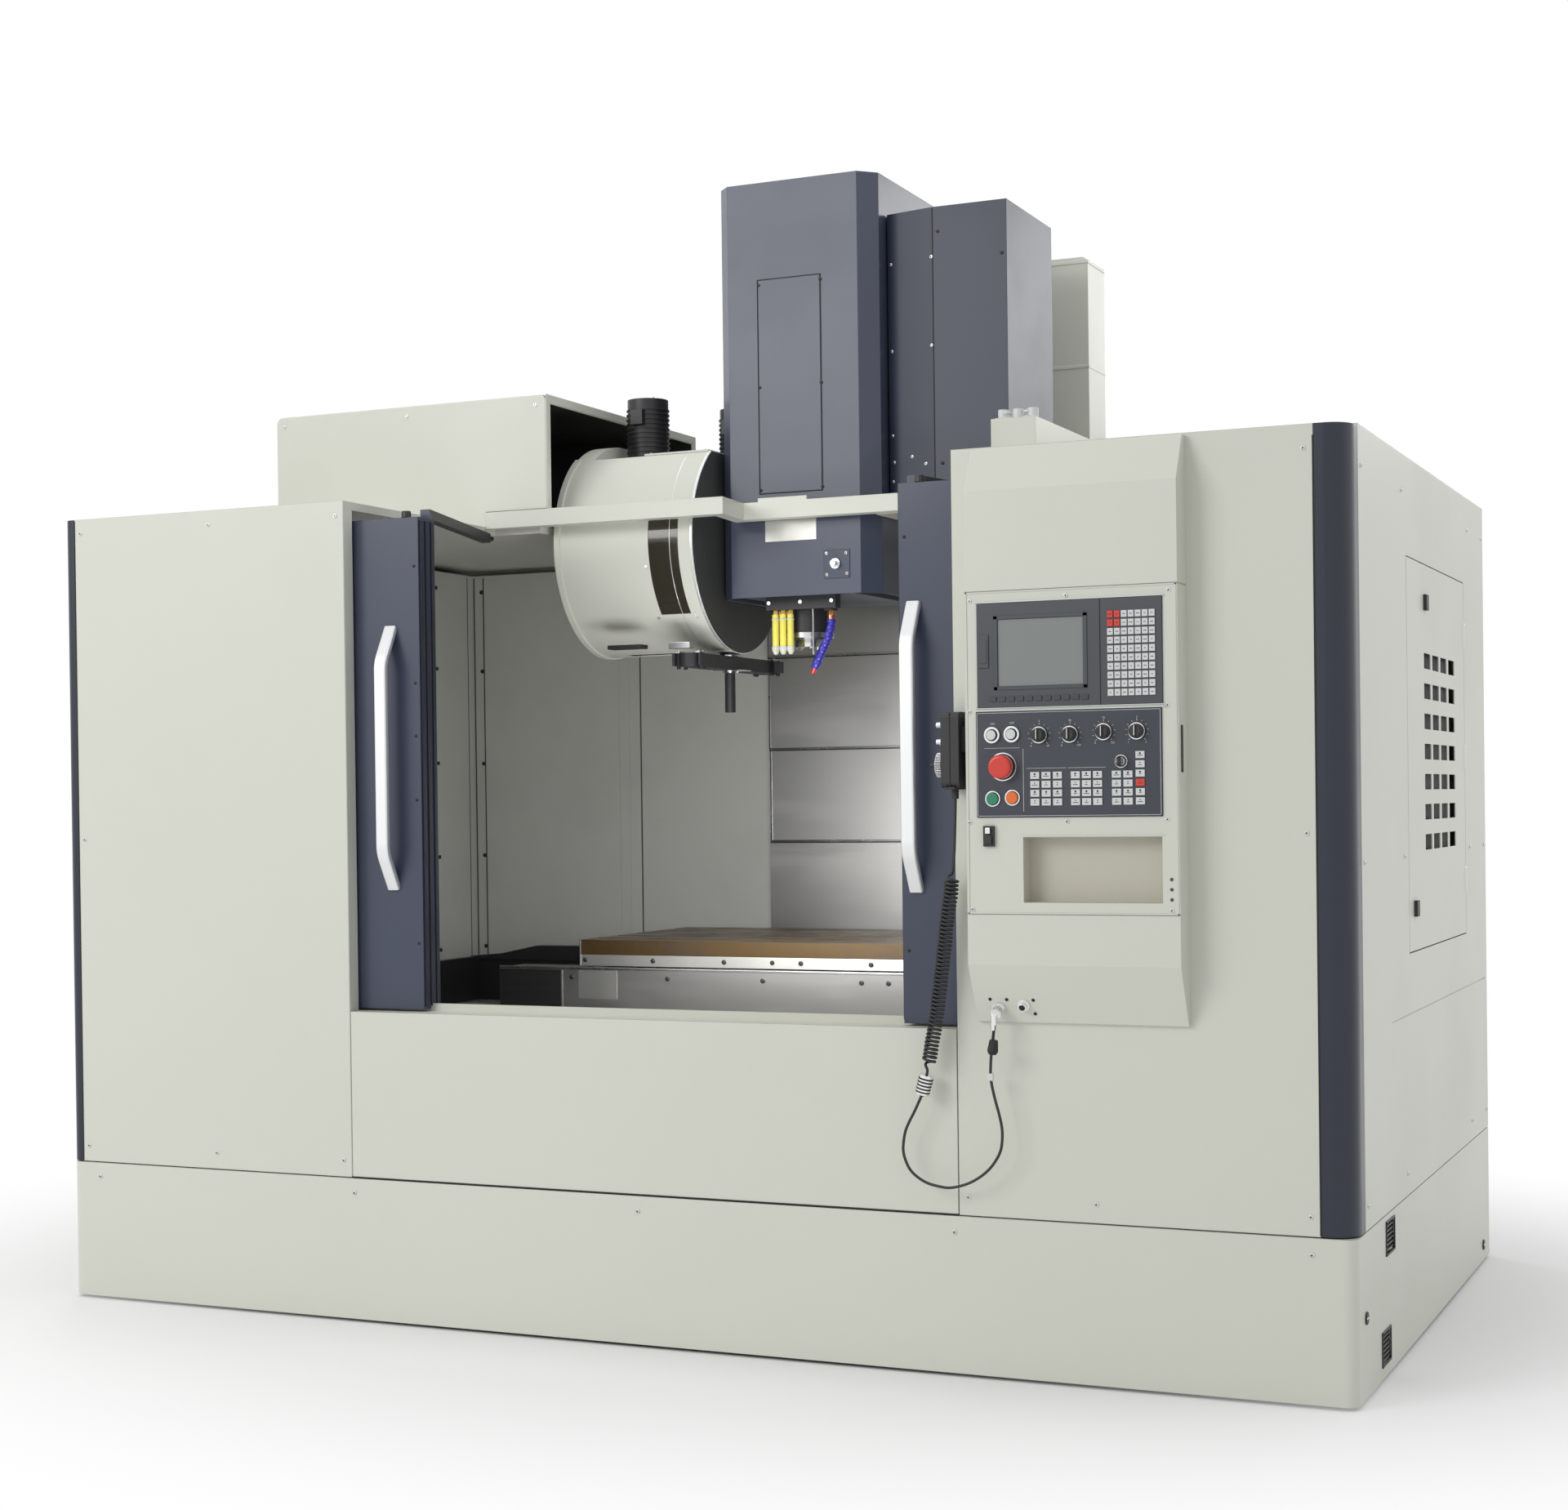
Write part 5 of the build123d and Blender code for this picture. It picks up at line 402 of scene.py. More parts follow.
finish("liner_paint", (0.62, 0.62, 0.585), 0.34, coat=0.2, relief_scale=420, relief_strength=0.05, edge=0.002,
       marks_colour=(0.42, 0.42, 0.39), marks_scale=1.8, marks_amount=0.4, dusty=0.1)
finish("stainless", (0.52, 0.515, 0.50), 0.36, metal=1.0, relief_scale=90, relief_strength=0.06,
       edge=0.0012, stretch=(1.2, 1, 7), marks_colour=(0.40, 0.39, 0.37), marks_scale=1.4,
       marks_amount=0.4, marks_rough=0.12, dusty=0.1, aniso=0.4)
finish("casting_paint", (0.10, 0.11, 0.13), 0.5, relief_scale=160, relief_strength=0.35, edge=0.004,
       marks_colour=(0.06, 0.065, 0.075), dusty=0.3)
finish("ground_steel", (0.56, 0.56, 0.56), 0.24, metal=1.0, relief_scale=300, relief_strength=0.06,
       edge=0.0008, marks_colour=(0.38, 0.34, 0.28), marks_scale=6, dusty=0.05)
finish("oiled_iron", (0.084, 0.048, 0.009), 0.34, metal=0.25, coat=0.2, relief_scale=90, relief_strength=0.08,
       edge=0.0015, marks_colour=(0.055, 0.033, 0.018), marks_scale=5.5, marks_span=(0.42, 0.62),
       marks_amount=0.8, marks_rough=0.22, dusty=0.06)
finish("black_metal", (0.022, 0.022, 0.025), 0.42, relief_scale=260, relief_strength=0.12, dusty=0.16)
finish("black_plastic", (0.020, 0.020, 0.022), 0.46, relief_scale=700, relief_strength=0.10, edge=0.001,
       dusty=0.12)
finish("panel_face", (0.036, 0.043, 0.058), 0.38, relief_scale=900, relief_strength=0.03, edge=0.001,
       marks_colour=(0.06, 0.068, 0.082), dusty=0.05)
finish("display_grey", (0.060, 0.066, 0.076), 0.42, relief_scale=900, relief_strength=0.05, edge=0.0015,
       dusty=0.05)
finish("handle_metal", (0.86, 0.87, 0.88), 0.30, metal=0.55, coat=0.2, relief_scale=500,
       relief_strength=0.02, edge=0.002, stretch=(8, 1, 0.3), marks_scale=5, marks_rough=0.08, dusty=0.02)
finish("red_plastic", (0.72, 0.035, 0.02), 0.25, coat=0.4, relief_strength=0.01, dusty=0.03)
finish("green_plastic", (0.010, 0.235, 0.120), 0.3, coat=0.3, relief_strength=0.01, dusty=0.03)
finish("orange_plastic", (0.86, 0.16, 0.025), 0.3, coat=0.3, relief_strength=0.01, dusty=0.03)
finish("white_plastic", (0.72, 0.73, 0.73), 0.38, relief_strength=0.02, edge=0.0006, dusty=0.02)
finish("yellow_tube", (0.95, 0.86, 0.16), 0.18, coat=0.4, relief_strength=0.01, dusty=0.02)
finish("copper", (0.72, 0.33, 0.17), 0.28, metal=1.0, relief_strength=0.03, dusty=0.04)
finish("blue_plastic", (0.045, 0.035, 0.42), 0.34, coat=0.2, relief_strength=0.02, dusty=0.03)
finish("chrome", (0.80, 0.80, 0.80), 0.14, metal=1.0, relief_strength=0.01, edge=0.0006, dusty=0.02)
finish("screw_steel", (0.62, 0.62, 0.62), 0.28, metal=1.0, relief_strength=0.02, edge=0.0004, dusty=0.03)
finish("dark_rubber", (0.014, 0.014, 0.015), 0.62, relief_scale=300, relief_strength=0.08, dusty=0.14)
finish("drum_grey", (0.060, 0.062, 0.060), 0.5, relief_strength=0.05, dusty=0.12)
finish("dark_inside", (0.012, 0.012, 0.013), 0.7, relief_strength=0.02, dusty=0.05)
finish("beige_plastic", (0.60, 0.58, 0.49), 0.45, relief_strength=0.03, dusty=0.05)
finish("zinc_plate", (0.60, 0.60, 0.57), 0.36, metal=0.8, relief_scale=30, relief_strength=0.03,
       marks_colour=(0.45, 0.44, 0.38), marks_scale=12, dusty=0.08)
finish("brass", (0.72, 0.52, 0.20), 0.25, metal=1.0, relief_strength=0.02, dusty=0.03)
print("finishes", len(finishes))

# %% [markdown]
# Some surfaces let light through. The drum's window is smoke-brown acrylic, the doors have
# clear safety panes, and the screen is grey glass over a liquid-crystal panel.

# %% Clear finishes


def clear(name, colour, rough, see_through):
    made = finish(name, colour, rough, coat=0.5, relief_strength=0.004, edge=0.0008, dusty=0.02,
                  marks_amount=0.1, marks_rough=0.04)
    shader = made.node_tree.nodes["Principled BSDF"]
    shader.inputs["Transmission Weight"].default_value = see_through
    shader.inputs["IOR"].default_value = 1.45
    return made


clear("clear_amber", (0.10, 0.088, 0.062), 0.07, 0.6)
clear("door_pane", (0.80, 0.86, 0.85), 0.03, 0.92)
clear("screen_glass", (0.235, 0.255, 0.25), 0.16, 0.0)

# %% [markdown]
# ## Finishes on the measured model
# Each node takes the finish of its slot in the record. Where one pressing or moulding has
# two finishes, such as the panes in the doors, the faces inside a stated box get the second
# one. Faces are picked by where they are, so this still works if the model is built again.

# %% Give every node its finish
SLOT_FINISH = {"coolant_fittings": "black_metal", "plug_metal": "chrome"}
# The head cover takes the slate paint with painted light, and the side cover takes it with painted shade.
NODE_FINISH = {"corner_posts": "post_paint", "display_unit": "display_grey", "head_cover": "lit_slate_paint",
               "side_cover": "shaded_slate_paint", "changer_hub": "black_metal"}
slot_of = {entry["node"]: entry["material_slot"] for entry in frame["record"]["subparts"]}
for name, thing in nodes.items():
    slot = slot_of[name]
    chosen = NODE_FINISH.get(name) or SLOT_FINISH.get(slot, slot)
    thing.data.materials.clear()
    thing.data.materials.append(finishes[chosen])


def repaint(name, finish_name, low=None, high=None, facing=None):
    """Faces of a node whose centre lies in a box, or that face one way, take another finish."""
    mesh = nodes[name].data
    mesh.materials.append(finishes[finish_name])
    index = len(mesh.materials) - 1
    count = 0
    for face in mesh.polygons:
        inside = low is None or all(low[i] <= face.center[i] <= high[i] for i in range(3))
        turned = facing is None or face.normal.dot(facing) > 0.9
        if inside and turned:
            face.material_index = index
            count += 1
    print("repainted", name, finish_name, count)


PANE_DEPTHS = (84, 92)
for side, door in ((-1, "left_door"), (1, "right_door")):
    edge_x = -657 if side < 0 else 708
    near, far = edge_x + side * 300, edge_x + side * 720
    repaint(door, "door_pane", at(min(near, far) - 1, PANE_DEPTHS[0], 1178),
            at(max(near, far) + 1, PANE_DEPTHS[1], 1862))
    # Black on the doors' roofs: partly the dark roof edge, partly painted shade for their shaded undersides.
    repaint(door, "black_metal", at(-2000, 150, 2130), at(2000, 900, 2200))
# The inside faces of the hood are painted dark grey: painted shade inside the hood.
repaint("magazine_hood", "drum_grey", at(-1598, 738, 2192), at(-657, 1713, 2563))
repaint("magazine_cover", "drum_grey", at(-227, 700, 1800), at(-224, 1500, 2460), RIGHT)
repaint("coolant_lines", "yellow_tube", at(-84, 1020, 1800), at(-10, 1056, 1929))
repaint("coolant_lines", "blue_plastic", at(20, 1036, 1740), at(118, 1082, 1924))
repaint("control_box", "beige_plastic", at(1056, -74, 1130), at(1388, -18, 1290))
repaint("control_box", "black_plastic", at(960, -90, 1262), at(990, -76, 1314))
repaint("inner_walls", "stainless", at(-441, 1804, 938), at(441, 1809.5, 1272))
repaint("skirt", "dark_inside", at(1780, 270, 20), at(1799, 460, 380))
repaint("headstock", "black_metal", at(-90, 1040, 1840), at(90, 1220, 1975))
repaint("spindle", "chrome", at(-60, 1060, 1800), at(60, 1200, 1850))
repaint("roof_boxes", "white_plastic", at(880, 200, 2307), at(1010, 320, 2340))
repaint("cabinet_door", "black_plastic", at(1801, 700, 1000), at(1820, 1000, 1900))

# %% [markdown]
# ## Helpers for added pieces
# A piece is made from boxes and rods in one mesh, gets a fine bevel, takes its finish and
# then rides on the body that it is fixed to, so it moves when that body does.

# %% Boxes, rods, tubes and screws


def add_box(mesh, x, depth, z, index=0):
    low, high = at(x[0], depth[0], z[0]), at(x[1], depth[1], z[1])
    made = bmesh.ops.create_cube(mesh, size=1)["verts"]
    size = high - low
    placed = Matrix.Translation((low + high) / 2) @ Matrix.Diagonal((*size, 1))
    bmesh.ops.transform(mesh, verts=made, matrix=placed)
    for face in {face for vert in made for face in vert.link_faces}:
        face.material_index = index
    return made


def add_rod(mesh, start, end, radius, sides=24, end_radius=None, index=0):
    line = end - start
    made = bmesh.ops.create_cone(
        mesh, cap_ends=True, segments=sides, radius1=radius * MM,
        radius2=(radius if end_radius is None else end_radius) * MM, depth=line.length,
    )["verts"]
    turn = line.to_track_quat("Z", "Y").to_matrix().to_4x4()
    bmesh.ops.transform(mesh, verts=made, matrix=Matrix.Translation((start + end) / 2) @ turn)
    for face in {face for vert in made for face in vert.link_faces}:
        face.material_index = index
    return made


def add_ring(mesh, centre, out, radius, thickness, height, sides=40, index=0):
    """A flat ring that stands out from a face."""
    turn = Matrix.Translation(centre) @ out.to_track_quat("Z", "Y").to_matrix().to_4x4()
    loops = []
    for r, h in ((radius, 0), (radius, height), (radius - thickness, height), (radius - thickness, 0)):
        loops.append([
            mesh.verts.new(turn @ Vector((r * MM * math.cos(a), r * MM * math.sin(a), h * MM)))
            for a in (2 * math.pi * step / sides for step in range(sides))
        ])
    for row in range(4):
        near, far = loops[row], loops[(row + 1) % 4]
        for step in range(sides):
            face = mesh.faces.new((near[step], near[(step + 1) % sides], far[(step + 1) % sides], far[step]))
            face.material_index = index


def piece(name, mesh, body, materials, bevel=0.6):
    """The mesh becomes a piece with finishes that rides on a body."""
    bmesh.ops.recalc_face_normals(mesh, faces=mesh.faces)
    data = bpy.data.meshes.new(name)
    mesh.to_mesh(data)
    mesh.free()
    for label in materials if isinstance(materials, (list, tuple)) else [materials]:
        data.materials.append(finishes[label])
    data.polygons.foreach_set("use_smooth", [True] * len(data.polygons))
    data.set_sharp_from_angle(angle=math.radians(35))
    made = bpy.data.objects.new(name, data)
    scene.collection.objects.link(made)
    if bevel:
        soften = made.modifiers.new("edges", "BEVEL")
        soften.width = bevel * MM
        soften.segments = 2
        soften.limit_method = "ANGLE"
        soften.angle_limit = math.radians(40)
        soften.harden_normals = True
    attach(made, body)
    return made


def screws(name, points, out, radius, body, head="screw_steel", socket="dark_inside"):
    """Round-headed screws with a hexagon socket."""
    mesh = bmesh.new()
    for point in points:
        add_rod(mesh, point, point + out * radius * 0.34 * MM, radius, 20)
        add_rod(mesh, point + out * radius * 0.30 * MM, point + out * radius * 0.62 * MM, radius * 0.92, 20,
                radius * 0.62)
        add_rod(mesh, point + out * radius * 0.5 * MM, point + out * radius * 0.66 * MM, radius * 0.42, 6,
                index=1)
    return piece(name, mesh, body, (head, socket), bevel=0)


def add_plate(mesh, profile, depth, index=0):
    """A flat plate whose outline is given across and above the floor."""
    rows = [[mesh.verts.new(at(x, d, z)) for x, z in profile] for d in depth]
    faces = [mesh.faces.new(row) for row in rows]
    for step in range(len(profile)):
        after = (step + 1) % len(profile)
        faces.append(mesh.faces.new((rows[0][step], rows[0][after], rows[1][after], rows[1][step])))
    for face in faces:
        face.material_index = index


def spread(low, high, count):
    """Evenly spaced cell centres between two limits."""
    pitch = (high - low) / count
    return [low + pitch * (step + 0.5) for step in range(count)]

# %% [markdown]
# ## The pendant's cords
# The hand-held pendant hangs on a hook at the control box. Its curly cord is a thin round
# cable wound on a mandrel and heat-set, so it springs back after the operator has walked
# along the machine with it. From the end of the coils a straight lead sags in a loop and
# climbs to a metal plug under the box. Both are single curves of round section here, and the
# coils are simply more points of the same curve.

# %% Curly cord
CORD_RADIUS = 3.4
COIL_RADIUS = 19
COIL_PITCH = 9.4
END_PITCH = 60
POINTS_PER_TURN = 14
tail_route = [(880, -44, 1376), (879.5, -44, 1355), (878.5, -44, 1322), (877.5, -45, 1285), (876, -45, 1250)]
coil_route = [
    (873, -46, 1218), (866, -47, 1150), (855, -46, 1080), (846, -45, 1005),
    (836, -45, 930), (826, -46, 858), (813, -47, 788), (800, -46, 722),
]


def along(route, distance):
    """The point and direction at a distance along straight runs, in millimetres."""
    for before, after in zip(route, route[1:]):
        run = Vector(after) - Vector(before)
        if distance <= run.length or after is route[-1]:
            return Vector(before) + run * (distance / run.length), run.normalized()
        distance -= run.length


def drawn_out(turn):
    """How far the first turn is pulled along the cord, past the pitch of the close coils."""
    part = min(turn, 1)
    return (END_PITCH - COIL_PITCH) * (part - part * part / 2)


coil_length = sum((Vector(b) - Vector(a)).length for a, b in zip(coil_route, coil_route[1:]))
turns = int((coil_length - 2 * drawn_out(1)) / COIL_PITCH)
wound_length = turns * COIL_PITCH + 2 * drawn_out(1)
points = [Vector(point) for point in tail_route]
helix_radius = COIL_RADIUS - CORD_RADIUS - 0.6
total_steps = turns * POINTS_PER_TURN
for step in range(total_steps + 1):
    turn = step / POINTS_PER_TURN
    wound = turn * COIL_PITCH + drawn_out(turn) + drawn_out(1) - drawn_out(turns - turn)
    centre, direction = along(coil_route, coil_length * wound / wound_length)
    side = direction.cross(Vector((0, 1, 0))).normalized()
    front = side.cross(direction).normalized()
    nearest_end = min(1.0, turn, turns - turn)
    swell = nearest_end * nearest_end * (3 - 2 * nearest_end)
    angle = 2 * math.pi * turn
    wobble = 1 + 0.03 * math.sin(step * 0.37)
    points.append(centre + (side * math.cos(angle) + front * math.sin(angle)) * helix_radius * swell * wobble)


def cord_curve(name, route, radius, material, resolution):
    """A round cord along a route in millimetres."""
    data = bpy.data.curves.new(name, "CURVE")
    data.dimensions = "3D"
    spline = data.splines.new("NURBS")
    spline.points.add(len(route) - 1)
    for control, (x, depth, z) in zip(spline.points, route):
        control.co = (*at(x, depth, z), 1)
    spline.order_u = 3
    spline.use_endpoint_u = True
    spline.resolution_u = resolution
    data.use_fill_caps = True
    made = bpy.data.objects.new(name, data)
    scene.collection.objects.link(made)
    bpy.context.view_layer.update()
    line = made.evaluated_get(bpy.context.evaluated_depsgraph_get()).to_mesh()
    ends = [[line.vertices[end].co for end in edge.vertices] for edge in line.edges]
    reach = sum((first - second).length for first, second in ends)
    data.bevel_depth = radius * MM
    data.bevel_resolution = 3
    data.materials.append(finishes[material])
    print(name, "length", round(reach, 3))
    return made, reach


curly, curly_length = cord_curve("curly_cord_coils", points, CORD_RADIUS, "black_plastic", 3)
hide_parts("curly_cord")
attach(curly, "frame")

# %% Straight lead from the sleeve to the plug
lead_route = [
    (788, -46, 676), (778, -46, 655), (768, -46, 634), (755, -46, 611), (744, -46, 588), (739, -46, 563),
    (737, -46, 538), (744, -46, 514), (756, -46, 492), (776, -46, 476), (800, -46, 464), (826, -46, 459),
    (852, -47, 456), (881, -47, 462), (908, -48, 472), (933, -49, 487), (956, -50, 506), (973, -51, 528),
    (986, -52, 552), (990, -53, 579), (990, -54, 606), (984, -55, 635), (976, -56, 664), (969, -57, 693),
    (964, -58, 722), (965, -59, 751), (967, -59, 780), (971, -60, 808), (974, -60, 834),
]
lead, lead_length = cord_curve("pendant_lead_cable", lead_route, CORD_RADIUS, "black_plastic", 6)
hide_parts("pendant_lead")
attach(lead, "frame")

# %% Sleeve, tag and dust cap on the cords
mesh = bmesh.new()
sleeve_top, sleeve_end = at(799.5, -46, 719), at(788, -46, 676)
sleeve_line = (sleeve_end - sleeve_top).normalized()
for step in range(5):
    start = sleeve_top + sleeve_line * (4 + 8 * step) * MM
    add_rod(mesh, start, start + sleeve_line * 4 * MM, 18.2 - step * 0.2, 28)
add_rod(mesh, sleeve_end - sleeve_line * 3 * MM, sleeve_end + sleeve_line * 5 * MM, 8, 20, 5)
sleeve = piece("sleeve_ribs", mesh, "frame", "dark_rubber", 0.4)
mesh = bmesh.new()
add_box(mesh, (957, 971), (-63, -52), (716, 733))
tag = piece("cord_tag", mesh, "frame", "white_plastic", 0.8)
mesh = bmesh.new()
add_rod(mesh, at(976, -66, 812), at(973, -66, 786), 10, 24, 13)
add_rod(mesh, at(973, -66, 786), at(972, -66, 778), 13, 24, 9)
add_rod(mesh, at(976, -66, 812), at(979, -64, 846), 1.6, 8)
cap = piece("dust_cap", mesh, "frame", "dark_rubber", 0.8)

# %% Cords' real lengths
print("curly cord", round(curly_length, 2), "m of cable, straight lead", round(lead_length, 2), "m")

# %% [markdown]
# ## Plug and sockets under the control box
# The plug is a round metal connector with a knurled ring that locks by a turn. Beside it a
# second socket waits for a network lead, behind a small sprung cover.

# %% Plug ring, second socket and its screws
SLOPE = (Vector((0, -138, -63))).normalized()


def on_foot(x, z, proud=0.0):
    """A point on the box's sloping foot, stood off by some millimetres."""
    share = (z - 850) / (988 - 850)
    return at(x, -12 - 63 * share, z) + SLOPE * proud * MM


mesh = bmesh.new()
for step in range(26):
    turn = 2 * math.pi * step / 26
    base = on_foot(978, 884)
    side = Vector((1, 0, 0)) * math.cos(turn) + SLOPE.cross(Vector((1, 0, 0))) * math.sin(turn)
    spot = base + side * 12.2 * MM
    add_rod(mesh, spot + SLOPE * 12 * MM, spot + SLOPE * 25 * MM, 1.5, 6)
add_rod(mesh, on_foot(978, 884, 26), on_foot(978, 884, 30), 13.4, 32)
piece("plug_ring", mesh, "frame", "chrome", 0.2)
mesh = bmesh.new()
add_rod(mesh, on_foot(1039, 893), on_foot(1039, 893, 4), 15, 32)
add_rod(mesh, on_foot(1039, 893, 4), on_foot(1039, 893, 15), 10.5, 32)
add_rod(mesh, on_foot(1039, 893, 14), on_foot(1039, 893, 16), 7.5, 24, index=1)
piece("second_socket", mesh, "frame", ("chrome", "dark_inside"), 0.5)
foot_places = ((958, 905), (1064, 905), (1064, 872), (999, 905))
screws("foot_screws", [on_foot(x, z) for x, z in foot_places], SLOPE, 4,
       "frame", "dark_rubber", "dark_inside")

# %% [markdown]
# ## Control box
# The operator looks at a display with a keyboard beside it, and works the machine from the
# panel below. Keys are small mouldings that stand a little proud of a printed film. The
# selectors are round knobs over a ring of tick marks.

# %% Screen, bezel and key caps
FACE = -79
mesh = bmesh.new()
add_box(mesh, (1001.5, 1206.5), (FACE + 1.8, FACE + 3.4), (1635.5, 1790.5))
piece("screen", mesh, "frame", "screen_glass", 0)
mesh = bmesh.new()
for x, z in (((991, 1217), (1791, 1799)), ((991, 1217), (1627, 1635)), ((991, 1001), (1627, 1799)),
             ((1207, 1217), (1627, 1799))):
    add_box(mesh, x, (FACE - 2, FACE + 0.5), z)
add_box(mesh, (953, 979), (FACE - 3, FACE + 0.5), (1679, 1756))
add_box(mesh, (957, 975), (FACE - 4.2, FACE - 2.8), (1690, 1745))
piece("screen_bezel", mesh, "frame", "display_grey", 1.0)
mesh = bmesh.new()
for x in spread(978, 1222, 11):
    add_box(mesh, (x - 8, x + 8), (FACE - 3, FACE), (1600, 1612))
piece("soft_keys", mesh, "frame", "panel_face", 0.8)
mesh = bmesh.new()
for column, x in enumerate(spread(1264, 1378, 7)):
    for row, z in enumerate(spread(1604, 1802, 10)):
        red = row > 7 and column < 2
        add_box(mesh, (x - 6.7, x + 6.7), (FACE - 3.4, FACE - 0.1), (z - 7.7, z + 7.7), 1 if red else 0)
        mark = 2 + ((column * 5 + row * 3) % 4) * 0.7
        add_box(mesh, (x - mark, x + mark), (FACE - 3.6, FACE - 3.3), (z - 1, z + 0.6), 2)
piece("keyboard_keys", mesh, "frame", ("white_plastic", "red_plastic", "dark_rubber"), 0.35)

# %% Operator panel: keys, frames and lamps
mesh = bmesh.new()
key_places = [(x, z) for x in spread(1075, 1157, 3) for z in spread(1356, 1438, 4)]
key_places += [(x, z) for x in spread(1173, 1252, 3) for z in spread(1356, 1438, 4)]
key_places += [(x, z) for x in spread(1270, 1324, 2) for z in spread(1356, 1438, 4)]
key_places += [(1339, z) for z in spread(1356, 1482, 6)]
for number, (x, z) in enumerate(key_places):
    half = 10.6 if x < 1325 else 10.4
    add_box(mesh, (x - half, x + half), (FACE - 3.2, FACE - 0.1), (z - 8, z + 8), 1 if number == 34 else 0)
    size = 2.4 + (number * 7 % 5)
    add_box(mesh, (x - size, x + size), (FACE - 3.45, FACE - 3.1), (z - 2.5, z - 1), 2)
    add_rod(mesh, at(x, FACE - 3.1, z + 3), at(x, FACE - 3.45, z + 3), 1.5 + number % 2, 8, index=2)
piece("panel_keys", mesh, "frame", ("white_plastic", "red_plastic", "dark_rubber"), 0.5)
mesh = bmesh.new()
for x, z in (((948, 1387), (1573.6, 1574.6)), ((948, 1387), (1334.4, 1335.4)), ((948, 949), (1334.4, 1574.6)),
             ((1386, 1387), (1334.4, 1574.6)), ((1060, 1061), (1345, 1490)), ((966, 1052), (1492, 1492.8)),
             ((1068, 1164), (1444, 1444.8)), ((1168, 1258), (1444, 1444.8))):
    add_box(mesh, x, (FACE - 0.35, FACE + 0.2), z)
piece("panel_lines", mesh, "frame", "white_plastic", 0)
mesh = bmesh.new()
for x, z in ((986, 1523), (1034, 1524)):
    centre = at(x, FACE, z)
    add_ring(mesh, centre, AHEAD, 19, 5, 6, index=0)
    add_rod(mesh, centre, centre + AHEAD * 12 * MM, 12.8, 28, 11.5, index=1)
    add_ring(mesh, centre, AHEAD, 13.8, 1.6, 8.5, index=2)
piece("lamp_buttons", mesh, "frame", ("chrome", "white_plastic", "black_plastic"), 0.3)
mesh = bmesh.new()
key_at = at(1295, FACE, 1457)
add_ring(mesh, key_at, AHEAD, 15, 3, 5)
add_rod(mesh, key_at, key_at + AHEAD * 11 * MM, 10, 28)
add_box(mesh, (1292, 1298), (FACE - 30.5, FACE - 10), (1449, 1465), 1)
add_rod(mesh, at(1292, FACE - 18.5, 1457), at(1298, FACE - 18.5, 1457), 12, 28, index=1)
piece("key_switch", mesh, "frame", ("chrome", "black_plastic"), 0.6)

# %% Dials of the selectors
SELECTORS = ((1100, 1521), (1174, 1521), (1254, 1525), (1332, 1525))
mesh = bmesh.new()
for x, z in SELECTORS:
    for step in range(11):
        turn = math.radians(-135 + 27 * step)
        out_from = Vector((math.sin(turn), 0, math.cos(turn)))
        across = Vector((math.cos(turn), 0, -math.sin(turn)))
        middle = at(x, FACE, z) + out_from * 26 * MM
        long = 4.2 if step % 5 == 0 else 2.6
        corners = [middle + out_from * s * long * 0.5 * MM + across * t * 0.55 * MM
                   for s, t in ((-1, -1), (1, -1), (1, 1), (-1, 1))]
        front = [mesh.verts.new(corner + AHEAD * 0.3 * MM) for corner in corners]
        mesh.faces.new(front)
piece("dial_ticks", mesh, "frame", "white_plastic", 0)
for number, (x, z) in enumerate(SELECTORS, 1):
    mesh = bmesh.new()
    for step in range(30):
        turn = 2 * math.pi * step / 30
        rim = Vector((math.sin(turn), 0, math.cos(turn)))
        add_rod(mesh, at(x, FACE - 4, z) + rim * 15.3 * MM, at(x, FACE - 18, z) + rim * 14.6 * MM, 1.1, 6)
    add_box(mesh, (x - 1.1, x + 1.1), (FACE - 26.5, FACE - 25.9), (z - 10, z + 13), 1)
    add_ring(mesh, at(x, FACE - 4, z), AHEAD, 19.4, 2.6, 1.4, index=2)
    piece(f"selector_{number}_grip", mesh, f"selector_{number}",
          ("black_plastic", "white_plastic", "chrome"), 0)

# %% [markdown]
# The selectors' values are printed beside their ticks. Plain numbers are enough to read a
# feed or speed override, and a machine of any make has them.

# %% Dial numbers and switch words


def lettering(name, words, place, size, body="frame", material="white_plastic"):
    """Plain printed lettering that stands a hair proud of a front face."""
    data = bpy.data.curves.new(name, "FONT")
    data.body = words
    data.size = size * MM
    data.align_x, data.align_y = "CENTER", "CENTER"
    data.extrude = 0.00012
    data.resolution_u = 2
    made = bpy.data.objects.new(name, data)
    scene.collection.objects.link(made)
    made.location = place
    made.rotation_euler = (math.radians(90), 0, 0)
    data.materials.append(finishes[material])
    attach(made, body)
    return made


DIALS = (("0", "5", "10"), ("0", "50", "100"), ("0", "75", "150"), ("1", "2", "3"))
for number, ((x, z), words) in enumerate(zip(SELECTORS, DIALS), 1):
    for word, degrees in zip(words, (-142, 0, 142)):
        turn = math.radians(degrees)
        lettering(f"dial_{number}_{word}", word,
                  at(x + 33 * math.sin(turn), FACE - 0.15, z + 32 * math.cos(turn)), 7)
lettering("lamp_on", "ON", at(986, FACE - 0.15, 1549), 7)
lettering("lamp_off", "OFF", at(1034, FACE - 0.15, 1550), 7)

# %% Stop, start and hold caps
mesh = bmesh.new()
add_ring(mesh, at(1011, FACE - 5.5, 1449), AHEAD, 21.4, 1.6, 6)
add_ring(mesh, at(1011, FACE - 30.3, 1449), AHEAD, 17, 2, 0.6, index=1)
piece("stop_ring", mesh, "emergency_stop", ("dark_rubber", "red_plastic"), 0.2)
mesh = bmesh.new()
add_ring(mesh, at(1011, FACE, 1449), AHEAD, 33, 3, 2.2)
for x, z in ((986, 1375), (1034, 1377)):
    add_ring(mesh, at(x, FACE - 0.2, z), AHEAD, 18.4, 3, 3.8)
piece("button_collars", mesh, "frame", "chrome", 0.3)

# %% [markdown]
# ## Control box sheet
# The panel frame is held by small screws. It also has a latch, a shallow pocket for papers,
# three small sockets and a slot at the side for a memory card.

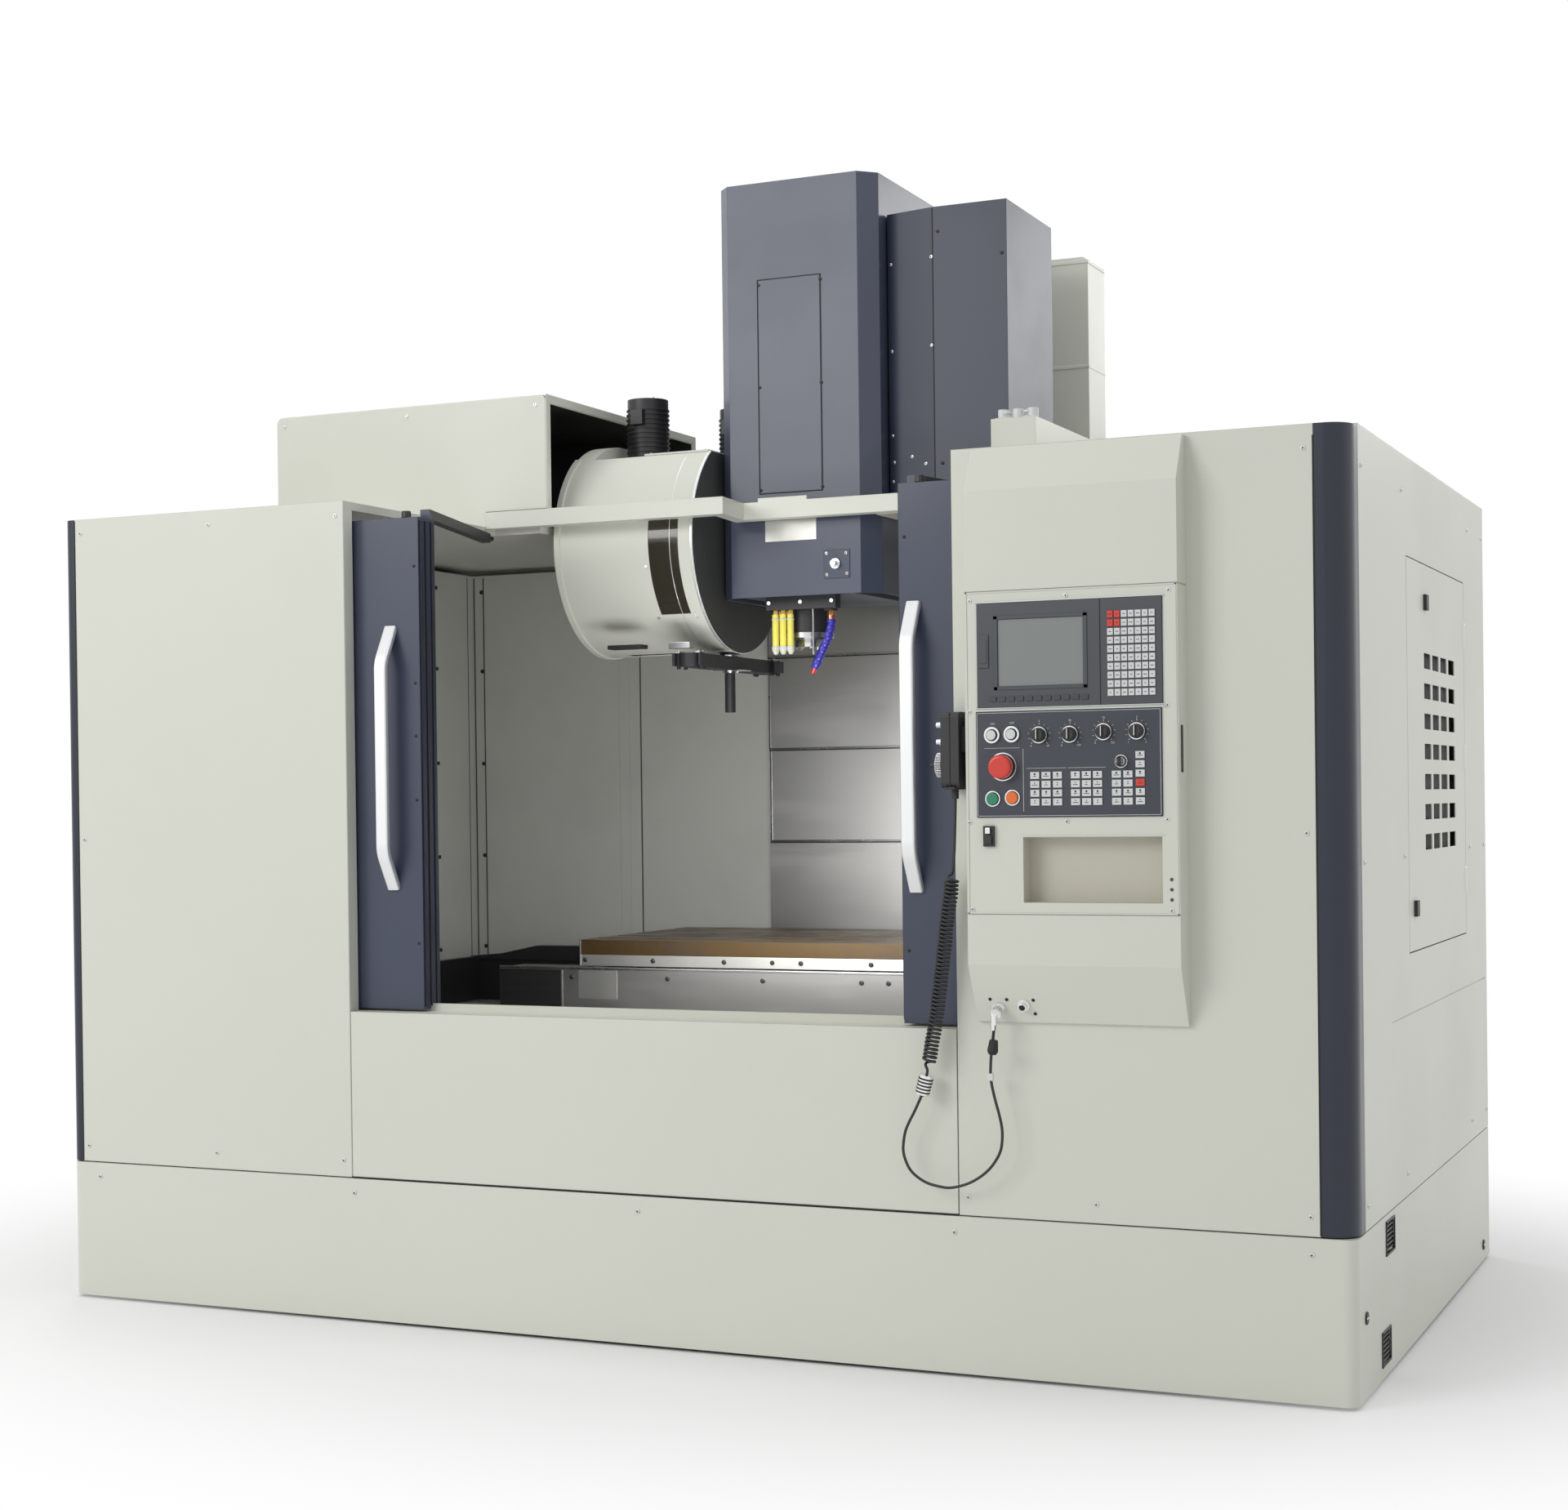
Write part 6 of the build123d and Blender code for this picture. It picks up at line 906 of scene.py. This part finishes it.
# %% Frames, screws and slot
BOX_FACE = -75
mesh = bmesh.new()
for low, high in ((1107, 1111), (1853, 1857)):
    add_box(mesh, (921, 1425), (BOX_FACE - 1.6, BOX_FACE + 0.4), (low, high))
for x in ((921, 925), (1421, 1425)):
    add_box(mesh, x, (BOX_FACE - 1.6, BOX_FACE + 0.4), (1107, 1857))
piece("panel_frame", mesh, "frame", "cream_paint", 0.6)
mesh = bmesh.new()
for x, z in (((944, 1397), (1578, 1580.4)), ((944, 1397), (1584.6, 1586.4)), ((944, 1397), (1830, 1833))):
    add_box(mesh, x, (BOX_FACE - 4.4, BOX_FACE + 0.3), z)
add_box(mesh, (1052, 1392), (BOX_FACE - 2, BOX_FACE + 0.4), (1287, 1290))
piece("unit_strips", mesh, "frame", "white_plastic", 0.5)
SCREW_PLACES = ((932, 1837), (1166, 1840), (1408, 1842), (929, 1578), (1403, 1582), (927, 1320), (1164, 1321),
                (1400, 1324), (932, 1118), (1408, 1118))
screws("box_screws", [at(x, BOX_FACE, z) for x, z in SCREW_PLACES], AHEAD, 5, "frame")
mesh = bmesh.new()
add_box(mesh, (1426.5, 1430), (-58, -44), (1430, 1537))
piece("card_slot", mesh, "frame", "black_plastic", 0.8)
mesh = bmesh.new()
for z in (1142, 1165, 1188):
    add_rod(mesh, at(1408, BOX_FACE + 0.4, z), at(1408, BOX_FACE - 0.8, z), 4, 16)
piece("small_sockets", mesh, "frame", "drum_grey", 0)
mesh = bmesh.new()
add_box(mesh, (966, 984), (-90, -83.5), (1270, 1290))
add_box(mesh, (969, 981), (-92, -89), (1294, 1308), 1)
piece("box_latch", mesh, "frame", ("black_plastic", "chrome"), 1.2)

# %% [markdown]
# ## Pendant
# The pendant has a handwheel that moves the table or the spindle one step for each click, a
# selector for the axis and one for the step size, and its own stop button.

# %% Handwheel, selectors and shell of the pendant
mesh = bmesh.new()
wheel_at = at(838, -42, 1456)
for step in range(40):
    turn = 2 * math.pi * step / 40
    rim = Vector((0, math.sin(turn), math.cos(turn)))
    add_rod(mesh, wheel_at + rim * 28.6 * MM, wheel_at + rim * 28.6 * MM + RIGHT * 15 * MM, 1.2, 6)
add_rod(mesh, wheel_at - RIGHT * 1.5 * MM, wheel_at, 24, 36, index=1)
piece("handwheel_rim", mesh, "handwheel", ("chrome", "screw_steel"), 0)
mesh = bmesh.new()
for z in (1510, 1550):
    add_rod(mesh, at(858, -54, z), at(849, -54, z), 10, 24)
    add_rod(mesh, at(850, -54, z), at(839, -54, z), 7.5, 12)
add_rod(mesh, at(858, -24, 1545), at(846, -24, 1545), 8, 24, 10, index=1)
piece("pendant_selectors", mesh, "frame", ("screw_steel", "red_plastic"), 0.5)
mesh = bmesh.new()
add_box(mesh, (868, 893), (-84, 0), (1398, 1404))
add_box(mesh, (879, 882), (-83.4, -1.4), (1404, 1578), 1)
for step in range(5):
    add_rod(mesh, at(880, -44, 1400 - step * 5), at(880, -44, 1397.4 - step * 5), 9.6 - step * 0.5, 20)
add_box(mesh, (898, 918), (-62, -22), (1486, 1545), 1)
piece("pendant_shell", mesh, "frame", ("black_plastic", "dark_rubber"), 1.0)
print("control box and pendant done")

# %% [markdown]
# ## Spindle head
# The head cover is painted sheet that travels with the head. Its front panel comes off with
# six screws to reach the belt and the drawbar. Below it, a small switch plate and a blank plate
# face the operator. Three yellow nozzles and a jointed blue hose bring coolant to the tool.

# %% Screws and plates on the head cover
HEAD_FACE = 965
screws("head_screws", [at(x, HEAD_FACE, z) for x in (-76, 117) for z in (2865, 2570, 2273)], AHEAD, 5, "head",
       "black_metal")
mesh = bmesh.new()
add_box(mesh, (118, 199), (HEAD_FACE - 2, HEAD_FACE), (2008, 2090))
add_rod(mesh, at(156, HEAD_FACE - 2, 2050), at(156, HEAD_FACE - 9, 2050), 15, 28, index=1)
add_rod(mesh, at(156, HEAD_FACE - 9, 2050), at(156, HEAD_FACE - 26, 2050), 10, 24, 9, index=1)
add_box(mesh, (-65, 96), (HEAD_FACE - 1.2, HEAD_FACE), (2123, 2184), 2)
piece("switch_plate", mesh, "head", ("slate_paint", "chrome", "zinc_plate"), 0.8)
switch_places = ((127, 2081), (188, 2079), (128, 2020), (190, 2021))
screws("switch_screws", [at(x, HEAD_FACE - 2, z) for x, z in switch_places],
       AHEAD, 4.5, "head")
mesh = bmesh.new()
for z in (2262, 2880):
    add_box(mesh, (-82, 119), (HEAD_FACE - 0.6, HEAD_FACE + 0.4), (z - 1, z + 1))
for x in (-81, 118):
    add_box(mesh, (x - 1, x + 1), (HEAD_FACE - 0.6, HEAD_FACE + 0.4), (2262, 2880))
piece("head_panel_gap", mesh, "head", "dark_inside", 0)

# %% Nozzles, jointed hose and stay under the head
mesh = bmesh.new()
for x in (-70, -46, -22):
    add_rod(mesh, at(x, 1040, 1812), at(x, 1040, 1802), 10.5, 24, 5)
    add_rod(mesh, at(x, 1040, 1930), at(x, 1040, 1918), 12.5, 6, index=1)
    add_rod(mesh, at(x, 1040, 1906), at(x, 1040, 1902), 11.2, 24, index=2)
    add_rod(mesh, at(x, 1040, 1826), at(x, 1040, 1814), 11.4, 24, index=2)
piece("nozzles", mesh, "head", ("white_plastic", "brass", "white_plastic"), 0.5)
mesh = bmesh.new()
add_rod(mesh, at(100, 1058, 1934), at(100, 1058, 1912), 14, 6)
add_rod(mesh, at(100, 1058, 1912), at(100, 1058, 1900), 12, 24, 12.5)
piece("hose_union", mesh, "head", "copper", 0.6)
HOSE = ((100, 1900), (99, 1882), (93, 1862), (86, 1841), (76, 1822), (66, 1803), (56, 1783), (48, 1765))
mesh = bmesh.new()
for (x, z), (x_next, z_next) in zip(HOSE, HOSE[1:]):
    upper, lower = at(x, 1058, z), at(x_next, 1058, z_next)
    add_rod(mesh, upper, upper.lerp(lower, 0.55), 12.6, 24, 13.4)
    add_rod(mesh, upper.lerp(lower, 0.62), upper.lerp(lower, 0.92), 12.2, 24, 11.4)
add_rod(mesh, at(49, 1058, 1768), at(38, 1058, 1744), 10, 24, 5, index=1)
piece("hose_joints", mesh, "head", ("blue_plastic", "red_plastic"), 0.5)
mesh = bmesh.new()
add_rod(mesh, at(54, 1030, 1972), at(54, 1030, 1806), 3, 12)
add_rod(mesh, at(54, 1030, 1806), at(54, 1030, 1798), 5, 12, 4)
for x in (-80, 20, 118):
    add_rod(mesh, at(x, 1018, 1951), at(x, 1014, 1951), 6, 20)
piece("nozzle_stay", mesh, "head", "chrome", 0.3)
mesh = bmesh.new()
for radius, low, high in ((70, 1850, 1866), (56, 1846, 1852)):
    add_ring(mesh, at(0, 1130, low), UP, radius + 2.5, 5, high - low, 48)
for step in range(6):
    turn = math.radians(30 + 60 * step)
    spot = at(62 * math.cos(turn), 1130 + 62 * math.sin(turn), 1850)
    add_rod(mesh, spot, spot - UP * 3 * MM, 4.5, 12, index=1)
piece("nose_rings", mesh, "head", ("screw_steel", "dark_rubber"), 0.6)
mesh = bmesh.new()
add_ring(mesh, at(0, 1130, 1826), UP, 44.6, 1.2, 10, 48)
piece("spindle_ring", mesh, "spindle", "chrome", 0)

# %% [markdown]
# ## Side cover of the column
# A folded cover on the right of the head hides the counterweight or the cables. Its screws
# run down the inner edge.

# %% Screws of the side cover
cover_edge = (at(434, 1035, 0) - at(285, 1065, 0)).normalized()
cover_out = cover_edge.cross(UP)
if cover_out.y > 0:
    cover_out = -cover_out


def on_cover(x, z):
    """A point on the side cover's slanted front strip."""
    share = (x - 285) / (434 - 285)
    return at(x, 1065 - 30 * share, z)


cover_places = (
    (296, 2906), (296, 2658), (296, 2416), (300, 2340), (296, 2285), (360, 2351), (405, 2327),
    (430, 2910), (428, 2660),
)
screws("side_cover_screws", [on_cover(x, z) for x, z in cover_places], cover_out, 5,
       "frame", "screw_steel")
front_places = ((457, 2325), (640, 2325), (640, 2900), (450, 2980))
screws("side_cover_front_screws", [at(x, 1035, z) for x, z in front_places],
       AHEAD, 5, "frame", "black_metal")
mesh = bmesh.new()
add_box(mesh, (432.5, 435.5), (1034.2, 1035.4), (2210, 3046))
add_box(mesh, (437, 653), (1033.6, 1035.2), (2230, 2233))
piece("side_cover_seams", mesh, "frame", "dark_inside", 0)

# %% [markdown]
# ## Tool magazine
# The drum holds the tools on a turning disc. A flange ring closes its left end, and the
# motors on top turn the disc and swing the arm. The lid's front edge stands up, with a dark strip of painted
# shadow under it. The arm grips one tool in the spindle and one in the tilting pot, and swaps them.

# %% Flange, rims, painted shadow under the lid, and screws on the drum
AXIS = (1130, 2135)
mesh = bmesh.new()


def rim_points(radius, flat, count=72):
    """Points round the drum's outline, cut off flat at the top."""
    found = []
    for step in range(count):
        turn = 2 * math.pi * step / count
        found.append((AXIS[0] + radius * math.sin(turn), min(AXIS[1] + radius * math.cos(turn), flat)))
    return found


def add_band(mesh, x, radius, flat, proud, index=0):
    """A band round the drum between two x positions."""
    rows = []
    for at_x, extra in ((x[0], 0), (x[0], proud), (x[1], proud), (x[1], 0)):
        rows.append([mesh.verts.new(at(at_x, d, z)) for d, z in rim_points(radius + extra, flat + extra)])
    for near, far in zip(rows, rows[1:]):
        for step in range(len(near)):
            after = (step + 1) % len(near)
            face = mesh.faces.new((near[step], near[after], far[after], far[step]))
            face.material_index = index


add_band(mesh, (-676, -658), 318, 2395, 5)
add_band(mesh, (-234, -226), 318, 2395, 2, index=1)
add_band(mesh, (-300, -298), 318, 2395, 0.6, index=1)
piece("drum_bands", mesh, "frame", ("cream_paint", "handle_metal"), 0.8)
mesh = bmesh.new()
add_box(mesh, (-446, -236), (948, 1190), (2396, 2402), 0)
# A near-black strip under the lid's front edge is painted shadow.
add_box(mesh, (-440, -242), (955, 962), (2376, 2397), 1)
for x, depth in ((-430, 962), (-252, 962), (-430, 1176), (-252, 1176)):
    add_rod(mesh, at(x, depth, 2402), at(x, depth, 2405), 5, 16, 4, index=2)
piece("drum_lid", mesh, "frame", ("cream_paint", "dark_inside", "screw_steel"), 0.6)
mesh = bmesh.new()
for (x, depth, radius, top) in ((-526, 1130, 62, 2590), (-292, 1260, 50, 2562)):
    for low in range(2430, top - 20, 14):
        add_ring(mesh, at(x, depth, low), UP, radius + 3.2, 3.4, 5, 36)
    for step in range(4):
        turn = math.radians(45 + 90 * step)
        spot = at(x + (radius - 12) * math.cos(turn), depth + (radius - 12) * math.sin(turn), top)
        add_rod(mesh, spot, spot + UP * 4 * MM, 4, 12, index=1)
    add_box(mesh, (x - 20, x + 20), (depth - radius - 16, depth - radius + 6), (top - 80, top - 36), 0)
piece("motor_fins", mesh, "frame", ("black_metal", "screw_steel"), 0.5)
mesh = bmesh.new()
for x in (-380, -260):
    for z in (1914, 2057, 2200):
        if not (x == -260 and z == 2057):
            spread_out = math.sqrt(max(318 ** 2 - (z - 2135) ** 2, 0))
            add_rod(mesh, at(x, 1130 - spread_out - 3, z), at(x, 1130 - spread_out + 2, z), 5, 16)
piece("window_screws", mesh, "frame", "screw_steel", 0.3)

# %% Claws, hub box and end plate of the changer
mesh = bmesh.new()
add_box(mesh, (-312, -212), (1090, 1170), (1764, 1766.5))
add_rod(mesh, at(-262, 1130, 1806), at(-262, 1130, 1812), 34, 40)
add_rod(mesh, at(-262, 1130, 1764), at(-262, 1130, 1757), 26, 40, 22)
piece("changer_centre", mesh, "changer_arm", "chrome", 1.2)
mesh = bmesh.new()
for depth, turn_sign in ((868, 1), (1392, -1)):
    for x in (-294, -230):
        add_box(mesh, (x - 7, x + 7), (depth - 22, depth + 22), (1804.5, 1809))
        add_rod(mesh, at(x, depth + 14 * turn_sign, 1809), at(x, depth + 14 * turn_sign, 1812), 5, 6)
        add_rod(mesh, at(x, depth - 14 * turn_sign, 1809), at(x, depth - 14 * turn_sign, 1812), 5, 6)
for depth, turn_sign in ((868, 1), (1392, -1)):
    for step in range(7):
        turn = math.radians(-60 + 50 * step)
        spot = at(-262 + 37 * math.cos(turn), depth + 37 * math.sin(turn) * turn_sign, 1785)
        if abs(spot.x + 0.262) > 0.02:
            add_rod(mesh, spot - UP * 26 * MM, spot + UP * 22 * MM, 6, 14, 5, index=1)
    add_box(mesh, (-308, -300), (depth - 30, depth + 30), (1768, 1803), 1)
    add_box(mesh, (-224, -217), (depth - 30, depth + 30), (1768, 1803), 1)
piece("changer_claws", mesh, "changer_arm", ("screw_steel", "black_metal"), 0.8)
mesh = bmesh.new()
add_box(mesh, (-512, -403), (826, 872), (1822, 1834))
add_box(mesh, (-318, -250), (836, 870), (1818, 1836), 1)
piece("drum_brackets", mesh, "frame", ("black_metal", "chrome"), 1.0)

# %% [markdown]
# ## Table and saddle covers
# A cast-iron table is oiled so that it doesn't rust. Behind its front edge runs a strip with
# screws, and stainless covers below it keep chips away from the slideways. The sheets are
# screwed down near their edges.

# %% Strip, screws and edges on the table
mesh = bmesh.new()
add_box(mesh, (-590, 808), (778.2, 784), (903, 935), 0)
for x in (-589, 807):
    add_box(mesh, (x - 2, x + 2), (776.5, 785), (903, 976), 1)
piece("table_strip", mesh, "table", ("zinc_plate", "screw_steel"), 0.6)
screws("table_strip_screws", [at(x, 778.2, 920) for x in (-572, -351, -125, 113, 325, 540, 770)], AHEAD, 7,
       "table",
       "black_metal")
mesh = bmesh.new()
add_rod(mesh, at(25, 780, 920), at(25, 777.6, 920), 7, 20)
piece("table_oil_hole", mesh, "table", "dark_inside", 0)
screws("table_end_screws", [at(-592, depth, z) for depth in (830, 1000, 1260, 1430) for z in (925, 955)],
       -RIGHT, 6, "table", "black_metal")
saddle_places = (
    (-612, 773), (-612, 870), (-300, 870), (0, 870), (300, 870), (-300, 740), (0, 740), (300, 740),
    (380, 870), (380, 740),
)
screws("saddle_cover_screws", [at(x, 768, z) for x, z in saddle_places], AHEAD, 7, "saddle", "black_metal")
mesh = bmesh.new()
add_box(mesh, (-590, -463), (766.6, 768.2), (807, 890), 0)
piece("saddle_blank_plate", mesh, "saddle", "zinc_plate", 0.4)
mesh = bmesh.new()
add_box(mesh, (-854, -648), (766.4, 768.2), (701, 890), 0)
add_box(mesh, (-648, -643), (765.6, 768.2), (701, 890), 1)
add_box(mesh, (-854, 854), (764.6, 768.2), (893, 898), 2)
add_box(mesh, (-852, -600), (771, 905), (893.2, 895.2), 0)
piece("way_cover_end", mesh, "saddle", ("dark_steel", "stainless", "ground_steel"), 0.5)
mesh = bmesh.new()
add_box(mesh, (-857, -854.2), (812, 1448), (600, 826), 0)
add_box(mesh, (854.2, 857), (812, 1448), (600, 826), 0)
piece("way_wipers", mesh, "saddle", "dark_rubber", 0.8)

# %% [markdown]
# ## Doors
# Rubber seals close the gap between the doors and the body. Each pane sits in a gasket, and
# the pull handles stand on two feet so that a gloved hand fits behind them.

# %% Seals, gaskets, feet and screws of the doors
for body, side, x_inner, pane in (("left_door", -1, -657, (-1377, -957)),
                                           ("right_door", 1, 708, (1008, 1428))):
    mesh = bmesh.new()
    for x, z in (((pane[0] - 12, pane[1] + 12), (1860, 1872)), ((pane[0] - 12, pane[1] + 12), (1168, 1180)),
                 ((pane[0] - 12, pane[0]), (1180, 1860)), ((pane[1], pane[1] + 12), (1180, 1860))):
        add_box(mesh, x, (122, 131), z)
    near, far = sorted((x_inner, x_inner - side * 4))
    for low in (54, 80, 108):
        add_box(mesh, (near, far), (low, low + 14), (842, 2132), 1)
    piece(body + "_gaskets", mesh, body, ("dark_rubber", "post_paint"), 1.2)
    handle_x = -745 if side < 0 else 745
    mesh = bmesh.new()
    for z in (1155, 1850):
        inward = 1 if z < 1500 else -1
        add_rod(mesh, at(handle_x, 47, z + 14 * inward), at(handle_x, 40, z + 14 * inward), 17, 32)
    piece(body + "_handle_feet", mesh, body, "handle_metal", 1.0)
DOOR_SCREWS = (1010, 1390, 1560, 1700, 2010)
screws("left_door_edge_screws", [at(-671, 48, z) for z in DOOR_SCREWS], AHEAD, 4, "left_door",
       "black_metal")
screws("right_door_edge_screws", [at(722, 48, z) for z in DOOR_SCREWS], AHEAD, 4, "right_door",
       "black_metal")

# %% Roller brackets of the doors
mesh = bmesh.new()
for x in (-700, -1500):
    add_rod(mesh, at(x, 60, 2141), at(x, 60, 2158), 13, 24, 12)
piece("left_door_hangers", mesh, "left_door", "black_metal", 0.8)
mesh = bmesh.new()
for x in (760, 1560):
    add_rod(mesh, at(x, 60, 2141), at(x, 60, 2158), 13, 24, 12)
piece("right_door_hangers", mesh, "right_door", "black_metal", 0.8)

# %% [markdown]
# ## Inside the cabin
# The walls are painted sheet, folded at the seams and fixed with rows of dome-headed screws.
# Chips slide down them into the tray.

# %% Screws and strips inside
WALL_HEIGHTS = (883, 1198, 1516, 1836, 2110)
screws("wall_screws", [at(x, 1850, z) for x in (-1555, 960, 1530) for z in WALL_HEIGHTS], AHEAD, 7, "frame",
       "black_metal")
screws("side_wall_screws", [at(-1589, depth, z) for depth in (240, 700, 1150, 1610) for z in WALL_HEIGHTS],
       RIGHT, 7, "frame", "black_metal")
mesh = bmesh.new()
for x in (-1585, -1548, -984, -939, 939, 984):
    add_box(mesh, (x - 2, x + 2), (1848.4, 1850.4), (845, 2160), 0)
add_box(mesh, (-981, -942), (1846, 1850.2), (845, 2160), 1)
add_box(mesh, (942, 981), (1846, 1850.2), (845, 2160), 1)
for depth in (640, 1240, 1810):
    add_box(mesh, (-1589.3, -1588), (depth - 2, depth + 2), (845, 2160), 0)
# Near-black strip at the foot of the back wall: painted shade in the gap between the wall and the covers.
add_box(mesh, (-1588, -470), (1806, 1850), (700, 846), 2)
ledge = ((-1588, 840), (-1588, 851), (-1470, 860), (-1330, 889), (-470, 891), (-470, 840))
add_plate(mesh, ledge, (1798, 1848), 3)
# Black strip at the foot of the left wall: painted shade in the same gap.
add_box(mesh, (-1589, -1560), (300, 1806), (700, 849), 3)
piece("wall_folds", mesh, "frame", ("drum_grey", "liner_paint", "dark_inside", "black_metal"), 0.8)
mesh = bmesh.new()
add_box(mesh, (-560, 560), (147, 178), (483, 512), 0)
add_box(mesh, (-1560, -900), (150, 172), (484, 506), 0)
add_box(mesh, (900, 1560), (150, 172), (484, 506), 0)
piece("tray_angles", mesh, "frame", "black_metal", 1.5)

# %% Folded lips of the telescopic covers behind the table
for body, depth, low in (("head", 1791, 1840), ("z_cover_middle", 1796, 1540), ("z_cover_lower", 1801, 1240)):
    mesh = bmesh.new()
    add_box(mesh, (-440, 440), (depth - 2.2, depth + 0.2), (low, low + 7), 0)
    # A dark strip under each lip is painted shadow beneath it.
    add_box(mesh, (-440, 440), (depth - 1.2, depth + 0.2), (low - 3, low), 1)
    for side in (-1, 1):
        near, far = sorted((side * 434, side * 440))
        add_box(mesh, (near, far), (depth - 1.6, depth + 0.2), (low, low + 326), 0)
    piece(body + "_cover_lip", mesh, body, ("ground_steel", "dark_rubber"), 0.4)

# %% [markdown]
# ## Outer sheet
# The panels meet in narrow gaps, with screws along the flanges. The skirt has sprung catches
# and two grilles for air at the side.

# %% Trims, panel screws and skirt fittings
mesh = bmesh.new()
add_box(mesh, (-1763, -1759), (-1.0, 1.0), (388, 2186), 0)
add_box(mesh, (1718, 1722), (-0.6, 1.0), (388, 2178), 0)
add_box(mesh, (-860, 858), (-1.0, 1.0), (385, 388), 0)
piece("panel_gaps", mesh, "frame", "dark_inside", 0)
panel_places = (
    (-1740, 430), (-1740, 1290), (-1740, 2150), (-885, 430), (-885, 2150), (885, 430), (1698, 430),
    (1698, 1290), (1698, 2150), (1200, 430), (-1300, 430), (-1300, 2150),
)
screws("panel_screws", [at(x, 0, z) for x, z in panel_places], AHEAD, 5.5,
       "frame", "screw_steel")
mesh = bmesh.new()
for depth, z in ((395, 328), (334, 78)):
    for row in range(6):
        low = z - 32 + row * 11
        add_box(mesh, (1788, 1799), (depth - 50, depth + 50), (low, low + 5))
    for z_span in ((z + 36, z + 41), (z - 41, z - 36)):
        add_box(mesh, (1796, 1803), (depth - 55, depth + 55), z_span)
    for d_span in ((depth - 55, depth - 51), (depth + 51, depth + 55)):
        add_box(mesh, (1796, 1803), d_span, (z - 41, z + 41))
piece("skirt_grilles", mesh, "frame", "black_plastic", 0.8)
mesh = bmesh.new()
for depth, z in ((95, 192), (1863, 54)):
    add_rod(mesh, at(1794, depth, z), at(1804, depth, z), 16, 28, 14.5)
    add_box(mesh, (1803, 1804.8), (depth - 9, depth + 9), (z - 2, z + 2), 1)
piece("skirt_catches", mesh, "frame", ("black_plastic", "chrome"), 0.6)
screws("skirt_screws", [at(x, -3, 345) for x in (-1700, -850, 0, 850, 1700)], AHEAD, 6,
       "frame", "screw_steel")
side_places = [at(1800, depth, z) for depth in (130, 640, 1680, 1950) for z in (440, 1220, 2120)]
screws("side_screws", side_places, RIGHT, 5.5,
       "frame", "screw_steel")

# %% [markdown]
# ## Electrical cabinet
# The control cabinet's door has a louvred patch with a filter mat behind it, two key
# latches and two hinges. Inside, a zinc-plated back plate carries rails and cable ducts.

# %% Filter, latches, hinges and back plate
mesh = bmesh.new()
add_box(mesh, (1775, 1781.4), (925, 1460), (1198, 1767), 0)
for column in range(24):
    depth = 930 + column * 22
    add_box(mesh, (1781.2, 1781.9), (depth, depth + 3), (1202, 1763), 1)
piece("filter_mat", mesh, "cabinet_door", ("dark_rubber", "black_metal"), 0)
mesh = bmesh.new()
for depth, z in ((964, 1866), (785, 1086)):
    add_ring(mesh, at(1804, depth, z), RIGHT, 12, 3, 4.6)
    add_rod(mesh, at(1803, depth, z), at(1807, depth, z), 9.5, 28)
    add_box(mesh, (1806, 1807.6), (depth - 1.4, depth + 1.4), (z - 6, z + 6), 1)
piece("latch_keys", mesh, "cabinet_door", ("chrome", "dark_inside"), 0.4)
mesh = bmesh.new()
for z in (1130, 1472, 1814):
    add_rod(mesh, at(1798, 1607, z - 32), at(1798, 1607, z + 32), 6, 20)
    add_rod(mesh, at(1798, 1607, z + 32), at(1798, 1607, z + 36), 7.5, 20, 5)
piece("cabinet_hinges", mesh, "cabinet_door", "screw_steel", 0.4)
mesh = bmesh.new()
add_box(mesh, (1592.5, 1595), (730, 1580), (1010, 1940), 0)
for z in (1120, 1330, 1540, 1750):
    add_box(mesh, (1595, 1599), (750, 1560), (z, z + 34), 1)
for z in (1230, 1440, 1650, 1850):
    add_box(mesh, (1595, 1598.5), (760, 1550), (z, z + 50), 2)
    for step in range(18):
        add_box(mesh, (1598.5, 1599.4), (770 + step * 43, 794 + step * 43), (z + 6, z + 44), 3)
piece("back_plate", mesh, "frame", ("zinc_plate", "screw_steel", "white_plastic", "drum_grey"), 0)

# %% [markdown]
# ## Roof
# A cable box, its glands and the duct behind it bring the wiring from the cabinet to the head.

# %% Glands, lid screws and duct bands
mesh = bmesh.new()
for x in (915, 970):
    add_rod(mesh, at(x, 265, 2306), at(x, 265, 2313), 17, 6)
    add_ring(mesh, at(x, 265, 2322), UP, 13.5, 2, 5)
for x in (895, 990):
    for depth in (240, 480, 735):
        add_rod(mesh, at(x, depth, 2306), at(x, depth, 2309), 5, 16, 4, index=1)
piece("roof_glands", mesh, "frame", ("white_plastic", "screw_steel"), 0.6)
mesh = bmesh.new()
for z in (2350, 2690, 3010):
    add_box(mesh, (468.6, 669.4), (1758.6, 1931.4), (z, z + 10))
piece("duct_bands", mesh, "frame", "cream_paint", 0.8)
mesh = bmesh.new()
add_box(mesh, (-656.5, -653.5), (735, 758), (2190, 2565))
add_box(mesh, (-656.5, -653.5), (1692, 1715), (2190, 2565))
add_box(mesh, (-656.5, -653.5), (758, 1692), (2542, 2565))
piece("hood_flange", mesh, "frame", "cream_paint", 0.8)
hood_places = [at(x, 735, z) for x in (-1570, -1130, -690) for z in (2225, 2535)]
screws("hood_screws", hood_places, AHEAD, 5.5, "frame")
column_places = [at(x, 1870, z) for x in (-390, 390) for z in (1000, 1600, 2200, 2800)]
screws("column_cap_screws", column_places, AHEAD, 10,
       "frame", "black_metal")

# %% [markdown]
# ## Back
# The power cable enters through a gland with a lock nut on the rear panel.

# %% Power gland
mesh = bmesh.new()
add_ring(mesh, at(1300, 1983, 620), Vector((0, 1, 0)), 30, 5, 1.8, 6)
piece("power_gland", mesh, "frame", "drum_grey", 0.4)
